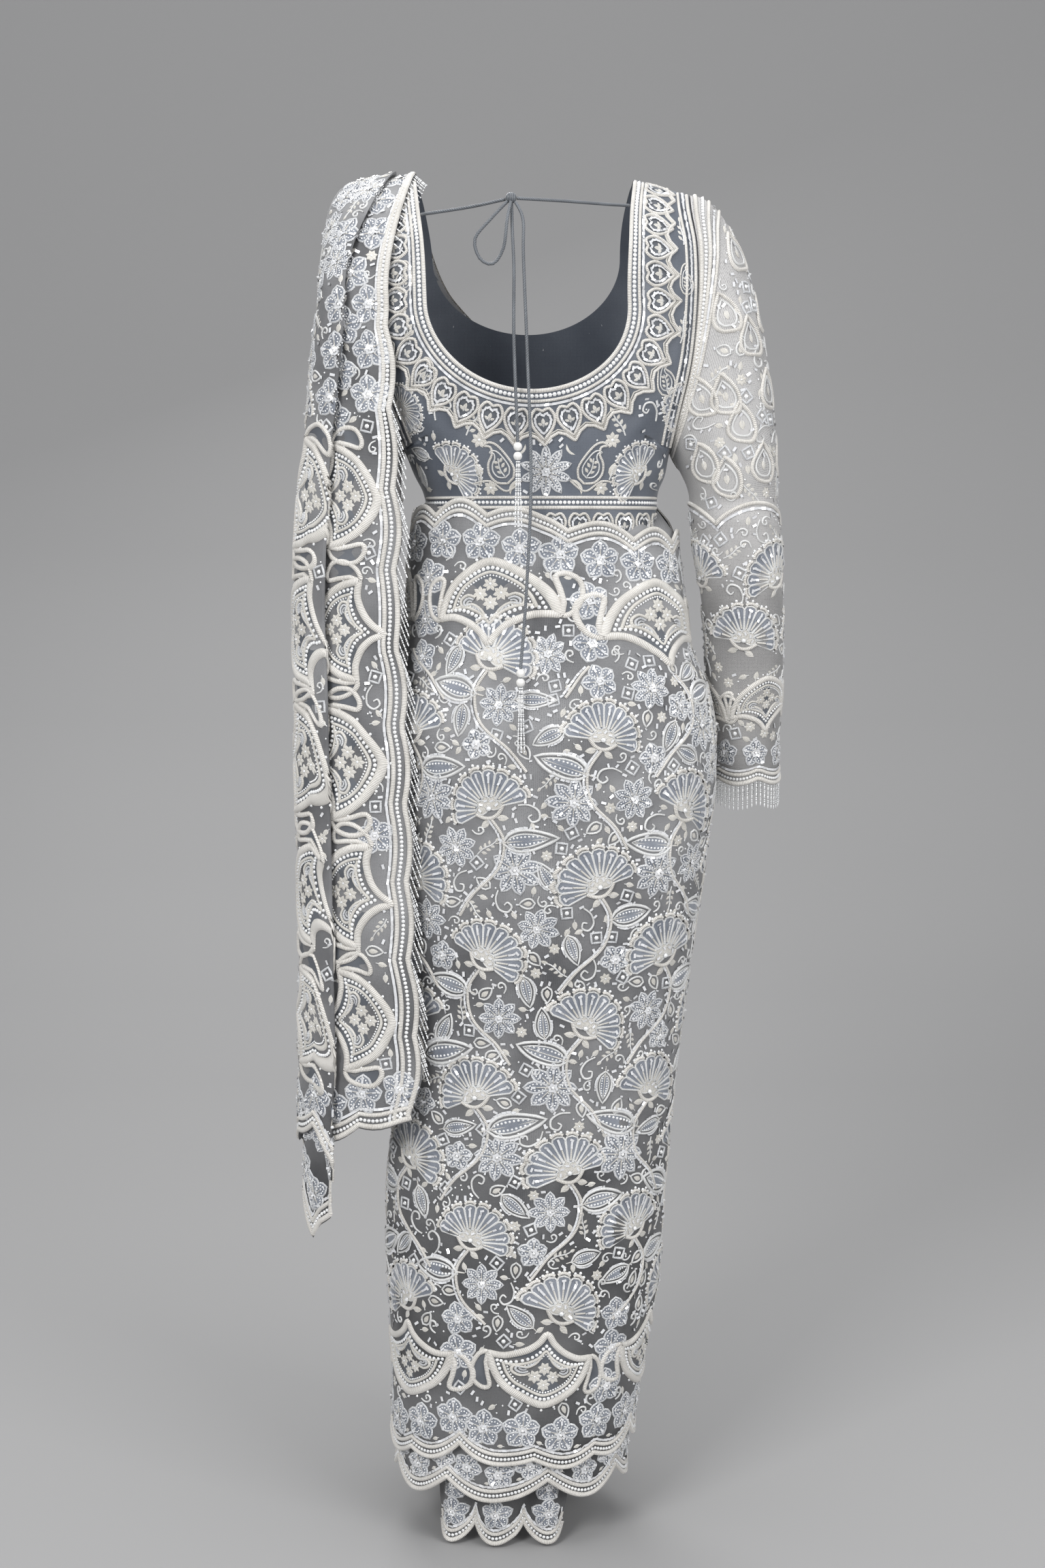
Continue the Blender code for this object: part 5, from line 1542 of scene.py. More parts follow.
    @staticmethod
    def _leaf(length: float, width: float) -> Motif:
        """Pointed leaf: double outline, midrib and rows of beads."""
        outer = blade(length, width, 8, 0.80)
        inner = blade(length * 0.80, width * 0.62, 7, 0.80) + [0.0, length * 0.07]
        motif = Motif().fill(Finish.PETAL, inner, 0.0007, 30.0)
        motif.cord(Finish.THREAD, outer, 0.0032, 0.0018, closed=True)
        motif.cord(Finish.THREAD, inner, 0.0018, 0.0013, closed=True)
        motif.cord(Finish.CORD, np.array([(0.0, -0.008), (0.0, 0.0), (0.0, length * 0.82)]), 0.0020, 0.0018,
                   taper=0.4)
        share = np.linspace(0.16, 0.76, 9)
        half = width / 2.0 * np.sin(math.pi * share ** 0.8) ** 0.8
        for side in (-1.0, 1.0):
            motif.dots(Finish.BEAD, np.stack([side * half * 0.34, length * share], axis=1), 0.0015)
            motif.dots_along(Finish.SEQUIN, outer[1:6] * [side * 1.22, 1.0], 0.0046, 0.0019, 0.0004)
        return motif

    @staticmethod
    def _diamond() -> Motif:
        """Open silver diamond round a stud."""
        outline = np.array([(2.0, 0.0), (1.0, 1.0), (0.0, 2.0), (-1.0, 1.0), (-2.0, 0.0), (-1.0, -1.0),
                            (0.0, -2.0), (1.0, -1.0)])
        motif = Motif().cord(Finish.SILVER, outline * 0.0040, 0.0028, 0.0014, closed=True)
        return motif.dot(Finish.BEAD, 0.0, 0.0, 0.0026, 0.0002)

    @staticmethod
    def _drop() -> Motif:
        """Drop outlined in thread with a cream middle."""
        outer = blade(0.022, 0.0135, 6, 0.75)
        motif = Motif().cord(Finish.THREAD, outer, 0.0027, 0.0015, closed=True)
        motif.fill(Finish.CREAM, blade(0.0125, 0.0066, 4, 0.8) + [0.0, 0.0035], 0.0014, 40.0)
        return motif.dot(Finish.SEQUIN, 0.0, 0.0245, 0.0016, 0.0004)

    @staticmethod
    def _comma() -> Motif:
        """Small hooked tendril with a bead in its bend."""
        path = bend([(0.0, 0.0), (0.0020, 0.0060), (0.0, 0.0115), (-0.0050, 0.0135), (-0.0080, 0.0100),
                     (-0.0060, 0.0065), (-0.0030, 0.0080)])
        motif = Motif().cord(Finish.THREAD, path, 0.0026, 0.0016, taper=0.4)
        return motif.dot(Finish.BEAD, -0.0028, 0.0078, 0.0014)

    @staticmethod
    def _curl() -> Motif:
        """Long curling tendril with sequins."""
        path = bend([(0.0, 0.0), (0.0050, 0.0110), (0.0030, 0.0230), (-0.0060, 0.0280), (-0.0120, 0.0225),
                     (-0.0085, 0.0165), (-0.0040, 0.0190)], 4)
        motif = Motif().cord(Finish.THREAD, path, 0.0027, 0.0017, taper=0.3)
        return motif.dots(Finish.SEQUIN, [(0.0078, 0.0060), (0.0085, 0.0160), (-0.0030, 0.0325),
                                          (-0.0150, 0.0290)], 0.0020, 0.0003)

    def _sprig(self) -> Motif:
        """Stem with small cream leaves in pairs."""
        stem = bend([(0.0, 0.0), (0.0015, 0.012), (-0.0010, 0.026), (0.0, 0.036)])
        motif = Motif().cord(Finish.THREAD, stem, 0.0021, 0.0014)
        for step, y in enumerate((0.007, 0.015, 0.023)):
            motif.pair(self.bud, 0.001, y, 48.0, 0.78 - 0.07 * step)
        return motif.put(self.bud, 0.0, 0.033, size=0.8)

    @staticmethod
    def _crescent() -> Motif:
        """Solid cream crescent."""
        outer = bend([(0.0, -0.016), (0.0075, -0.009), (0.0095, 0.0), (0.0070, 0.010), (0.0, 0.017)])
        inner = bend([(0.0, 0.017), (0.0030, 0.008), (0.0035, 0.0), (0.0025, -0.008), (0.0, -0.016)])
        return Motif().fill(Finish.CREAM, np.concatenate([outer, inner[1:-1]]), 0.0014, 90.0)

    def _heart_drop(self) -> Motif:
        """Neckline drop that points down: two outlines round a three-leaved sprig."""
        outer = whole(bend([(0.0, -0.0165), (0.0085, -0.006), (0.0112, 0.004), (0.0065, 0.0120),
                            (0.0, 0.0100)]))
        inner = outer * 0.66 + [0.0, -0.0003]
        # Dark ground of painted shade, for the shade seen through the drop's opening.
        motif = Motif().fill(Finish.SHADE, outer, 0.0001)
        motif.cord(Finish.CORD, outer, 0.0030, 0.0018, closed=True)
        motif.dots_along(Finish.SEQUIN, np.concatenate([inner, inner[:1]]), 0.0036, 0.0017, 0.0006)
        for turn, size in ((0.0, 0.72), (62.0, 0.58), (-62.0, 0.58)):
            motif.put(self.bud, 0.0, -0.0035, turn=turn, size=size)
        return motif

    def _teardrop(self) -> Motif:
        """Sheer sleeve's drop: two ivory outlines round a small leaf, without a ground."""
        outer = whole(bend([(0.0, -0.0200), (0.0105, -0.0070), (0.0130, 0.0040), (0.0080, 0.0130),
                            (0.0, 0.0150)]))
        motif = Motif().cord(Finish.CORD, outer, 0.0036, 0.0018, closed=True)
        motif.cord(Finish.THREAD, outer * 0.68, 0.0020, 0.0013, closed=True)
        motif.put(self.bud, 0.0, -0.0045, size=0.85)
        return motif.dot(Finish.SEQUIN, 0.0, -0.0085, 0.0018, 0.0004)

    @staticmethod
    def _paisley() -> Motif:
        """Leaf-filled paisley with a hooked tip."""
        outline = bend([(0.0, -0.017), (0.0090, -0.0125), (0.0125, -0.0030), (0.0095, 0.0065),
                        (0.0030, 0.0130), (0.0015, 0.0200), (0.0065, 0.0235), (0.0010, 0.0245),
                        (-0.0050, 0.0190), (-0.0095, 0.0060), (-0.0110, -0.0060), (-0.0070, -0.0140)])
        motif = Motif().cord(Finish.CORD, outline, 0.0022, 0.0016, closed=True)
        motif.cord(Finish.THREAD, outline * 0.66, 0.0014, 0.0012, closed=True)
        motif.cord(Finish.THREAD, bend([(0.0, -0.0100), (0.0015, -0.002), (-0.0010, 0.0080)]), 0.0013, 0.0013)
        leaf = Motif().fill(Finish.CREAM, blade(0.0058, 0.0030, 3), 0.0009, 40.0)
        for y in (-0.0065, -0.0015, 0.0035):
            motif.pair(leaf, 0.0005, y, 52.0)
        return motif

    def _bell(self) -> Motif:
        """Domed medallion whose lower edge sweeps to a point, with side leaves and a daisy cluster."""
        motif = Motif()
        dome = bend(both_sides([(0.0, 0.039), (0.014, 0.035), (0.028, 0.027), (0.042, 0.016),
                                (0.053, -0.001), (0.059, -0.020)]), 4)
        keel = bend(both_sides([(0.0, -0.047), (0.009, -0.036), (0.022, -0.026), (0.041, -0.019),
                                (0.059, -0.020)]), 4)
        ground = np.concatenate([keel, dome[::-1][1:-1]]) * 0.94
        # Dark ground of painted shade, for the shade seen through the medallion's opening.
        motif.fill(Finish.SHADE, ground, 0.0001)
        motif.cord(Finish.CORD, dome, 0.0092, 0.0034)
        motif.cord(Finish.CORD, keel, 0.0080, 0.0030)
        for line, wide, tall, up in ((dome, 0.845, 0.80, 0.0012), (keel, 0.800, 0.76, 0.0030)):
            motif.dots_along(Finish.BEAD, line * [wide, tall] + [0.0, up], 0.0052, 0.0023, 0.0003)
            motif.cord(Finish.CREAM, line * [wide - 0.115, tall - 0.130] + [0.0, up + 0.0002], 0.0034, 0.0018)
            motif.dots_along(Finish.BEAD, line * [wide - 0.180, tall - 0.215] + [0.0, up + 0.0002],
                             0.0034, 0.0014)
        for x, y in ((0.0, 0.0150), (-0.0110, 0.0050), (0.0110, 0.0050), (0.0, -0.0050)):
            motif.put(self.daisy, x, y, size=1.25)
        for side in (-1.0, 1.0):
            for shrink in (1.0, 0.66, 0.36):
                feather = bend([(0.003, -0.024), (0.009, -0.013), (0.020, -0.006), (0.031, -0.008),
                                (0.033, -0.001), (0.025, 0.004), (0.016, 0.001)])
                feather = (feather - [0.022, -0.006]) * shrink + [0.022, -0.006]
                motif.cord(Finish.CREAM if shrink == 1.0 else Finish.SILVER, feather * [side, 1.0],
                           0.0036 * shrink ** 0.5, 0.0022, taper=0.3)
            loop = bend([(0.0600, -0.0230), (0.0720, -0.0170), (0.0800, -0.0010), (0.0780, 0.0150),
                         (0.0660, 0.0230), (0.0570, 0.0200), (0.0600, 0.0060), (0.0625, -0.0080)])
            loop = (loop if side > 0 else loop[::-1]) * [side, 1.0]
            # Dark ground of painted shade inside the side loop.
            motif.fill(Finish.SHADE, loop, 0.0001)
            motif.cord(Finish.CORD, loop, 0.0058, 0.0028, closed=True)
        crown = dome[(np.linspace(0.10, 0.90, 9) * (len(dome) - 1)).astype(int)]
        return motif.dots(Finish.BEAD, crown * [1.11, 1.16] + [0.0, 0.0006], 0.0018)


class Layout:
    """Keeps the figures of one field apart."""

    def __init__(self, work: Embroidery, chart: Chart, allowed: Callable[[Array, Array], Array],
                 seed: int) -> None:
        """Start with a bare field, the places that belong to it and a seed for its random choices."""
        self.work, self.chart, self.allowed = work, chart, allowed
        self.random = np.random.default_rng(seed)
        self.taken = np.zeros((0, 3))

    def clear(self, u: float, v: float, radius: float, share: float = 1.0) -> bool:
        """Whether a round place is clear of the taken ones, each and it shrunk to a share."""
        wide, tall = self.chart.scale(u, v)
        apart = np.hypot((self.taken[:, 0] - u) * wide, (self.taken[:, 1] - v) * tall)
        return bool((apart > (self.taken[:, 2] + radius) * share).all())

    def room(self, u: float, v: float, radius: float) -> bool:
        """Whether a figure of a radius fits at a place."""
        near = np.hypot(self.taken[:, 0] - u, self.taken[:, 1] - v) <= (self.taken[:, 2] + radius) * 0.55
        if near.any() or not self.clear(u, v, radius):
            return False
        wide, tall = self.chart.scale(u, v)
        rim = arc(radius, 0.0, 300.0, 6) / [wide, tall]
        return bool(self.allowed(u + rim[:, 0], v + rim[:, 1]).all())

    def claim(self, us: Array | float, vs: Array | float, radius: float) -> None:
        """Mark round places as taken."""
        us, vs = np.broadcast_arrays(np.atleast_1d(us), vs)
        self.taken = np.concatenate([self.taken, np.stack([us, vs, np.full(us.shape, radius)], axis=1)])

    def put(self, motif: Motif, u: float, v: float, radius: float, turn: float = 0.0, size: float = 1.0,
            mirror: bool = False) -> bool:
        """Stamp a figure if its middle is in the field and free; say whether it was."""
        if not (np.all(self.allowed(u, v)) and self.clear(u, v, radius, 0.80)):
            return False
        self.work.stamp(self.chart, motif, u, v, turn, size, mirror)
        self.claim(u, v, radius)
        return True

    def sow(self, motif: Motif, radius: float, tries: int, us: Span, vs: Span, size: float = 1.0,
            high: float = 0.0) -> None:
        """Scatter a figure over the free places.

        Args:
            motif: the figure.
            radius: the room it needs.
            tries: how many places are tried.
            us: range across.
            vs: range up.
            size: its scale.
            high: how far its middle is above its foot.
        """
        for u, v, turn, flip in zip(self.random.uniform(*us, tries), self.random.uniform(*vs, tries),
                                    self.random.uniform(-180.0, 180.0, tries),
                                    self.random.random(tries) < 0.5):
            if self.room(u, v, radius):
                across, up = np.array([0.0, high]) @ turning(-turn) / self.chart.scale(u, v)
                self.work.stamp(self.chart, motif, u + self.chart.outward * across, v - up, turn, size, flip)
                self.claim(u, v, radius)

    def sparkle(self, tries: int, us: Span, vs: Span) -> None:
        """Single sequins and beads in what is left free."""
        self.sow(Motif().dot(Finish.SEQUIN, 0.0, 0.0, 0.0023, 0.0002), 0.0031, tries, us, vs)
        self.sow(Motif().dot(Finish.BEAD, 0.0, 0.0, 0.0012), 0.0024, tries // 2, us, vs)


def small_ones(figures: Figures, layout: Layout, us: Span, vs: Span, share: float = 1.0,
               least: float = 1.0) -> None:
    """Leaves, drops, diamonds and tendrils between the larger figures, then beads and sequins.

    Args:
        figures: the figures.
        layout: the field.
        us: range across.
        vs: range up.
        share: how many places are tried.
        least: figures that need more room than this, in units of the largest, are left out.
    """
    for motif, radius, tries, size, high in (
            (figures.star, 0.0215, 400, 0.85, 0.0), (figures.leaf, 0.0150, 500, 0.74, 0.018),
            (figures.small_rosette, 0.0150, 500, 1.0, 0.0), (figures.curl, 0.0125, 600, 0.92, 0.014),
            (figures.sprig, 0.0108, 700, 0.75, 0.016), (figures.drop, 0.0090, 1000, 0.84, 0.010),
            (figures.diamond, 0.0076, 1300, 1.0, 0.0), (figures.daisy, 0.0066, 900, 1.0, 0.0),
            (figures.comma, 0.0056, 1700, 0.88, 0.006), (figures.bud, 0.0044, 2400, 0.95, 0.005)):
        if radius <= LARGEST_SMALL * least:
            layout.sow(motif, radius, int(tries * share), us, vs, size, high)
    layout.sparkle(int(5200 * share), us, vs)


def aside(xs: Array, zs: Array, away: Array | float) -> tuple[Array, Array]:
    """A flat line moved sideways, to the right of the way it runs."""
    path = np.stack([xs, zs], axis=1)
    along = unit(np.gradient(path, axis=0))
    return path[:, 0] + along[:, 1] * away, path[:, 1] - along[:, 0] * away


Line = Callable[[float], tuple[Array, Array]]


def border_band(work: Embroidery, chart: Chart, line: Line, size: float = 1.0) -> None:
    """Border along an edge: cord, beads, cord and sequins, each further inside a line's scaled distance."""
    work.cord(chart, *line(0.0028 * size), Finish.CORD, 0.0054 * size, 0.0026)
    work.row(chart, *line(0.0083 * size), Finish.BEAD, 0.0042 * size, 0.0020 * size)
    work.cord(chart, *line(0.0138 * size), Finish.CORD, 0.0044 * size, 0.0022)
    work.row(chart, *line(0.0188 * size), Finish.SEQUIN, 0.0046 * size, 0.0022 * size)


# Sub-assemblies

@dataclass
class Wraps:
    """The wrapped skirt: the scalloped outer wrap and the two hems that show below it."""

    workroom: Workroom
    figures: Figures
    cell: float = 0.0065
    girth: float = 0.17
    proud: float = 0.0002
    margin: float = 1.5
    off_blouse: float = 0.0008
    top_border: float = 0.138
    hem_border: float = 0.150
    creases: tuple[Crease, ...] = crease_rows(
        (-0.215, 1.090, -0.055, 0.925, 0.0150, 0.0026), (0.305, 1.080, 0.120, 0.900, 0.0180, 0.0022),
        (-0.265, 0.870, -0.095, 0.785, 0.0190, 0.0022), (0.040, 0.730, 0.105, 0.230, 0.0170, 0.0024),
        (-0.075, 0.660, -0.140, 0.190, 0.0150, 0.0027), (0.200, 0.810, 0.245, 0.210, 0.0200, 0.0030),
        (-0.215, 0.600, -0.245, 0.170, 0.0170, 0.0025), (0.365, 0.960, 0.330, 0.280, 0.0210, 0.0028),
        (0.000, 0.610, -0.035, 0.220, 0.0130, -0.0014), (0.150, 0.630, 0.175, 0.190, 0.0140, -0.0014),
        (-0.170, 0.720, -0.190, 0.230, 0.0120, -0.0013), (0.285, 0.900, 0.290, 0.340, 0.0150, -0.0014),
        (-0.130, 1.025, 0.025, 0.975, 0.0110, -0.0011), (0.085, 0.985, 0.265, 0.935, 0.0130, 0.0019),
        (0.390, 0.700, 0.405, 0.160, 0.0120, -0.0012))
    pieces: dict[str, bpy.types.Object] = field(default_factory=dict)

    def wrap(self, word: str, turns: Span, heights: Span, top: Callable, hem: Callable,
             inset: Callable | None = None, rows: int = 124, creases: Sequence[Crease] = ()) -> Chart:
        """One wrap: its chart, and its cloth between two edges.

        Args:
            word: which wrap it is.
            turns: first and last turn.
            heights: lowest and highest place of the chart.
            top: height of the top edge at each turn.
            hem: height of the hem at each turn.
            inset: how far it lies inside the outer wrap.
            rows: rows of the cloth's grid.
            creases: its ridges and troughs.

        Returns:
            The chart.
        """
        columns = int(math.radians(turns[1] - turns[0]) * self.girth / self.cell) + 1
        across = np.linspace(*turns, columns)
        up = np.linspace(*heights, int((heights[1] - heights[0]) / self.cell) + 1)
        turn, height = np.meshgrid(across, up)
        away = (inset(turn, height) if inset else 0.0) - self.proud
        chart = Chart(section(turn, height, away), Skirt.turn_to_u(across), up, -1.0, creases=creases)
        turn, share = np.meshgrid(across, np.linspace(1.0, 0.0, rows))
        us, height = Skirt.turn_to_u(turn), mix(top(turn), hem(turn), share)
        name = word + "_wrap_net"
        self.pieces[name] = self.workroom.cloth(name, chart.at(us, height)[0], us, height, Finish.NET, -1.0)
        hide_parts(f"sari_{word}_wrap")
        return chart

    def make(self) -> None:
        """Make the three wraps and their embroidery."""
        self.outer = self.wrap("outer", (Skirt.first_turn, Skirt.last_turn), (0.090, 1.196), Skirt.top,
                               Skirt.hem, creases=self.creases)
        self.middle = self.wrap("middle", (-165.0, 165.0), (0.050, 1.110), lambda turn: 0.0 * turn + 1.098,
                                Skirt.middle_hem, Skirt.middle_inset, 64)
        self.inner = self.wrap("inner", (-66.0, 78.0), (0.003, 1.090), lambda turn: 0.0 * turn + 1.085,
                               Skirt.inner_hem, Skirt.inner_inset, 80)
        work = Embroidery(11)
        layout = self.borders(work)
        bordered = work.build(self.workroom, "wrap_borders")
        layout.work = Embroidery(12)
        self.field(layout)
        dressed = layout.work.build(self.workroom, "wrap_field")
        self.tuck()
        middle, inner = Embroidery(13), Embroidery(14)
        self.lower_hems(middle, inner)
        self.declare(middle.build(self.workroom, "middle_hem"),
                     inner.build(self.workroom, "inner_hem"))

    def tuck(self) -> None:
        """Turned-in strip that closes the gap between the wraps' top and the blouse."""
        turn, share = np.meshgrid(np.linspace(-180.0, 180.0, 181), np.linspace(0.0, 1.0, 5))
        wrapped = (turn > Skirt.first_turn) & (turn < Skirt.last_turn)
        level = np.where(wrapped, Skirt.top(turn) - 0.0050, Skirt.top_height)
        outer = section(turn, level, 0.0024)
        sine, cosine = compass(turn)
        level = level + 0.020 * np.abs(sine) * (0.3 + 1.0 * np.exp(-((turn + 88.0) / 26.0) ** 2))
        side = (TORSO.read("half", level) + self.off_blouse) * sine
        inner = place(TORSO.read("centre", level) + side,
                      (TORSO.reach(cosine, level) + self.off_blouse) * cosine, level)
        points = mix(outer, inner, share[..., None])
        self.pieces["waist_tuck_net"] = self.workroom.cloth(
            "waist_tuck_net", points, Skirt.turn_to_u(turn), share * 0.02, Finish.NET)

    def borders(self, work: Embroidery) -> Layout:
        """Stitch the outer wrap's two borders; gives its layout, with their figures taken."""
        figures, chart = self.figures, self.outer
        layout = Layout(work, chart, self.on_wrap, 5)
        turns = np.linspace(-97.6, 149.6, 620)
        us, hem = Skirt.turn_to_u(turns), Skirt.hem(turns)
        border_band(work, chart, lambda away: (us, Skirt.top(turns) - away))
        border_band(work, chart, lambda away: (us, hem + away))
        for line, pitch, start in ((1.1175 + Skirt.tilt(turns), 0.0425, 0.5), (hem + 0.0400, 0.0440, 0.3)):
            work.along(chart, us, line, figures.rosette, pitch, start=start, follow=False)
            layout.claim(us[::12], line[::12], 0.0185)
        work.along(chart, us, hem + 0.0235, figures.bud, 0.0225, turn=90.0, size=0.7)
        for turn in np.arange(-49.0, 146.0, 69.0):
            self.medallion(layout, turn, 1.0590 + Skirt.tilt(turn), 1.04)
        for turn in np.arange(-75.0, 146.0, 66.0):
            self.medallion(layout, turn, Skirt.low_line(turn) + 0.097, 0.94, 180.0)
        return layout

    def medallion(self, layout: Layout, turn: float, height: float, size: float, way: float = 0.0) -> None:
        """One medallion, and the flowers and small leaves beside it.

        Args:
            layout: the wrap's layout.
            turn: where it stands.
            height: height of its middle.
            size: its scale.
            way: how far it is turned, in degrees.
        """
        work, figures = layout.work, self.figures
        u = Skirt.turn_to_u(turn)
        work.stamp(self.outer, figures.bell, u, height, way, size)
        for dx, dy, radius in ((0.0, 0.0, 0.042), (0.045, -0.004, 0.030), (-0.045, -0.004, 0.030)):
            layout.claim(u + dx, height + dy, radius)
        beside = u + Skirt.turn_to_u(34.0)
        for dy, size in ((0.021, 1.0), (-0.024, 0.98), (-0.064 if way == 0.0 else 0.060, 0.90)):
            layout.put(figures.rosette, beside, height + dy, 0.0205, 12.0, size)
        for dx, dy in ((-0.033, 0.040), (0.033, 0.040), (-0.022, -0.044), (0.022, -0.044)):
            layout.put(figures.comma, beside + dx, height + dy, 0.007, 40.0 * math.copysign(1.0, dx), 1.0,
                       dx > 0)

    def within(self, turn: Array) -> Array:
        """Turns of the outer wrap that are clear of its two upright edges."""
        return (turn > Skirt.first_turn + self.margin) & (turn < Skirt.last_turn - self.margin)

    def on_wrap(self, u: Array, v: Array) -> Array:
        """Places of the outer wrap inside its two edge bands."""
        turn = np.degrees(np.asarray(u) / GIRTH_RADIUS)
        return self.within(turn) & (v > Skirt.hem(turn) + 0.024) & (v < Skirt.top(turn) - 0.024)

    def in_field(self, u: Array, v: Array) -> Array:
        """Places of the outer wrap between its two borders."""
        turn = np.degrees(np.asarray(u) / GIRTH_RADIUS)
        high = Skirt.top_height + Skirt.tilt(turn, 0.0) - self.top_border
        return self.within(turn) & (v > Skirt.low_line(turn) + self.hem_border) & (v < high)

    def field(self, layout: Layout) -> None:
        """Fan flowers on curving stems in half-drop columns, with leaves, stars and small figures."""
        figures, chart, work = self.figures, self.outer, layout.work
        random = layout.random
        pitch_u, pitch_v = 0.1020, 0.160
        first = Skirt.turn_to_u(-96.0) + 0.030
        cells = []
        for column in range(7):
            for row in range(7):
                u = first + column * pitch_u + random.uniform(-0.004, 0.004)
                v = 0.285 + row * pitch_v + (column % 2) * pitch_v / 2.0 + random.uniform(-0.005, 0.005)
                cells.append((u, v, 1.0 if (row + column // 2) % 2 else -1.0))
        for u, v, side in cells:
            turn = -side * random.uniform(16.0, 34.0)
            if (self.in_field(u, v)
                    and layout.put(figures.fan, u, v, 0.022, turn, random.uniform(1.02, 1.12), side < 0)):
                wide, _ = chart.scale(u, v)
                for lobe, radius in (((0.0, 0.023), 0.027), ((-0.028, 0.012), 0.017),
                                     ((0.028, 0.012), 0.017)):
                    across, up = np.array(lobe) @ turning(-turn)
                    layout.claim(u + across / wide, v + up, radius)
        for u, v, side in cells:
            wide, _ = chart.scale(u, min(max(v, 0.1), 1.1))
            stem = bend([(u + 0.002 * side, v - 0.010), (u + 0.016 * side / wide, v - 0.034),
                         (u + 0.010 * side / wide, v - 0.066), (u - 0.018 * side / wide, v - 0.094),
                         (u - 0.034 * side / wide, v - 0.118)], 6)
            fits = self.in_field(stem[:, 0], stem[:, 1])
            if fits.sum() > 6:
                stem = stem[fits]
                work.cord(chart, stem[:, 0], stem[:, 1], Finish.CORD, 0.0034, 0.0019)
                work.row(chart, stem[:, 0] + 0.0036 / wide, stem[:, 1], Finish.SEQUIN, 0.0045, 0.0019, 0.0002)
                layout.claim(stem[3::5, 0], stem[3::5, 1], 0.0035)
            leaf_u, leaf_v = u + 0.015 * side / wide, v - 0.036
            if self.in_field(leaf_u, leaf_v - 0.02):
                turn = side * random.uniform(66.0, 88.0)
                work.stamp(chart, figures.leaf, leaf_u, leaf_v, turn, random.uniform(1.00, 1.15))
                for up, radius in ((0.018, 0.014), (0.040, 0.012)):
                    across, up = np.array([0.0, up]) @ turning(-turn)
                    layout.claim(leaf_u + across / wide, leaf_v + up, radius)
            layout.put(figures.star, u + 0.028 * side / wide, v - 0.066, 0.0250,
                       random.uniform(0.0, 45.0), random.uniform(0.98, 1.10))
        small_ones(figures, layout, (chart.us[0], chart.us[-1]), (0.10, 1.17), 4.2)

    def declare(self, middle: list, inner: list) -> None:
        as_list(inner)
        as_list(middle)

    def lower_hems(self, work: Embroidery, inner: Embroidery) -> None:
        """Bands and flowers of the two hems that show below the outer wrap."""
        turns = np.linspace(-151.0, 150.0, 760)
        us = Skirt.turn_to_u(turns)
        hem = Skirt.middle_hem(turns)
        border_band(work, self.middle, lambda away: (us, hem + away))
        work.along(self.middle, us, hem + 0.0330, self.figures.small_rosette, 0.0370)
        work.along(self.middle, us, hem + 0.0225, self.figures.bud, 0.0185, turn=90.0, size=0.6)
        low, high = Skirt.turn_to_u(-150.0), Skirt.turn_to_u(-104.0)
        layout = Layout(work, self.middle, lambda u, v: (u > low) & (u < high) & (v > 0.135), 15)
        for step, v in enumerate(np.arange(0.165, 0.75, 0.115)):
            layout.put(self.figures.fan, mix(low, high, 0.32 if step % 2 else 0.66), v, 0.034,
                       -14.0 if step % 2 else 14.0, 0.98)
        small_ones(self.figures, layout, (low, high), (0.13, 0.80), 0.35)
        under = np.linspace(-29.0, 41.0, 260)
        border_band(inner, self.inner, lambda away: (Skirt.turn_to_u(under), Skirt.inner_hem(under) + away))
        for turn in (-18.0, 6.0, 30.0):
            for height in (0.0400, 0.0720):
                inner.stamp(self.inner, self.figures.rosette, Skirt.turn_to_u(turn), height, size=0.82)


@dataclass
class FrontPleats:
    """The knife pleats at the front."""

    workroom: Workroom
    figures: Figures
    pleats: int = 6

    def make(self) -> None:
        """Make the pleated cloth, its hem border and the figures on the faces of its pleats."""
        points = Folds.pleats(110, self.pleats)[::-1]
        us = summed(np.linalg.norm(np.diff(points, axis=1), axis=2).mean(axis=0))
        vs = np.linspace(Folds.pleat_hem, Folds.pleat_top, len(points))
        chart = Chart(points, us, vs, outward=1.0)
        net = self.workroom.cloth("pleats_net", points, us, vs, Finish.NET)
        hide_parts("sari_pleats")
        work = Embroidery(41)
        faces = [(us[3 * (4 * pleat + 1)], us[3 * (4 * pleat + 2)]) for pleat in range(self.pleats)]
        faces.append((us[3 * (4 * self.pleats)], us[-1]))
        for number, (low, high) in enumerate(faces):
            across = np.linspace(low + 0.0005, high - 0.0005, 40)
            border_band(work, chart, lambda away: (across, Folds.pleat_hem + 0.0005 + away))
            middle = mix(low, high, 0.42)
            work.stamp(chart, self.figures.rosette, middle, 0.066, size=0.9)
            work.stamp(chart, self.figures.small_rosette, middle, 0.100, size=0.9)
            for step, v in enumerate(np.arange(0.165 + 0.06 * (number % 2), 1.02, 0.128)):
                work.stamp(chart, self.figures.fan, middle, v, 8.0 if step % 2 else -8.0,
                           0.62 + 0.10 * (1.0 - v))
                work.stamp(chart, self.figures.star, mix(low, high, 0.30), v + 0.052, size=0.62)
                work.stamp(chart, self.figures.leaf, mix(low, high, 0.62), v + 0.040, 25.0, 0.55)
        layout = Layout(work, chart, lambda u, v: (u > us[3]) & (v > 0.05), 42)
        for low, high in faces:
            layout.sow(self.figures.bud, 0.0060, 260, (low, high), (0.12, 1.06), 0.8, 0.005)
            layout.sparkle(420, (low, high), (0.05, 1.10))
        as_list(work.build(self.workroom, "pleats"))


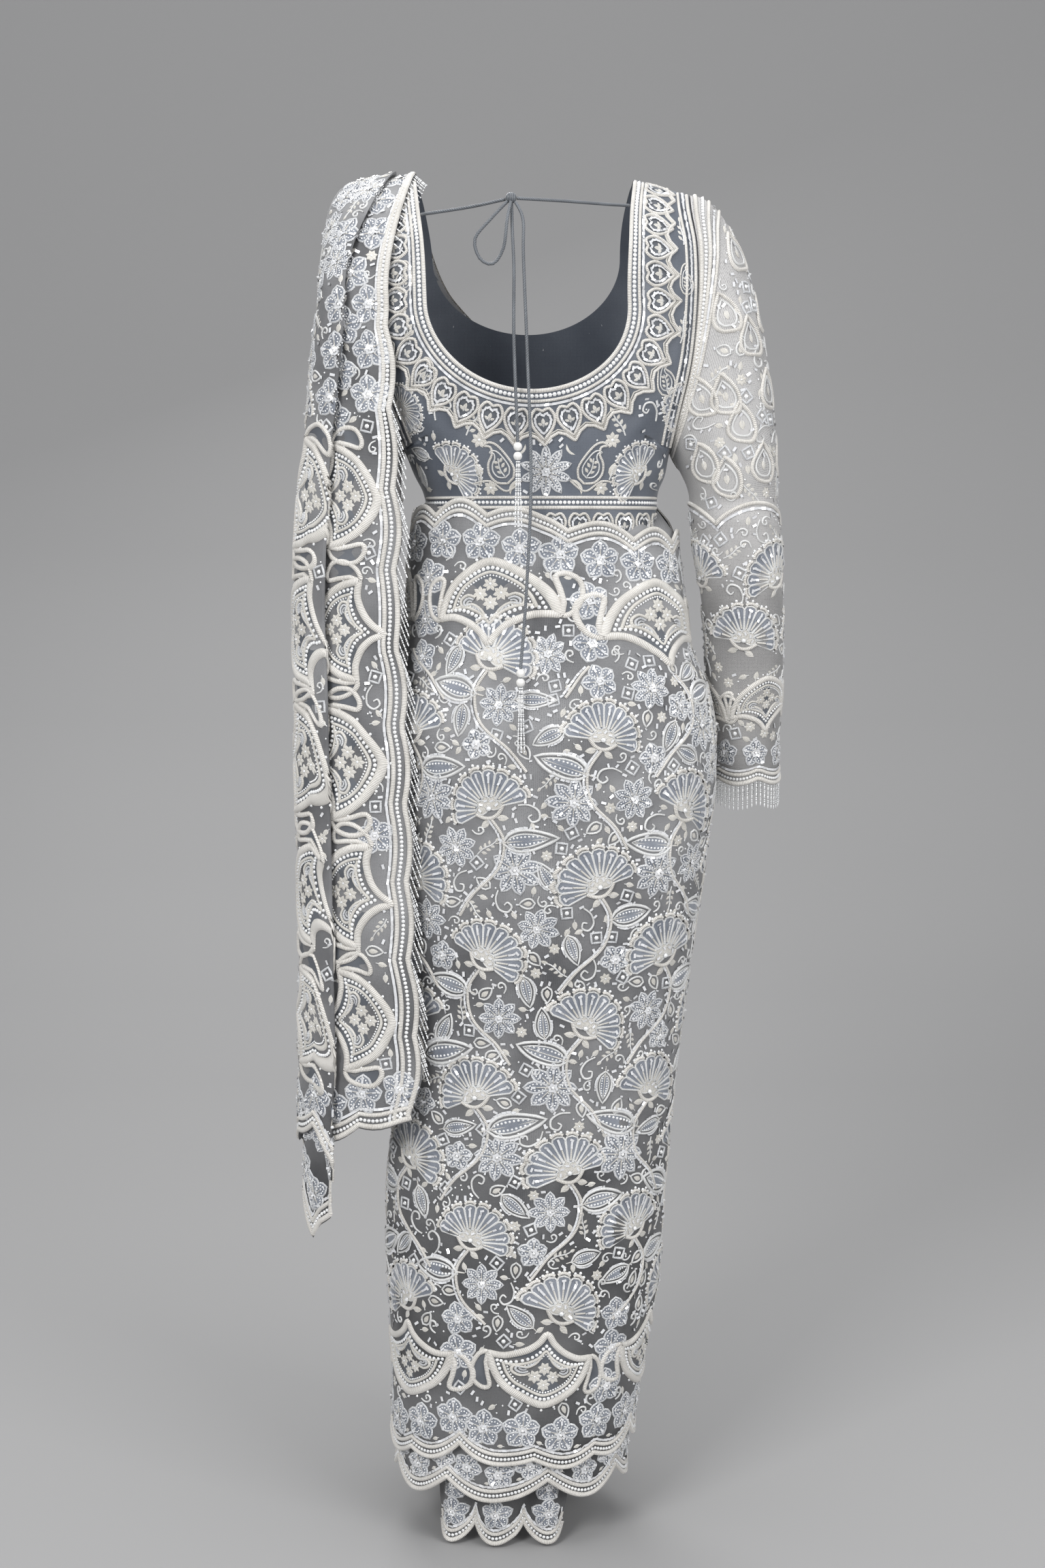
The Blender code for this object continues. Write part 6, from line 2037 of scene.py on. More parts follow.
@dataclass
class ShoulderEnd:
    """The free end of the sari: the drape over the front and the pallu down the back of the arm."""

    workroom: Workroom
    figures: Figures
    folds: Array = field(default_factory=lambda: np.linspace(0.0, len(FOLD_ACROSS) - 1.0,
                                                            6 * (len(FOLD_ACROSS) - 1) + 1))
    pallu_creases: tuple[Crease, ...] = crease_rows(
        (0.050, -0.330, 0.060, -0.860, 0.0120, 0.0014), (0.110, -0.250, 0.125, -0.700, 0.0120, -0.0010),
        (0.400, -0.280, 0.380, -0.900, 0.0150, 0.0020), (0.470, -0.350, 0.455, -1.000, 0.0140, -0.0011),
        (0.530, -0.220, 0.520, -0.800, 0.0130, 0.0016), (0.080, -0.820, 0.170, -0.980, 0.0110, 0.0012))
    drape_creases: tuple[Crease, ...] = crease_rows(
        (0.180, -0.880, 0.240, -0.420, 0.0200, 0.0016), (0.380, -0.930, 0.420, -0.480, 0.0220, 0.0018),
        (0.620, -0.900, 0.640, -0.450, 0.0200, -0.0010), (0.840, -0.860, 0.860, -0.420, 0.0220, 0.0017))

    def stretch(self, name: str, node_name: str, points: Array, wide: float, long: float, outward: float,
                creases: Sequence[Crease]) -> tuple[Chart, bpy.types.Object]:
        """One stretch of the cloth.

        Args:
            name: name of its piece.
            node_name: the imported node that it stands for.
            points: its grid.
            wide: width of its folded section, in its chart.
            long: its length there.
            outward: which way its normals look.
            creases: its ridges and troughs.

        Returns:
            Its chart and its piece.
        """
        us, vs = Folds.unfolded(self.folds) * wide, np.linspace(-long, 0.0, len(points))
        chart = Chart(points, us, vs, outward, creases=creases)
        net = self.workroom.cloth(name, chart.points, us, vs, Finish.NET, outward)
        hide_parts(node_name)
        return chart, net

    def make(self) -> None:
        """Make both stretches and their embroidery."""
        self.pallu, self.pallu_net = self.stretch(
            "pallu_net", "sari_pallu", Folds.pallu(self.folds, 112)[::-1], 0.24, 1.05, -1.0,
            self.pallu_creases)
        self.drape, drape_net = self.stretch(
            "drape_net", "sari_front_drape", Folds.drape(self.folds, 112), 0.35, 1.0, 1.0,
            self.drape_creases)
        work = Embroidery(51)
        self.pallu_work(work)
        self.pallu_parts = work.build(self.workroom, "pallu")
        work = Embroidery(52)
        self.drape_work(work)
        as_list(work.build(self.workroom, "drape"))

    def fold_u(self, chart: Chart, fold: float) -> float:
        """First coordinate of a stretch at a fold number."""
        return np.interp(fold, self.folds, chart.us)

    def pallu_work(self, work: Embroidery) -> None:
        """Medallions stacked along both visible stretches, bands along the edges, and small figures."""
        figures, chart = self.figures, self.pallu
        down = np.linspace(-1.045, -0.003, 520)
        border_band(work, chart, lambda away: (away, down), 1.1)
        reverse = Chart(chart.points, chart.us, chart.vs, outward=1.0)
        for first, last, side in ((0.01, 3.0, chart), (6.6, 13.0, chart), (17.0, 18.99, chart),
                                  (3.6, 6.4, reverse)):
            across = np.linspace(self.fold_u(chart, first), self.fold_u(chart, last), 220)
            border_band(work, side, lambda away: (across, away - 1.049), 1.1)
            work.along(side, across, -1.012, figures.rosette, 0.0430, follow=False)
        for first, last, end in ((0.05, 2.9, -0.40), (4.0, 6.2, -0.86)):
            low, high = self.fold_u(chart, first), self.fold_u(chart, last)
            for row, v in enumerate(np.arange(-0.965, end, 0.046)):
                for u in np.arange(low + 0.022 + 0.02 * (row % 2), high, 0.058):
                    work.stamp(reverse, (figures.rosette, figures.leaf)[row % 2], u, v, 20.0, 0.86)
        for low, high, seed in ((0.023, self.fold_u(chart, 2.2), 53),
                                (self.fold_u(chart, 7.0), self.fold_u(chart, 12.8), 54)):
            layout = Layout(work, chart, self.strip(low, high), seed)
            layout.claim(np.linspace(low, high, 14), -1.012, 0.020)
            self.medallions(layout, low, high)
            self.gathered(layout, low, high)
            small_ones(figures, layout, (low, high), (-1.02, -0.01), 0.8)

    @staticmethod
    def strip(low: float, high: float) -> Callable[[Array, Array], Array]:
        """Says which places are between two coordinates and clear of the pallu's end and seam."""
        return lambda u, v: (u > low) & (u < high) & (v > -1.022) & (v < -0.004)

    def medallions(self, layout: Layout, low: float, high: float) -> None:
        """Medallions, fans and flowers of one hanging stretch between two of its coordinates."""
        figures, random = self.figures, layout.random
        for step, v in enumerate(np.arange(-0.930, -0.30, 0.138)):
            u = low + 0.056 + random.uniform(-0.006, 0.010)
            turn = (90.0 if step % 2 else -90.0) + random.uniform(-9.0, 9.0)
            layout.put(figures.bell, u, v, 0.050, turn, random.uniform(0.88, 1.0))
            layout.claim(u, v + np.array([-0.046, 0.046]), 0.026)
        for u in np.arange(low + 0.125, high, 0.080):
            for v in np.arange(-0.95, -0.22, 0.110):
                layout.put(figures.fan, u, v, 0.034, random.uniform(-30.0, 30.0), 0.98)
                layout.put(figures.rosette, u + 0.012, v + 0.054, 0.020, 0.0, 1.0)
        for v in np.arange(-0.94, -0.20, 0.046):
            layout.put(figures.rosette, high - 0.024, v, 0.0195, 0.0, 0.98)
            layout.put(figures.rosette, low + 0.018, v + 0.02, 0.0195, 10.0, 0.98)

    def gathered(self, layout: Layout, low: float, high: float) -> None:
        """Flowers and leaves where the folds close up towards the shoulder."""
        figures = self.figures
        for step, v in enumerate(np.arange(-0.235, -0.012, 0.0425)):
            for place_at, figure, size, up in ((0.30, figures.rosette, 0.98, 0.0),
                                               (0.76, figures.star, 0.80, 0.012)):
                u = mix(low, high, place_at if step % 2 else 1.0 - place_at)
                layout.put(figure, u, v + up, 0.0215 * size, 15.0 * step, size)
            layout.put(figures.leaf, mix(low, high, 0.5), v + 0.018, 0.013, 70.0, 0.62)

    def drape_work(self, work: Embroidery) -> None:
        """Bands along both edges, and figures in rows between them."""
        figures, chart = self.figures, self.drape
        last = chart.us[-1]
        down = np.linspace(-0.995, -0.003, 520)
        border_band(work, chart, lambda away: (away / 1.1, down))
        border_band(work, chart, lambda away: (last - away / 1.1, down))
        under = [self.fold_u(chart, fold) for fold in (1.9, 6.8, 13.3)]
        layout = Layout(work, chart, lambda u, v: ((u > 0.022) & (u < last - 0.022) & (v < -0.03)
                                                   & ((v < -0.27) | (u < under[0])
                                                      | ((u > under[1]) & (u < under[2])))), 56)
        for v in np.arange(-0.955, -0.1, 0.135):
            for u, turn in ((0.070, -90.0), (last - 0.070, 90.0)):
                if layout.put(figures.bell, u, v, 0.050, turn, 0.92):
                    layout.claim(u, v + np.array([0.04, -0.04]), 0.028)
        for row, v in enumerate(np.arange(-0.96, -0.05, 0.078)):
            for u in np.arange(0.150 + 0.055 * (row % 2), last - 0.12, 0.105):
                wide, _ = chart.scale(u, v)
                layout.put(figures.fan, u, v, 0.036, 24.0 if row % 2 else -24.0, 1.0)
                layout.put(figures.star, u + 0.052 / wide, v + 0.01, 0.024, 0.0, 0.95)
        small_ones(figures, layout, (0.02, last - 0.02), (-0.99, -0.04), 0.65)


@dataclass
class BlouseBody:
    """The lined back and front of the blouse."""

    workroom: Workroom
    figures: Figures
    rows: int = 84
    columns: int = 40
    cell: float = 0.0026
    beyond: float = 0.10
    band_height: float = 0.0505
    stand_off: float = 0.4
    band_place: float = 0.0350
    band_swing: float = 0.0115
    creases: tuple[Crease, ...] = crease_rows(
        (-0.150, 0.190, -0.075, 0.105, 0.0080, 0.0016), (0.160, 0.185, 0.090, 0.110, 0.0090, 0.0014),
        (-0.120, 0.105, -0.030, 0.075, 0.0070, -0.0010), (0.130, 0.120, 0.050, 0.080, 0.0070, -0.0010),
        (-0.165, 0.290, -0.140, 0.190, 0.0070, 0.0012), (0.180, 0.300, 0.155, 0.200, 0.0080, 0.0013))

    def half(self, front: bool, side: float, start: float) -> tuple[Array, Array]:
        """Grid of a half panel from a share of its rows, and the shares."""
        row = np.linspace(0.0, Blouse.last_row - 1e-7 if start < 0.0 else Blouse.last_row, self.rows + 1)
        share = np.linspace(start, 1.0, self.columns + 1)
        share, row = np.meshgrid(share, row)
        share = np.where((row < Blouse.side_row) & (share < 0.0), 0.0, share)
        points = Blouse.panel(row, share, front, side)
        relief = sum(crease.relief(points[..., 0], points[..., 2]) for crease in self.creases)
        edge = ease((1.0 - share) * 8.0) * ease(share * 8.0 + 0.2)
        points[..., 1] += (-1.0 if front else 1.0) * relief * edge
        return points, share

    def make(self) -> None:
        """Make both panels and their embroidery."""
        self.charts: dict[str, Chart] = {}
        self.masks: dict[str, BVHTree] = {}
        self.panels: dict[str, bpy.types.Object] = {}
        for word, front in (("back", False), ("front", True)):
            outward = 1.0 if front else -1.0
            sheet = bmesh.new()
            layer = sheet.loops.layers.uv.new(UV_NAME)
            for side in (-1.0, 1.0):
                points, _ = self.half(front, side, 0.0)
                self.workroom.grid_into(sheet, layer, points, points[..., 0], points[..., 2], outward * side)
            bmesh.ops.remove_doubles(sheet, verts=sheet.verts, dist=1e-5)
            mesh = bpy.data.meshes.new(f"blouse_{word}_lining")
            sheet.to_mesh(mesh)
            self.masks[word] = BVHTree.FromBMesh(sheet)
            sheet.free()
            piece = self.workroom.keep(f"blouse_{word}_lining", mesh, Finish.LINING)
            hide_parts("blouse_" + word)
            self.panels[word] = piece
            self.charts[word] = self.chart(front)
        work = Embroidery(21)
        self.trim(work, "back")
        self.back_field(work)
        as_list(work.build(self.workroom, "blouse_back"))
        work = Embroidery(22)
        self.trim(work, "front")
        self.front_field(work)
        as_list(work.build(self.workroom, "blouse_front"))

    def chart(self, front: bool) -> Chart:
        """Chart in x and z, cast onto a panel that runs on a little past its neckline."""
        verts, faces = [], []
        for side in (-1.0, 1.0):
            points, _ = self.half(front, side, -self.beyond)
            rows, columns = points.shape[:2]
            start = len(verts)
            verts += [tuple(point) for point in points.reshape(-1, 3)]
            corners = [start + row * columns + column
                       for row in range(rows - 1) for column in range(columns - 1)]
            faces += [(a, a + 1, a + columns + 1, a + columns) for a in corners]
        tree = BVHTree.FromPolygons(verts, faces)
        xs = np.arange(-0.186, 0.222, self.cell)
        zs = np.arange(-0.004, 0.402, self.cell)
        points = np.full((len(zs), len(xs), 3), np.nan)
        normals = np.full((len(zs), len(xs), 3), np.nan)
        towards = 1.0 if front else -1.0
        for i, z in enumerate(zs):
            for j, x in enumerate(xs):
                hit, normal, _, _ = self.cast(tree, front, x, z)
                if hit is not None:
                    points[i, j] = hit
                    normals[i, j] = normal if normal.y * towards < 0 else -normal
        return Chart(points, xs, zs, outward=towards, normals=normals)

    def cast(self, tree: BVHTree, front: bool, x: float, z: float) -> tuple:
        """What a ray from outside the front or the back meets at a place in x and z."""
        towards = 1.0 if front else -1.0
        return tree.ray_cast(Vector((x, -towards * self.stand_off, z)), Vector((0.0, towards, 0.0)))

    def inside(self, word: str, u: Array, v: Array) -> Array:
        """Which places are on a panel's cloth."""
        return np.array([self.cast(self.masks[word], word == "front", x, z)[0] is not None
                         for x, z in zip(np.ravel(u), np.ravel(v))])

    @staticmethod
    def neck_line(front: bool, away: Array | float, points: int = 260) -> tuple[Array, Array]:
        """Line round the neckline at one or many distances from its edge, in x and z, right to left."""
        row = np.linspace(Blouse.last_row - 0.15, Blouse.side_row, points // 2)
        half, height = Blouse.neck_edge(row, front)
        centre = TORSO.read("centre", height)
        xs = np.concatenate([centre - half, (centre + half)[::-1][1:]])
        zs = np.concatenate([height, height[::-1][1:]]) - WAIST_HEIGHT
        strap = 1.0 - 0.22 * ease((row - 9.5) / 4.5)
        return aside(xs, zs, away * np.concatenate([strap, strap[::-1][1:]]))

    @staticmethod
    def arm_line(front: bool, side: float, away: float) -> tuple[Array, Array]:
        """Line inside one armhole at a distance from its seam, in x and z."""
        half, height = Blouse.armhole_edge(np.linspace(4.6, Blouse.last_row - 0.1, 160))
        centre = TORSO.read("centre", height)
        return aside(centre + side * half, height - WAIST_HEIGHT, -side * away)

    def trim(self, work: Embroidery, word: str) -> None:
        """Trim of the neckline and armholes of one panel."""
        chart, front = self.charts[word], word == "front"
        for away, width in ((0.0024, 0.0044), (0.0132, 0.0034)):
            work.cord(chart, *self.neck_line(front, away), Finish.CORD, width, 0.0019)
        for away, finish, pitch, radius in ((0.0078, Finish.BEAD, 0.0048, 0.0024),
                                            (0.0174, Finish.SEQUIN, 0.0044, 0.0022)):
            work.row(chart, *self.neck_line(front, away), finish, pitch, radius)
        us, vs = self.neck_line(front, self.band_place)
        lengths = walked(np.stack([us, vs], axis=1))
        drops = int(round(lengths[-1] / 0.0286))
        work.along(chart, us, vs, self.figures.heart, lengths[-1] / drops, turn=0.0, size=1.14)
        fine = 800
        us, vs = self.neck_line(front, self.band_place, fine)
        lengths = walked(np.stack([us, vs], axis=1))
        from_middle = np.abs(2.0 * np.mod(lengths / lengths[-1] * drops, 1.0) - 1.0)
        step = np.where(from_middle < 0.5, 1.0 - 1.45 * from_middle, 0.55 * (1.0 - from_middle))
        for start, finish, width, height in ((0.0478, Finish.CORD, 0.0036, 0.0021),
                                             (0.0446, Finish.CREAM, 0.0014, 0.0016)):
            line = self.neck_line(front, start + self.band_swing * step, fine)
            work.cord(chart, *line, finish, width, height)
        for side in (-1.0, 1.0):
            for away, width in ((0.0030, 0.0040), (0.0130, 0.0030)):
                work.cord(chart, *self.arm_line(front, side, away), Finish.CORD, width, 0.0019)
            work.row(chart, *self.arm_line(front, side, 0.0080), Finish.SEQUIN, 0.0046, 0.0023)

    def field_layout(self, work: Embroidery, word: str, seed: int) -> Layout:
        """Layout of a panel's field, with the trims taken."""
        front = word == "front"
        layout = Layout(work, self.charts[word], lambda u, v: self.inside(word, u, v), seed)
        lines = [self.neck_line(front, away, 90) for away in (0.004, 0.016, 0.030, 0.044, 0.055)]
        lines += [self.arm_line(front, side, away) for side in (-1.0, 1.0) for away in (0.004, 0.014)]
        for us, vs in lines:
            layout.claim(us, vs, 0.0080)
        return layout

    def waistband(self, layout: Layout, word: str) -> None:
        """Bead band with a row of drops below it, along the lower edge."""
        work, chart, height = layout.work, self.charts[word], self.band_height
        xs = np.linspace(-0.1385, 0.1385, 200) + TORSO.read("centre", 1.17)
        for up, width in ((0.0, 0.0038), (0.0108, 0.0032)):
            work.cord(chart, xs, height + up, Finish.CORD, width, 0.0019)
        work.row(chart, xs, height + 0.0055, Finish.BEAD, 0.0046, 0.0021)
        work.along(chart, xs, height - 0.0185, self.figures.heart, 0.0262, turn=0.0, follow=False)
        layout.claim(xs[::6], height + 0.005, 0.009)
        layout.claim(xs[::6], height - 0.014, 0.014)

    def back_field(self, work: Embroidery) -> None:
        """Field of the back: a centre flower between two paisleys, fans at the sides and small leaves."""
        figures, chart, middle = self.figures, self.charts["back"], -0.0030
        layout = self.field_layout(work, "back", 31)
        taken = layout.taken
        layout.taken = taken[(np.abs(taken[:, 0] - middle) > 0.07) | (taken[:, 1] > 0.125)]
        self.waistband(layout, "back")
        work.stamp(chart, figures.crown, middle, 0.0885, size=0.94)
        layout.claim(middle, 0.0885, 0.027)
        for side in (-1.0, 1.0):
            for figure, x, z, turn, size, radius in (
                    (figures.paisley, 0.0485, 0.0940, -24.0, 1.16, 0.025),
                    (figures.crescent, 0.0325, 0.0720, 35.0, 0.62, 0.008),
                    (figures.crescent, 0.0265, 0.1120, -140.0, 0.45, 0.007),
                    (figures.daisy, 0.0590, 0.0715, 0.0, 1.25, 0.009),
                    (figures.bud, 0.0690, 0.0830, -20.0, 1.5, 0.009),
                    (figures.daisy, 0.0710, 0.1220, 0.0, 1.35, 0.010),
                    (figures.fan, 0.1010, 0.0860, 52.0, 0.84, 0.036),
                    (figures.sprig, 0.0850, 0.1270, 30.0, 0.85, 0.016),
                    (figures.curl, 0.1180, 0.1430, 20.0, 0.95, 0.014),
                    (figures.paisley, 0.1280, 0.1850, 12.0, 0.95, 0.021),
                    (figures.fan, 0.1560, 0.1560, 70.0, 0.70, 0.028),
                    (figures.sprig, 0.1440, 0.2250, -12.0, 0.90, 0.016),
                    (figures.paisley, 0.1500, 0.2900, 8.0, 0.80, 0.018),
                    (figures.sprig, 0.1480, 0.3300, 10.0, 0.80, 0.014)):
                work.stamp(chart, figure, middle + side * x, z, -side * turn, size, side > 0)
                layout.claim(middle + side * x, z, radius)
            layout.claim(middle + side * 0.1010, 0.1020, 0.030)
            stem = bend([(middle + side * 0.026, 0.079), (middle + side * 0.042, 0.0680),
                         (middle + side * 0.060, 0.0785), (middle + side * 0.078, 0.0760)], 6)
            work.cord(chart, stem[:, 0], stem[:, 1], Finish.CORD, 0.0022, 0.0016)
        for motif, radius, tries, size, high in (
                (figures.leaf, 0.0120, 240, 0.52, 0.013), (figures.daisy, 0.0082, 420, 1.20, 0.0),
                (figures.bud, 0.0060, 800, 1.35, 0.007), (figures.comma, 0.0056, 700, 0.95, 0.006)):
            layout.sow(motif, radius, tries, (-0.17, 0.21), (0.06, 0.39), size, high)
        small_ones(figures, layout, (-0.17, 0.21), (0.03, 0.39), 0.8, 0.60)

    def front_field(self, work: Embroidery) -> None:
        """Field of the front."""
        figures = self.figures
        layout = self.field_layout(work, "front", 32)
        self.waistband(layout, "front")
        for side in (-1.0, 1.0):
            for x, z in ((0.045, 0.195), (0.105, 0.250), (0.055, 0.115), (0.120, 0.170), (0.105, 0.090),
                         (0.150, 0.310)):
                layout.put(figures.fan, 0.012 + side * x, z, 0.034, -side * 14.0, 0.95, side < 0)
            for x, z in ((0.085, 0.150), (0.0, 0.150), (0.0, 0.090), (0.130, 0.120), (0.140, 0.220)):
                layout.put(figures.star, 0.012 + side * x, z, 0.024, 0.0, 0.9)
        small_ones(figures, layout, (-0.17, 0.21), (0.03, 0.39), 0.8)


@dataclass
class Sleeves:
    """The two long sheer sleeves."""

    workroom: Workroom
    figures: Figures
    around: float = 0.30
    creases: tuple[Crease, ...] = crease_rows(
        (0.015, 0.332, 0.120, 0.318, 0.0080, -0.0014), (0.030, 0.300, 0.150, 0.305, 0.0090, 0.0020),
        (0.170, 0.330, 0.285, 0.322, 0.0080, 0.0016), (0.160, 0.290, 0.270, 0.300, 0.0080, -0.0012),
        (0.020, 0.230, 0.110, 0.205, 0.0100, 0.0014), (0.180, 0.245, 0.280, 0.220, 0.0100, 0.0014),
        (0.040, 0.450, 0.130, 0.500, 0.0110, 0.0018), (0.200, 0.520, 0.280, 0.460, 0.0110, 0.0016))
    charts: dict[str, Chart] = field(default_factory=dict)
    nets: dict[str, bpy.types.Object] = field(default_factory=dict)
    parts: dict[str, list[bpy.types.Object]] = field(default_factory=dict)

    def make(self) -> None:
        """Make both sleeves and their embroidery."""
        for word, side in (("right", -1.0), ("left", 1.0)):
            points = Blouse.sleeve(side, 92, 48)[::-1]
            us = np.linspace(0.0, self.around, points.shape[1])
            vs = summed(np.linalg.norm(np.diff(points, axis=0), axis=2).mean(axis=1))
            chart = Chart(points, us, vs, outward=side, closed=True, creases=self.creases)
            chart.points[:, -1], chart.normals[:, -1] = chart.points[:, 0], chart.normals[:, 0]
            self.charts[word] = chart
            piece = self.workroom.cloth(f"sleeve_{word}_net", chart.points, us, vs, Finish.SLEEVE_NET,
                                        outward=side, merge=True)
            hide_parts("sleeve_" + word)
            work = Embroidery(61 if side < 0 else 62)
            self.dress(work, chart, vs[-1], 63 if side < 0 else 64)
            self.nets[word], self.parts[word] = piece, work.build(self.workroom, f"sleeve_{word}")

    def dress(self, work: Embroidery, chart: Chart, top: float, seed: int) -> None:
        """Cuff border, medallions, fans on the forearm, an arched line and drops up to the armhole.

        Args:
            work: where it is stitched.
            chart: the sleeve.
            top: second coordinate of its armhole.
            seed: seed of the small figures' places.
        """
        figures = self.figures
        us = np.linspace(0.0, self.around - 1e-6, 240)
        border_band(work, chart, lambda away: (us, away + 0.0003), 0.9)
        for away, width in ((0.003, 0.0046), (0.0125, 0.0040), (0.0215, 0.0034)):
            work.cord(chart, us, top - away, Finish.CORD, width, 0.0020)
        work.row(chart, us, top - 0.0078, Finish.BEAD, 0.0044, 0.0020)
        work.row(chart, us, top - 0.0170, Finish.SEQUIN, 0.0046, 0.0021)
        layout = Layout(work, chart, lambda u, v: (v > 0.022) & (v < top - 0.028), seed)
        work.along(chart, us, 0.0350, figures.small_rosette, 0.0340, follow=False, size=0.92)
        layout.claim(us[::6], 0.032, 0.016)
        for u in (0.050, 0.150, 0.250):
            work.stamp(chart, figures.bell, u, 0.0960, 0.0, 0.70)
            layout.claim(u, 0.0960, 0.026)
            layout.claim(u + np.array([-0.030, 0.030]), 0.0960, 0.020)
            layout.put(figures.daisy, u + 0.050, 0.118, 0.008)
            layout.put(figures.small_rosette, u + 0.050, 0.080, 0.016, 0.0, 0.8)
            layout.put(figures.fan, u + 0.030, 0.166, 0.036, -14.0, 1.0)
            layout.put(figures.fan, u - 0.016, 0.236, 0.036, 16.0, 1.0)
        arch = 0.296 + 0.024 * lobes(us, 0.10) ** 0.7
        work.cord(chart, us, arch, Finish.CORD, 0.0046, 0.0022)
        work.row(chart, us, arch - 0.0060, Finish.SEQUIN, 0.0046, 0.0022)
        layout.claim(us[::6], arch[::6] - 0.002, 0.007)
        for row, v in enumerate(np.arange(0.350, top - 0.036, 0.0450)):
            count = int(round(self.around * chart.scale(0.5 * self.around, v)[0] / 0.0490))
            for step in range(count):
                layout.put(figures.teardrop, (step + 0.5 * (row % 2)) * self.around / count, v, 0.0150,
                           180.0, 1.22)
        small_ones(figures, layout, (0.0, self.around), (0.02, top - 0.02), 0.7, 0.60)


@dataclass
class BackTie:
    """The cord across the bare upper back, its knot, loop and two tails with pearls and bead tassels."""

    workroom: Workroom
    diameter: float = 0.0035
    knot_radius: float = 0.0060
    seam_gap: float = 0.0003
    pearl_radius: float = 0.0048
    into_tassel: float = 0.010
    knot: tuple[float, float, float] = (0.034, 0.0975, 1.493)

    def leave_knot(self, *direction: float) -> Array:
        """Point just outside the knot in a direction."""
        return place(*self.knot) + unit(np.array(direction)) * (self.knot_radius + self.seam_gap)

    @staticmethod
    def rim(row: float, side: float, bend: Array) -> Array:
        """Where the cord leaves the cut edge of the back neckline."""
        low = math.floor(row)
        ends = Blouse.panel(np.array([low, low + 1.0]), np.zeros(2), False, side)
        edge = mix(ends[0], ends[1], row - low)
        edge = edge + np.array([-0.5 * side, -math.sqrt(0.75), 0.0]) * 0.00075
        return edge + unit(bend - edge) * 0.0018

    def make(self) -> None:
        """Make the cords and what hangs on them."""
        left = [place(0.112, 0.0795, 1.481), place(0.075, 0.0915, 1.485)]
        right = [place(-0.065, 0.0750, 1.490), place(-0.020, 0.0905, 1.491)]
        self.cord("tie_left", [self.rim(12.7, 1.0, left[0]), *left, self.leave_knot(1.0, -0.15, -0.20)],
                  "knot", "taut")
        self.cord("tie_right", [self.rim(12.99, -1.0, right[0]), *right,
                                self.leave_knot(-1.0, -0.10, -0.05)], "knot", "taut")
        loop = [(0.056, 0.1030, 1.470), (0.072, 0.1040, 1.450), (0.067, 0.1060, 1.430),
                (0.053, 0.1090, 1.424), (0.042, 0.1100, 1.440), (0.038, 0.1090, 1.470)]
        self.cord("tie_loop", [self.leave_knot(0.62, 0.45, -0.64), *(place(*at) for at in loop),
                               self.leave_knot(0.05, 0.72, -0.69)], "object", "hanging")
        short = [(0.0325, 0.1040, 1.455), (0.031, 0.1110, 1.416), (0.031, 0.1170, 1.345),
                 (0.027, 0.1185, 1.239)]
        long = [(0.0215, 0.1050, 1.470), (0.021, 0.1110, 1.430), (0.017, 0.1160, 1.330),
                (0.013, 0.1200, 1.200), (0.018, 0.1270, 1.080), (0.024, 0.1375, 1.001)]
        self.tail("short", (-0.08, 0.10, -0.99), short)
        self.tail("long", (-0.68, 0.30, -0.67), long)
        work = Stitchwork()
        along = np.array([1.0, 0.0, 0.3])
        work.add(Finish.TIE, *ball(place(*self.knot), self.knot_radius, along, 1.0, 14, 8))
        work.build_for("tie_knot", self.workroom, "tie_knot")

    def cord(self, node: str, points: Sequence[Array], far_end: str, lay: str,
             hanging: Sequence[bpy.types.Object] = (), through: Array | None = None) -> None:
        """One length of the cord, declared with its real length.

        Args:
            node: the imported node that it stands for.
            points: its route.
            far_end: what is at its far end.
            lay: how it lies.
            hanging: pieces threaded on it.
            through: where it ends inside them.
        """
        path = bend(points, pitch=0.006)
        if through is not None:
            path = np.concatenate([path, np.linspace(path[-1], through, 6)[1:]])
        work = Stitchwork()
        work.add(Finish.TIE, *tube(path, self.diameter / 2.0, 10))
        piece = work.build_for(node, self.workroom, node + "_cord")
        length = float(np.linalg.norm(np.diff(path, axis=0), axis=1).sum())
        list(hanging)
        LOG.info("%s is %.0f mm long", node, length * 1000.0)

    def tail(self, word: str, leave: tuple[float, float, float], bends: Rows) -> None:
        """One hanging tail with its pearls and tassel."""
        points = [self.leave_knot(*leave), *(place(*at) for at in bends)]
        hanging = []
        at = points[-1].copy()
        through = at + DOWN * (4.0 * self.pearl_radius + self.into_tassel)
        at[2] -= self.seam_gap + self.pearl_radius
        for number in (1, 2):
            work = Stitchwork()
            work.add(Finish.PEARL, *ball(at, self.pearl_radius, -DOWN, 1.0, 16, 10))
            pearl = f"tie_pearl_{word}_{number}"
            hanging.append(work.build_for(pearl, self.workroom, pearl + "_round"))
            at[2] -= self.seam_gap + 2.0 * self.pearl_radius
        at[2] += self.pearl_radius
        work = Stitchwork()
        for step in range(7):
            angle = 2.0 * math.pi * step / 7.0
            spread = np.array([math.cos(angle), math.sin(angle), 0.0]) * (0.0032 if step else 0.0)
            bead_strand(work, at + spread * 0.6, DOWN + spread * 12.0, 0.070)
        hanging.append(work.build_for("tie_tassel_" + word, self.workroom, f"tie_tassel_{word}_strands"))
        self.cord("tie_tail_" + word, points, "fitting", "hanging", hanging, through)


def bead_strand(work: Stitchwork, start: Array, direction: Array, length: float) -> None:
    """Hang one strand of round and bugle beads."""
    direction = unit(np.asarray(direction, float))
    at, number = 0.0, 0
    while at < length - 0.001:
        bugle = number % 3 == 1
        radius, stretch = (0.0009, 3.1) if bugle else (0.0012, 0.85)
        step = radius * stretch
        at += step
        work.add(Finish.BEAD, *ball(start + direction * at, radius, direction, stretch, 5, 4 if bugle else 3))
        at += step + 0.0001
        number += 1


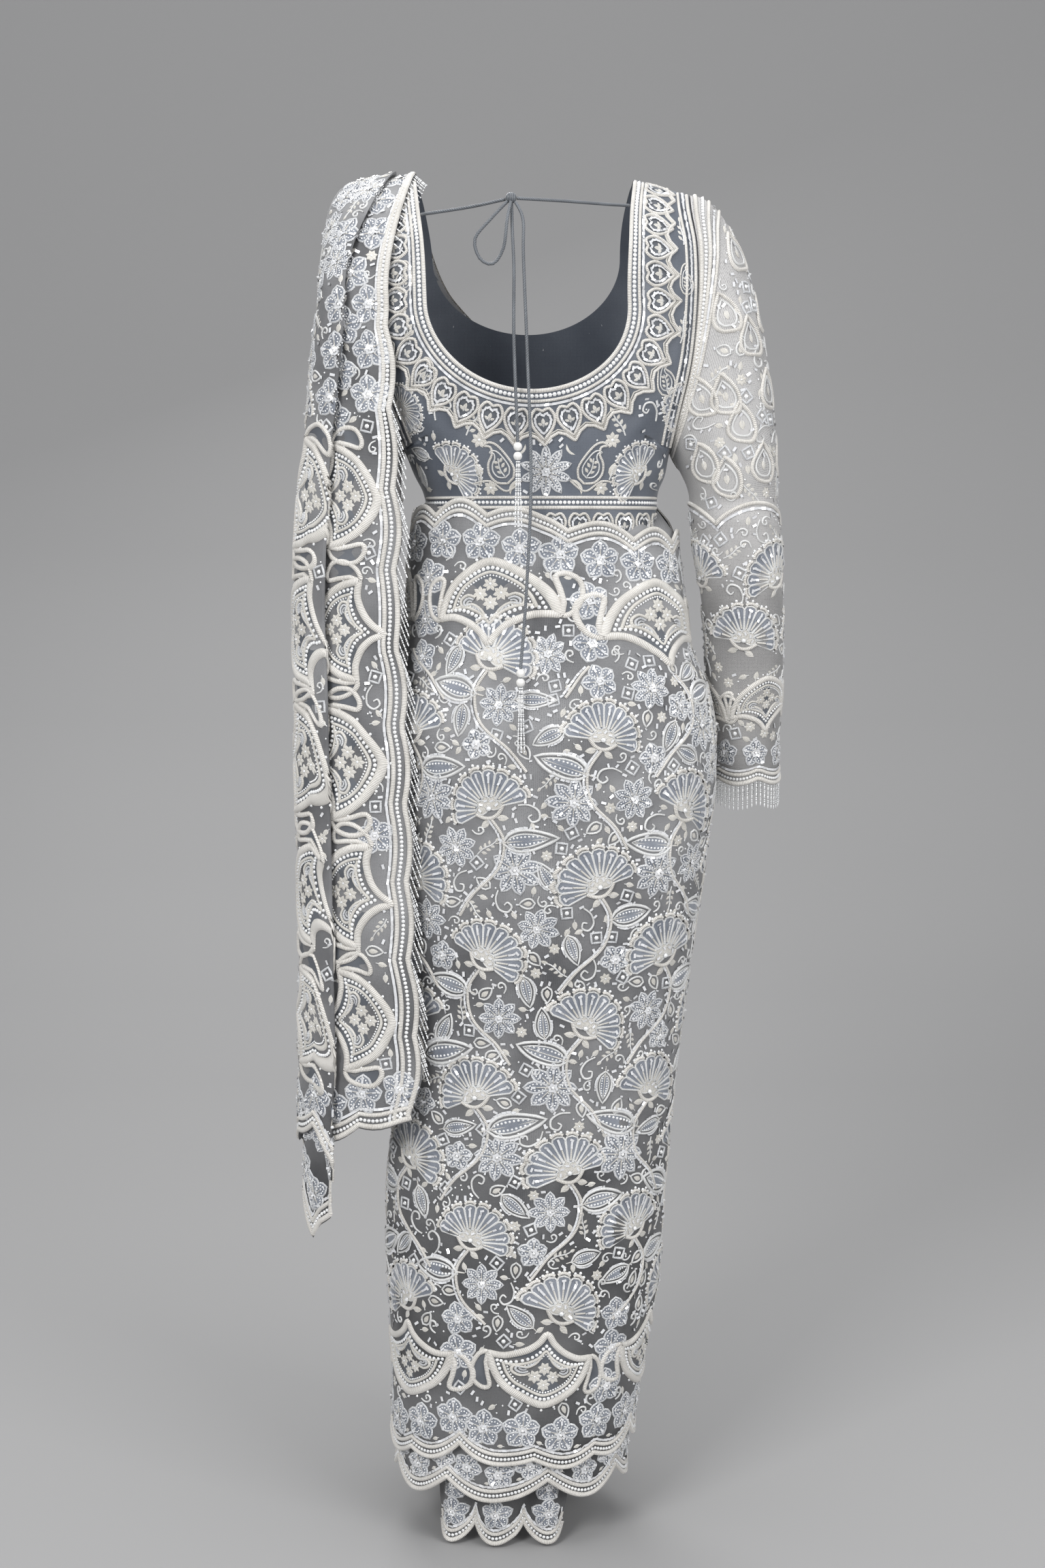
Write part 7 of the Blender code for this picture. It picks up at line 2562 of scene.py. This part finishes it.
@dataclass
class Fringes:
    """Bead fringes of both cuffs and of the inner border of the pallu."""

    workroom: Workroom

    def make(self, sleeves: Sleeves, shoulder: ShoulderEnd) -> None:
        """Hang the strands."""
        for word, side in (("right", -1.0), ("left", 1.0)):
            ring = sleeves.charts[word].points[0][:-1]
            work = Stitchwork()
            for point in ring:
                bead_strand(work, point + DOWN * 0.0005, DOWN, 0.026)
            piece = work.build_for("cuff_fringe_" + word, self.workroom, "cuff_fringe_" + word)
            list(sleeves.parts[word])
        work = Stitchwork()
        low, high = np.array(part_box("pallu_fringe")[0]), np.array(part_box("pallu_fringe")[1])
        heights = np.linspace(-0.985, -0.28, 70)
        edge, _ = shoulder.pallu.at(np.full_like(heights, 0.001), heights)
        for point in edge:
            if np.isfinite(point).all() and low[2] - 0.01 < point[2] < high[2]:
                bead_strand(work, point, np.array([-0.35, 0.35, -0.87]), 0.024)
        piece = work.build_for("pallu_fringe", self.workroom, "pallu_bead_fringe")
        work = Stitchwork()
        edge, _ = shoulder.pallu.at(np.full(16, 0.001), np.linspace(-0.120, -0.004, 16))
        for point in edge:
            bead_strand(work, point, np.array([-0.75, 0.10, -0.65]), 0.020)
        top = work.build(self.workroom, "shoulder_bead_fringe")[0]
        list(shoulder.pallu_parts)


@dataclass
class Studio:
    """Pale floor and backdrop, soft light, and the camera."""

    floor_height: float = -1.1185
    paper_half: float = 7.0
    paper_length: float = 12.0
    near_edge: float = 4.5
    flat: float = 6.5
    curve: float = 1.6
    eye: tuple[float, float, float] = (0.022, 2.44, 0.024)
    pitch: float = 6.59

    def make(self) -> None:
        """Set up the studio."""
        self.camera()
        self.backdrop()
        self.lights()

    def camera(self) -> None:
        """Camera behind the garment at the photograph's angle."""
        data = bpy.data.cameras.new("camera")
        data.lens, data.sensor_fit = 50.0, "VERTICAL"
        data.sensor_height, data.sensor_width = 36.0, 24.0
        data.clip_start = 0.05
        camera = bpy.data.objects.new("camera", data)
        camera.location = self.eye
        camera.rotation_euler = (math.radians(90.0 - self.pitch), 0.0, math.radians(180.0))
        bpy.context.scene.collection.objects.link(camera)
        bpy.context.scene.camera = camera

    def backdrop(self) -> None:
        """Sweep of pale paper: floor, round bend and wall."""
        sweep = bmesh.new()
        bmesh.ops.create_grid(sweep, x_segments=2, y_segments=24, size=1.0)
        for vert in sweep.verts:
            run = (1.0 - vert.co.y) / 2.0 * self.paper_length
            angle = min(max((run - self.flat) / self.curve, 0.0), math.pi / 2.0)
            y = self.near_edge - min(run, self.flat) - self.curve * math.sin(angle)
            z = self.curve * (1.0 - math.cos(angle)) + max(run - self.flat - self.curve * math.pi / 2.0, 0.0)
            vert.co = (vert.co.x * self.paper_half, y, z + self.floor_height)
        sweep.normal_update()
        if sum(face.normal.z for face in sweep.faces) < 0.0:
            bmesh.ops.reverse_faces(sweep, faces=sweep.faces)
        mesh = bpy.data.meshes.new("studio_paper")
        sweep.to_mesh(mesh)
        sweep.free()
        mesh.polygons.foreach_set("use_smooth", np.full(len(mesh.polygons), True))
        material = bpy.data.materials.new("studio_paper")
        material.use_nodes = True
        tree = material.node_tree
        shader = tree.nodes["Principled BSDF"]
        shader.inputs["Roughness"].default_value = 0.85
        noise = node(tree, "TexNoise", {"Scale": 0.6, "Vector": node(tree, "TexCoord").outputs["Object"]})
        grey = node(tree, "ValToRGB", {"Fac": noise.outputs["Fac"]},
                    ((0.0, 0.345, 0.342, 0.342), (1.0, 0.365, 0.362, 0.362)))
        tree.links.new(grey.outputs["Color"], shader.inputs["Base Color"])
        either = node(tree, "MixShader", {"Fac": node(tree, "NewGeometry").outputs["Backfacing"]})
        tree.links.new(shader.outputs["BSDF"], either.inputs[1])
        tree.links.new(node(tree, "BsdfTransparent").outputs["BSDF"], either.inputs[2])
        tree.links.new(either.outputs["Shader"], tree.nodes["Material Output"].inputs["Surface"])
        mesh.materials.append(material)
        paper = bpy.data.objects.new("studio_paper", mesh)
        bpy.context.scene.collection.objects.link(paper)

    def lights(self) -> None:
        """Large soft lights from the camera's side and a weak fill all round."""
        for name, at, size, power in (
                ("key", (1.9, 3.2, 1.9), 1.5, 98.0), ("fill", (-2.4, 2.6, 0.9), 1.9, 58.0),
                ("top", (0.0, 0.4, 3.0), 2.5, 50.0), ("rear", (0.8, -2.6, 1.8), 1.6, 40.0)):
            data = bpy.data.lights.new(name, "AREA")
            data.shape, data.size, data.energy = "SQUARE", size, power
            light = bpy.data.objects.new(name, data)
            light.location = at
            towards = Vector((0.0, 0.0, -0.1)) - Vector(at)
            light.rotation_euler = towards.to_track_quat("-Z", "Y").to_euler()
            bpy.context.scene.collection.objects.link(light)
        world = bpy.data.worlds.new("studio")
        world.use_nodes = True
        sky = world.node_tree.nodes["Background"]
        sky.inputs["Color"].default_value, sky.inputs["Strength"].default_value = (0.95, 0.97, 1.0, 1.0), 0.50
        bpy.context.scene.world = world
        bpy.context.scene.view_settings.view_transform = "Standard"


def main() -> None:
    """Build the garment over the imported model."""
    logging.basicConfig(level=logging.INFO, format="%(message)s")
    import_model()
    Studio().make()
    workroom = Workroom(Materials())
    BackTie(workroom).make()
    figures = Figures()
    Wraps(workroom, figures).make()
    FrontPleats(workroom, figures).make()
    shoulder = ShoulderEnd(workroom, figures)
    shoulder.make()
    BlouseBody(workroom, figures).make()
    sleeves = Sleeves(workroom, figures)
    sleeves.make()
    Fringes(workroom).make(sleeves, shoulder)


if __name__ == "__main__":
    main()
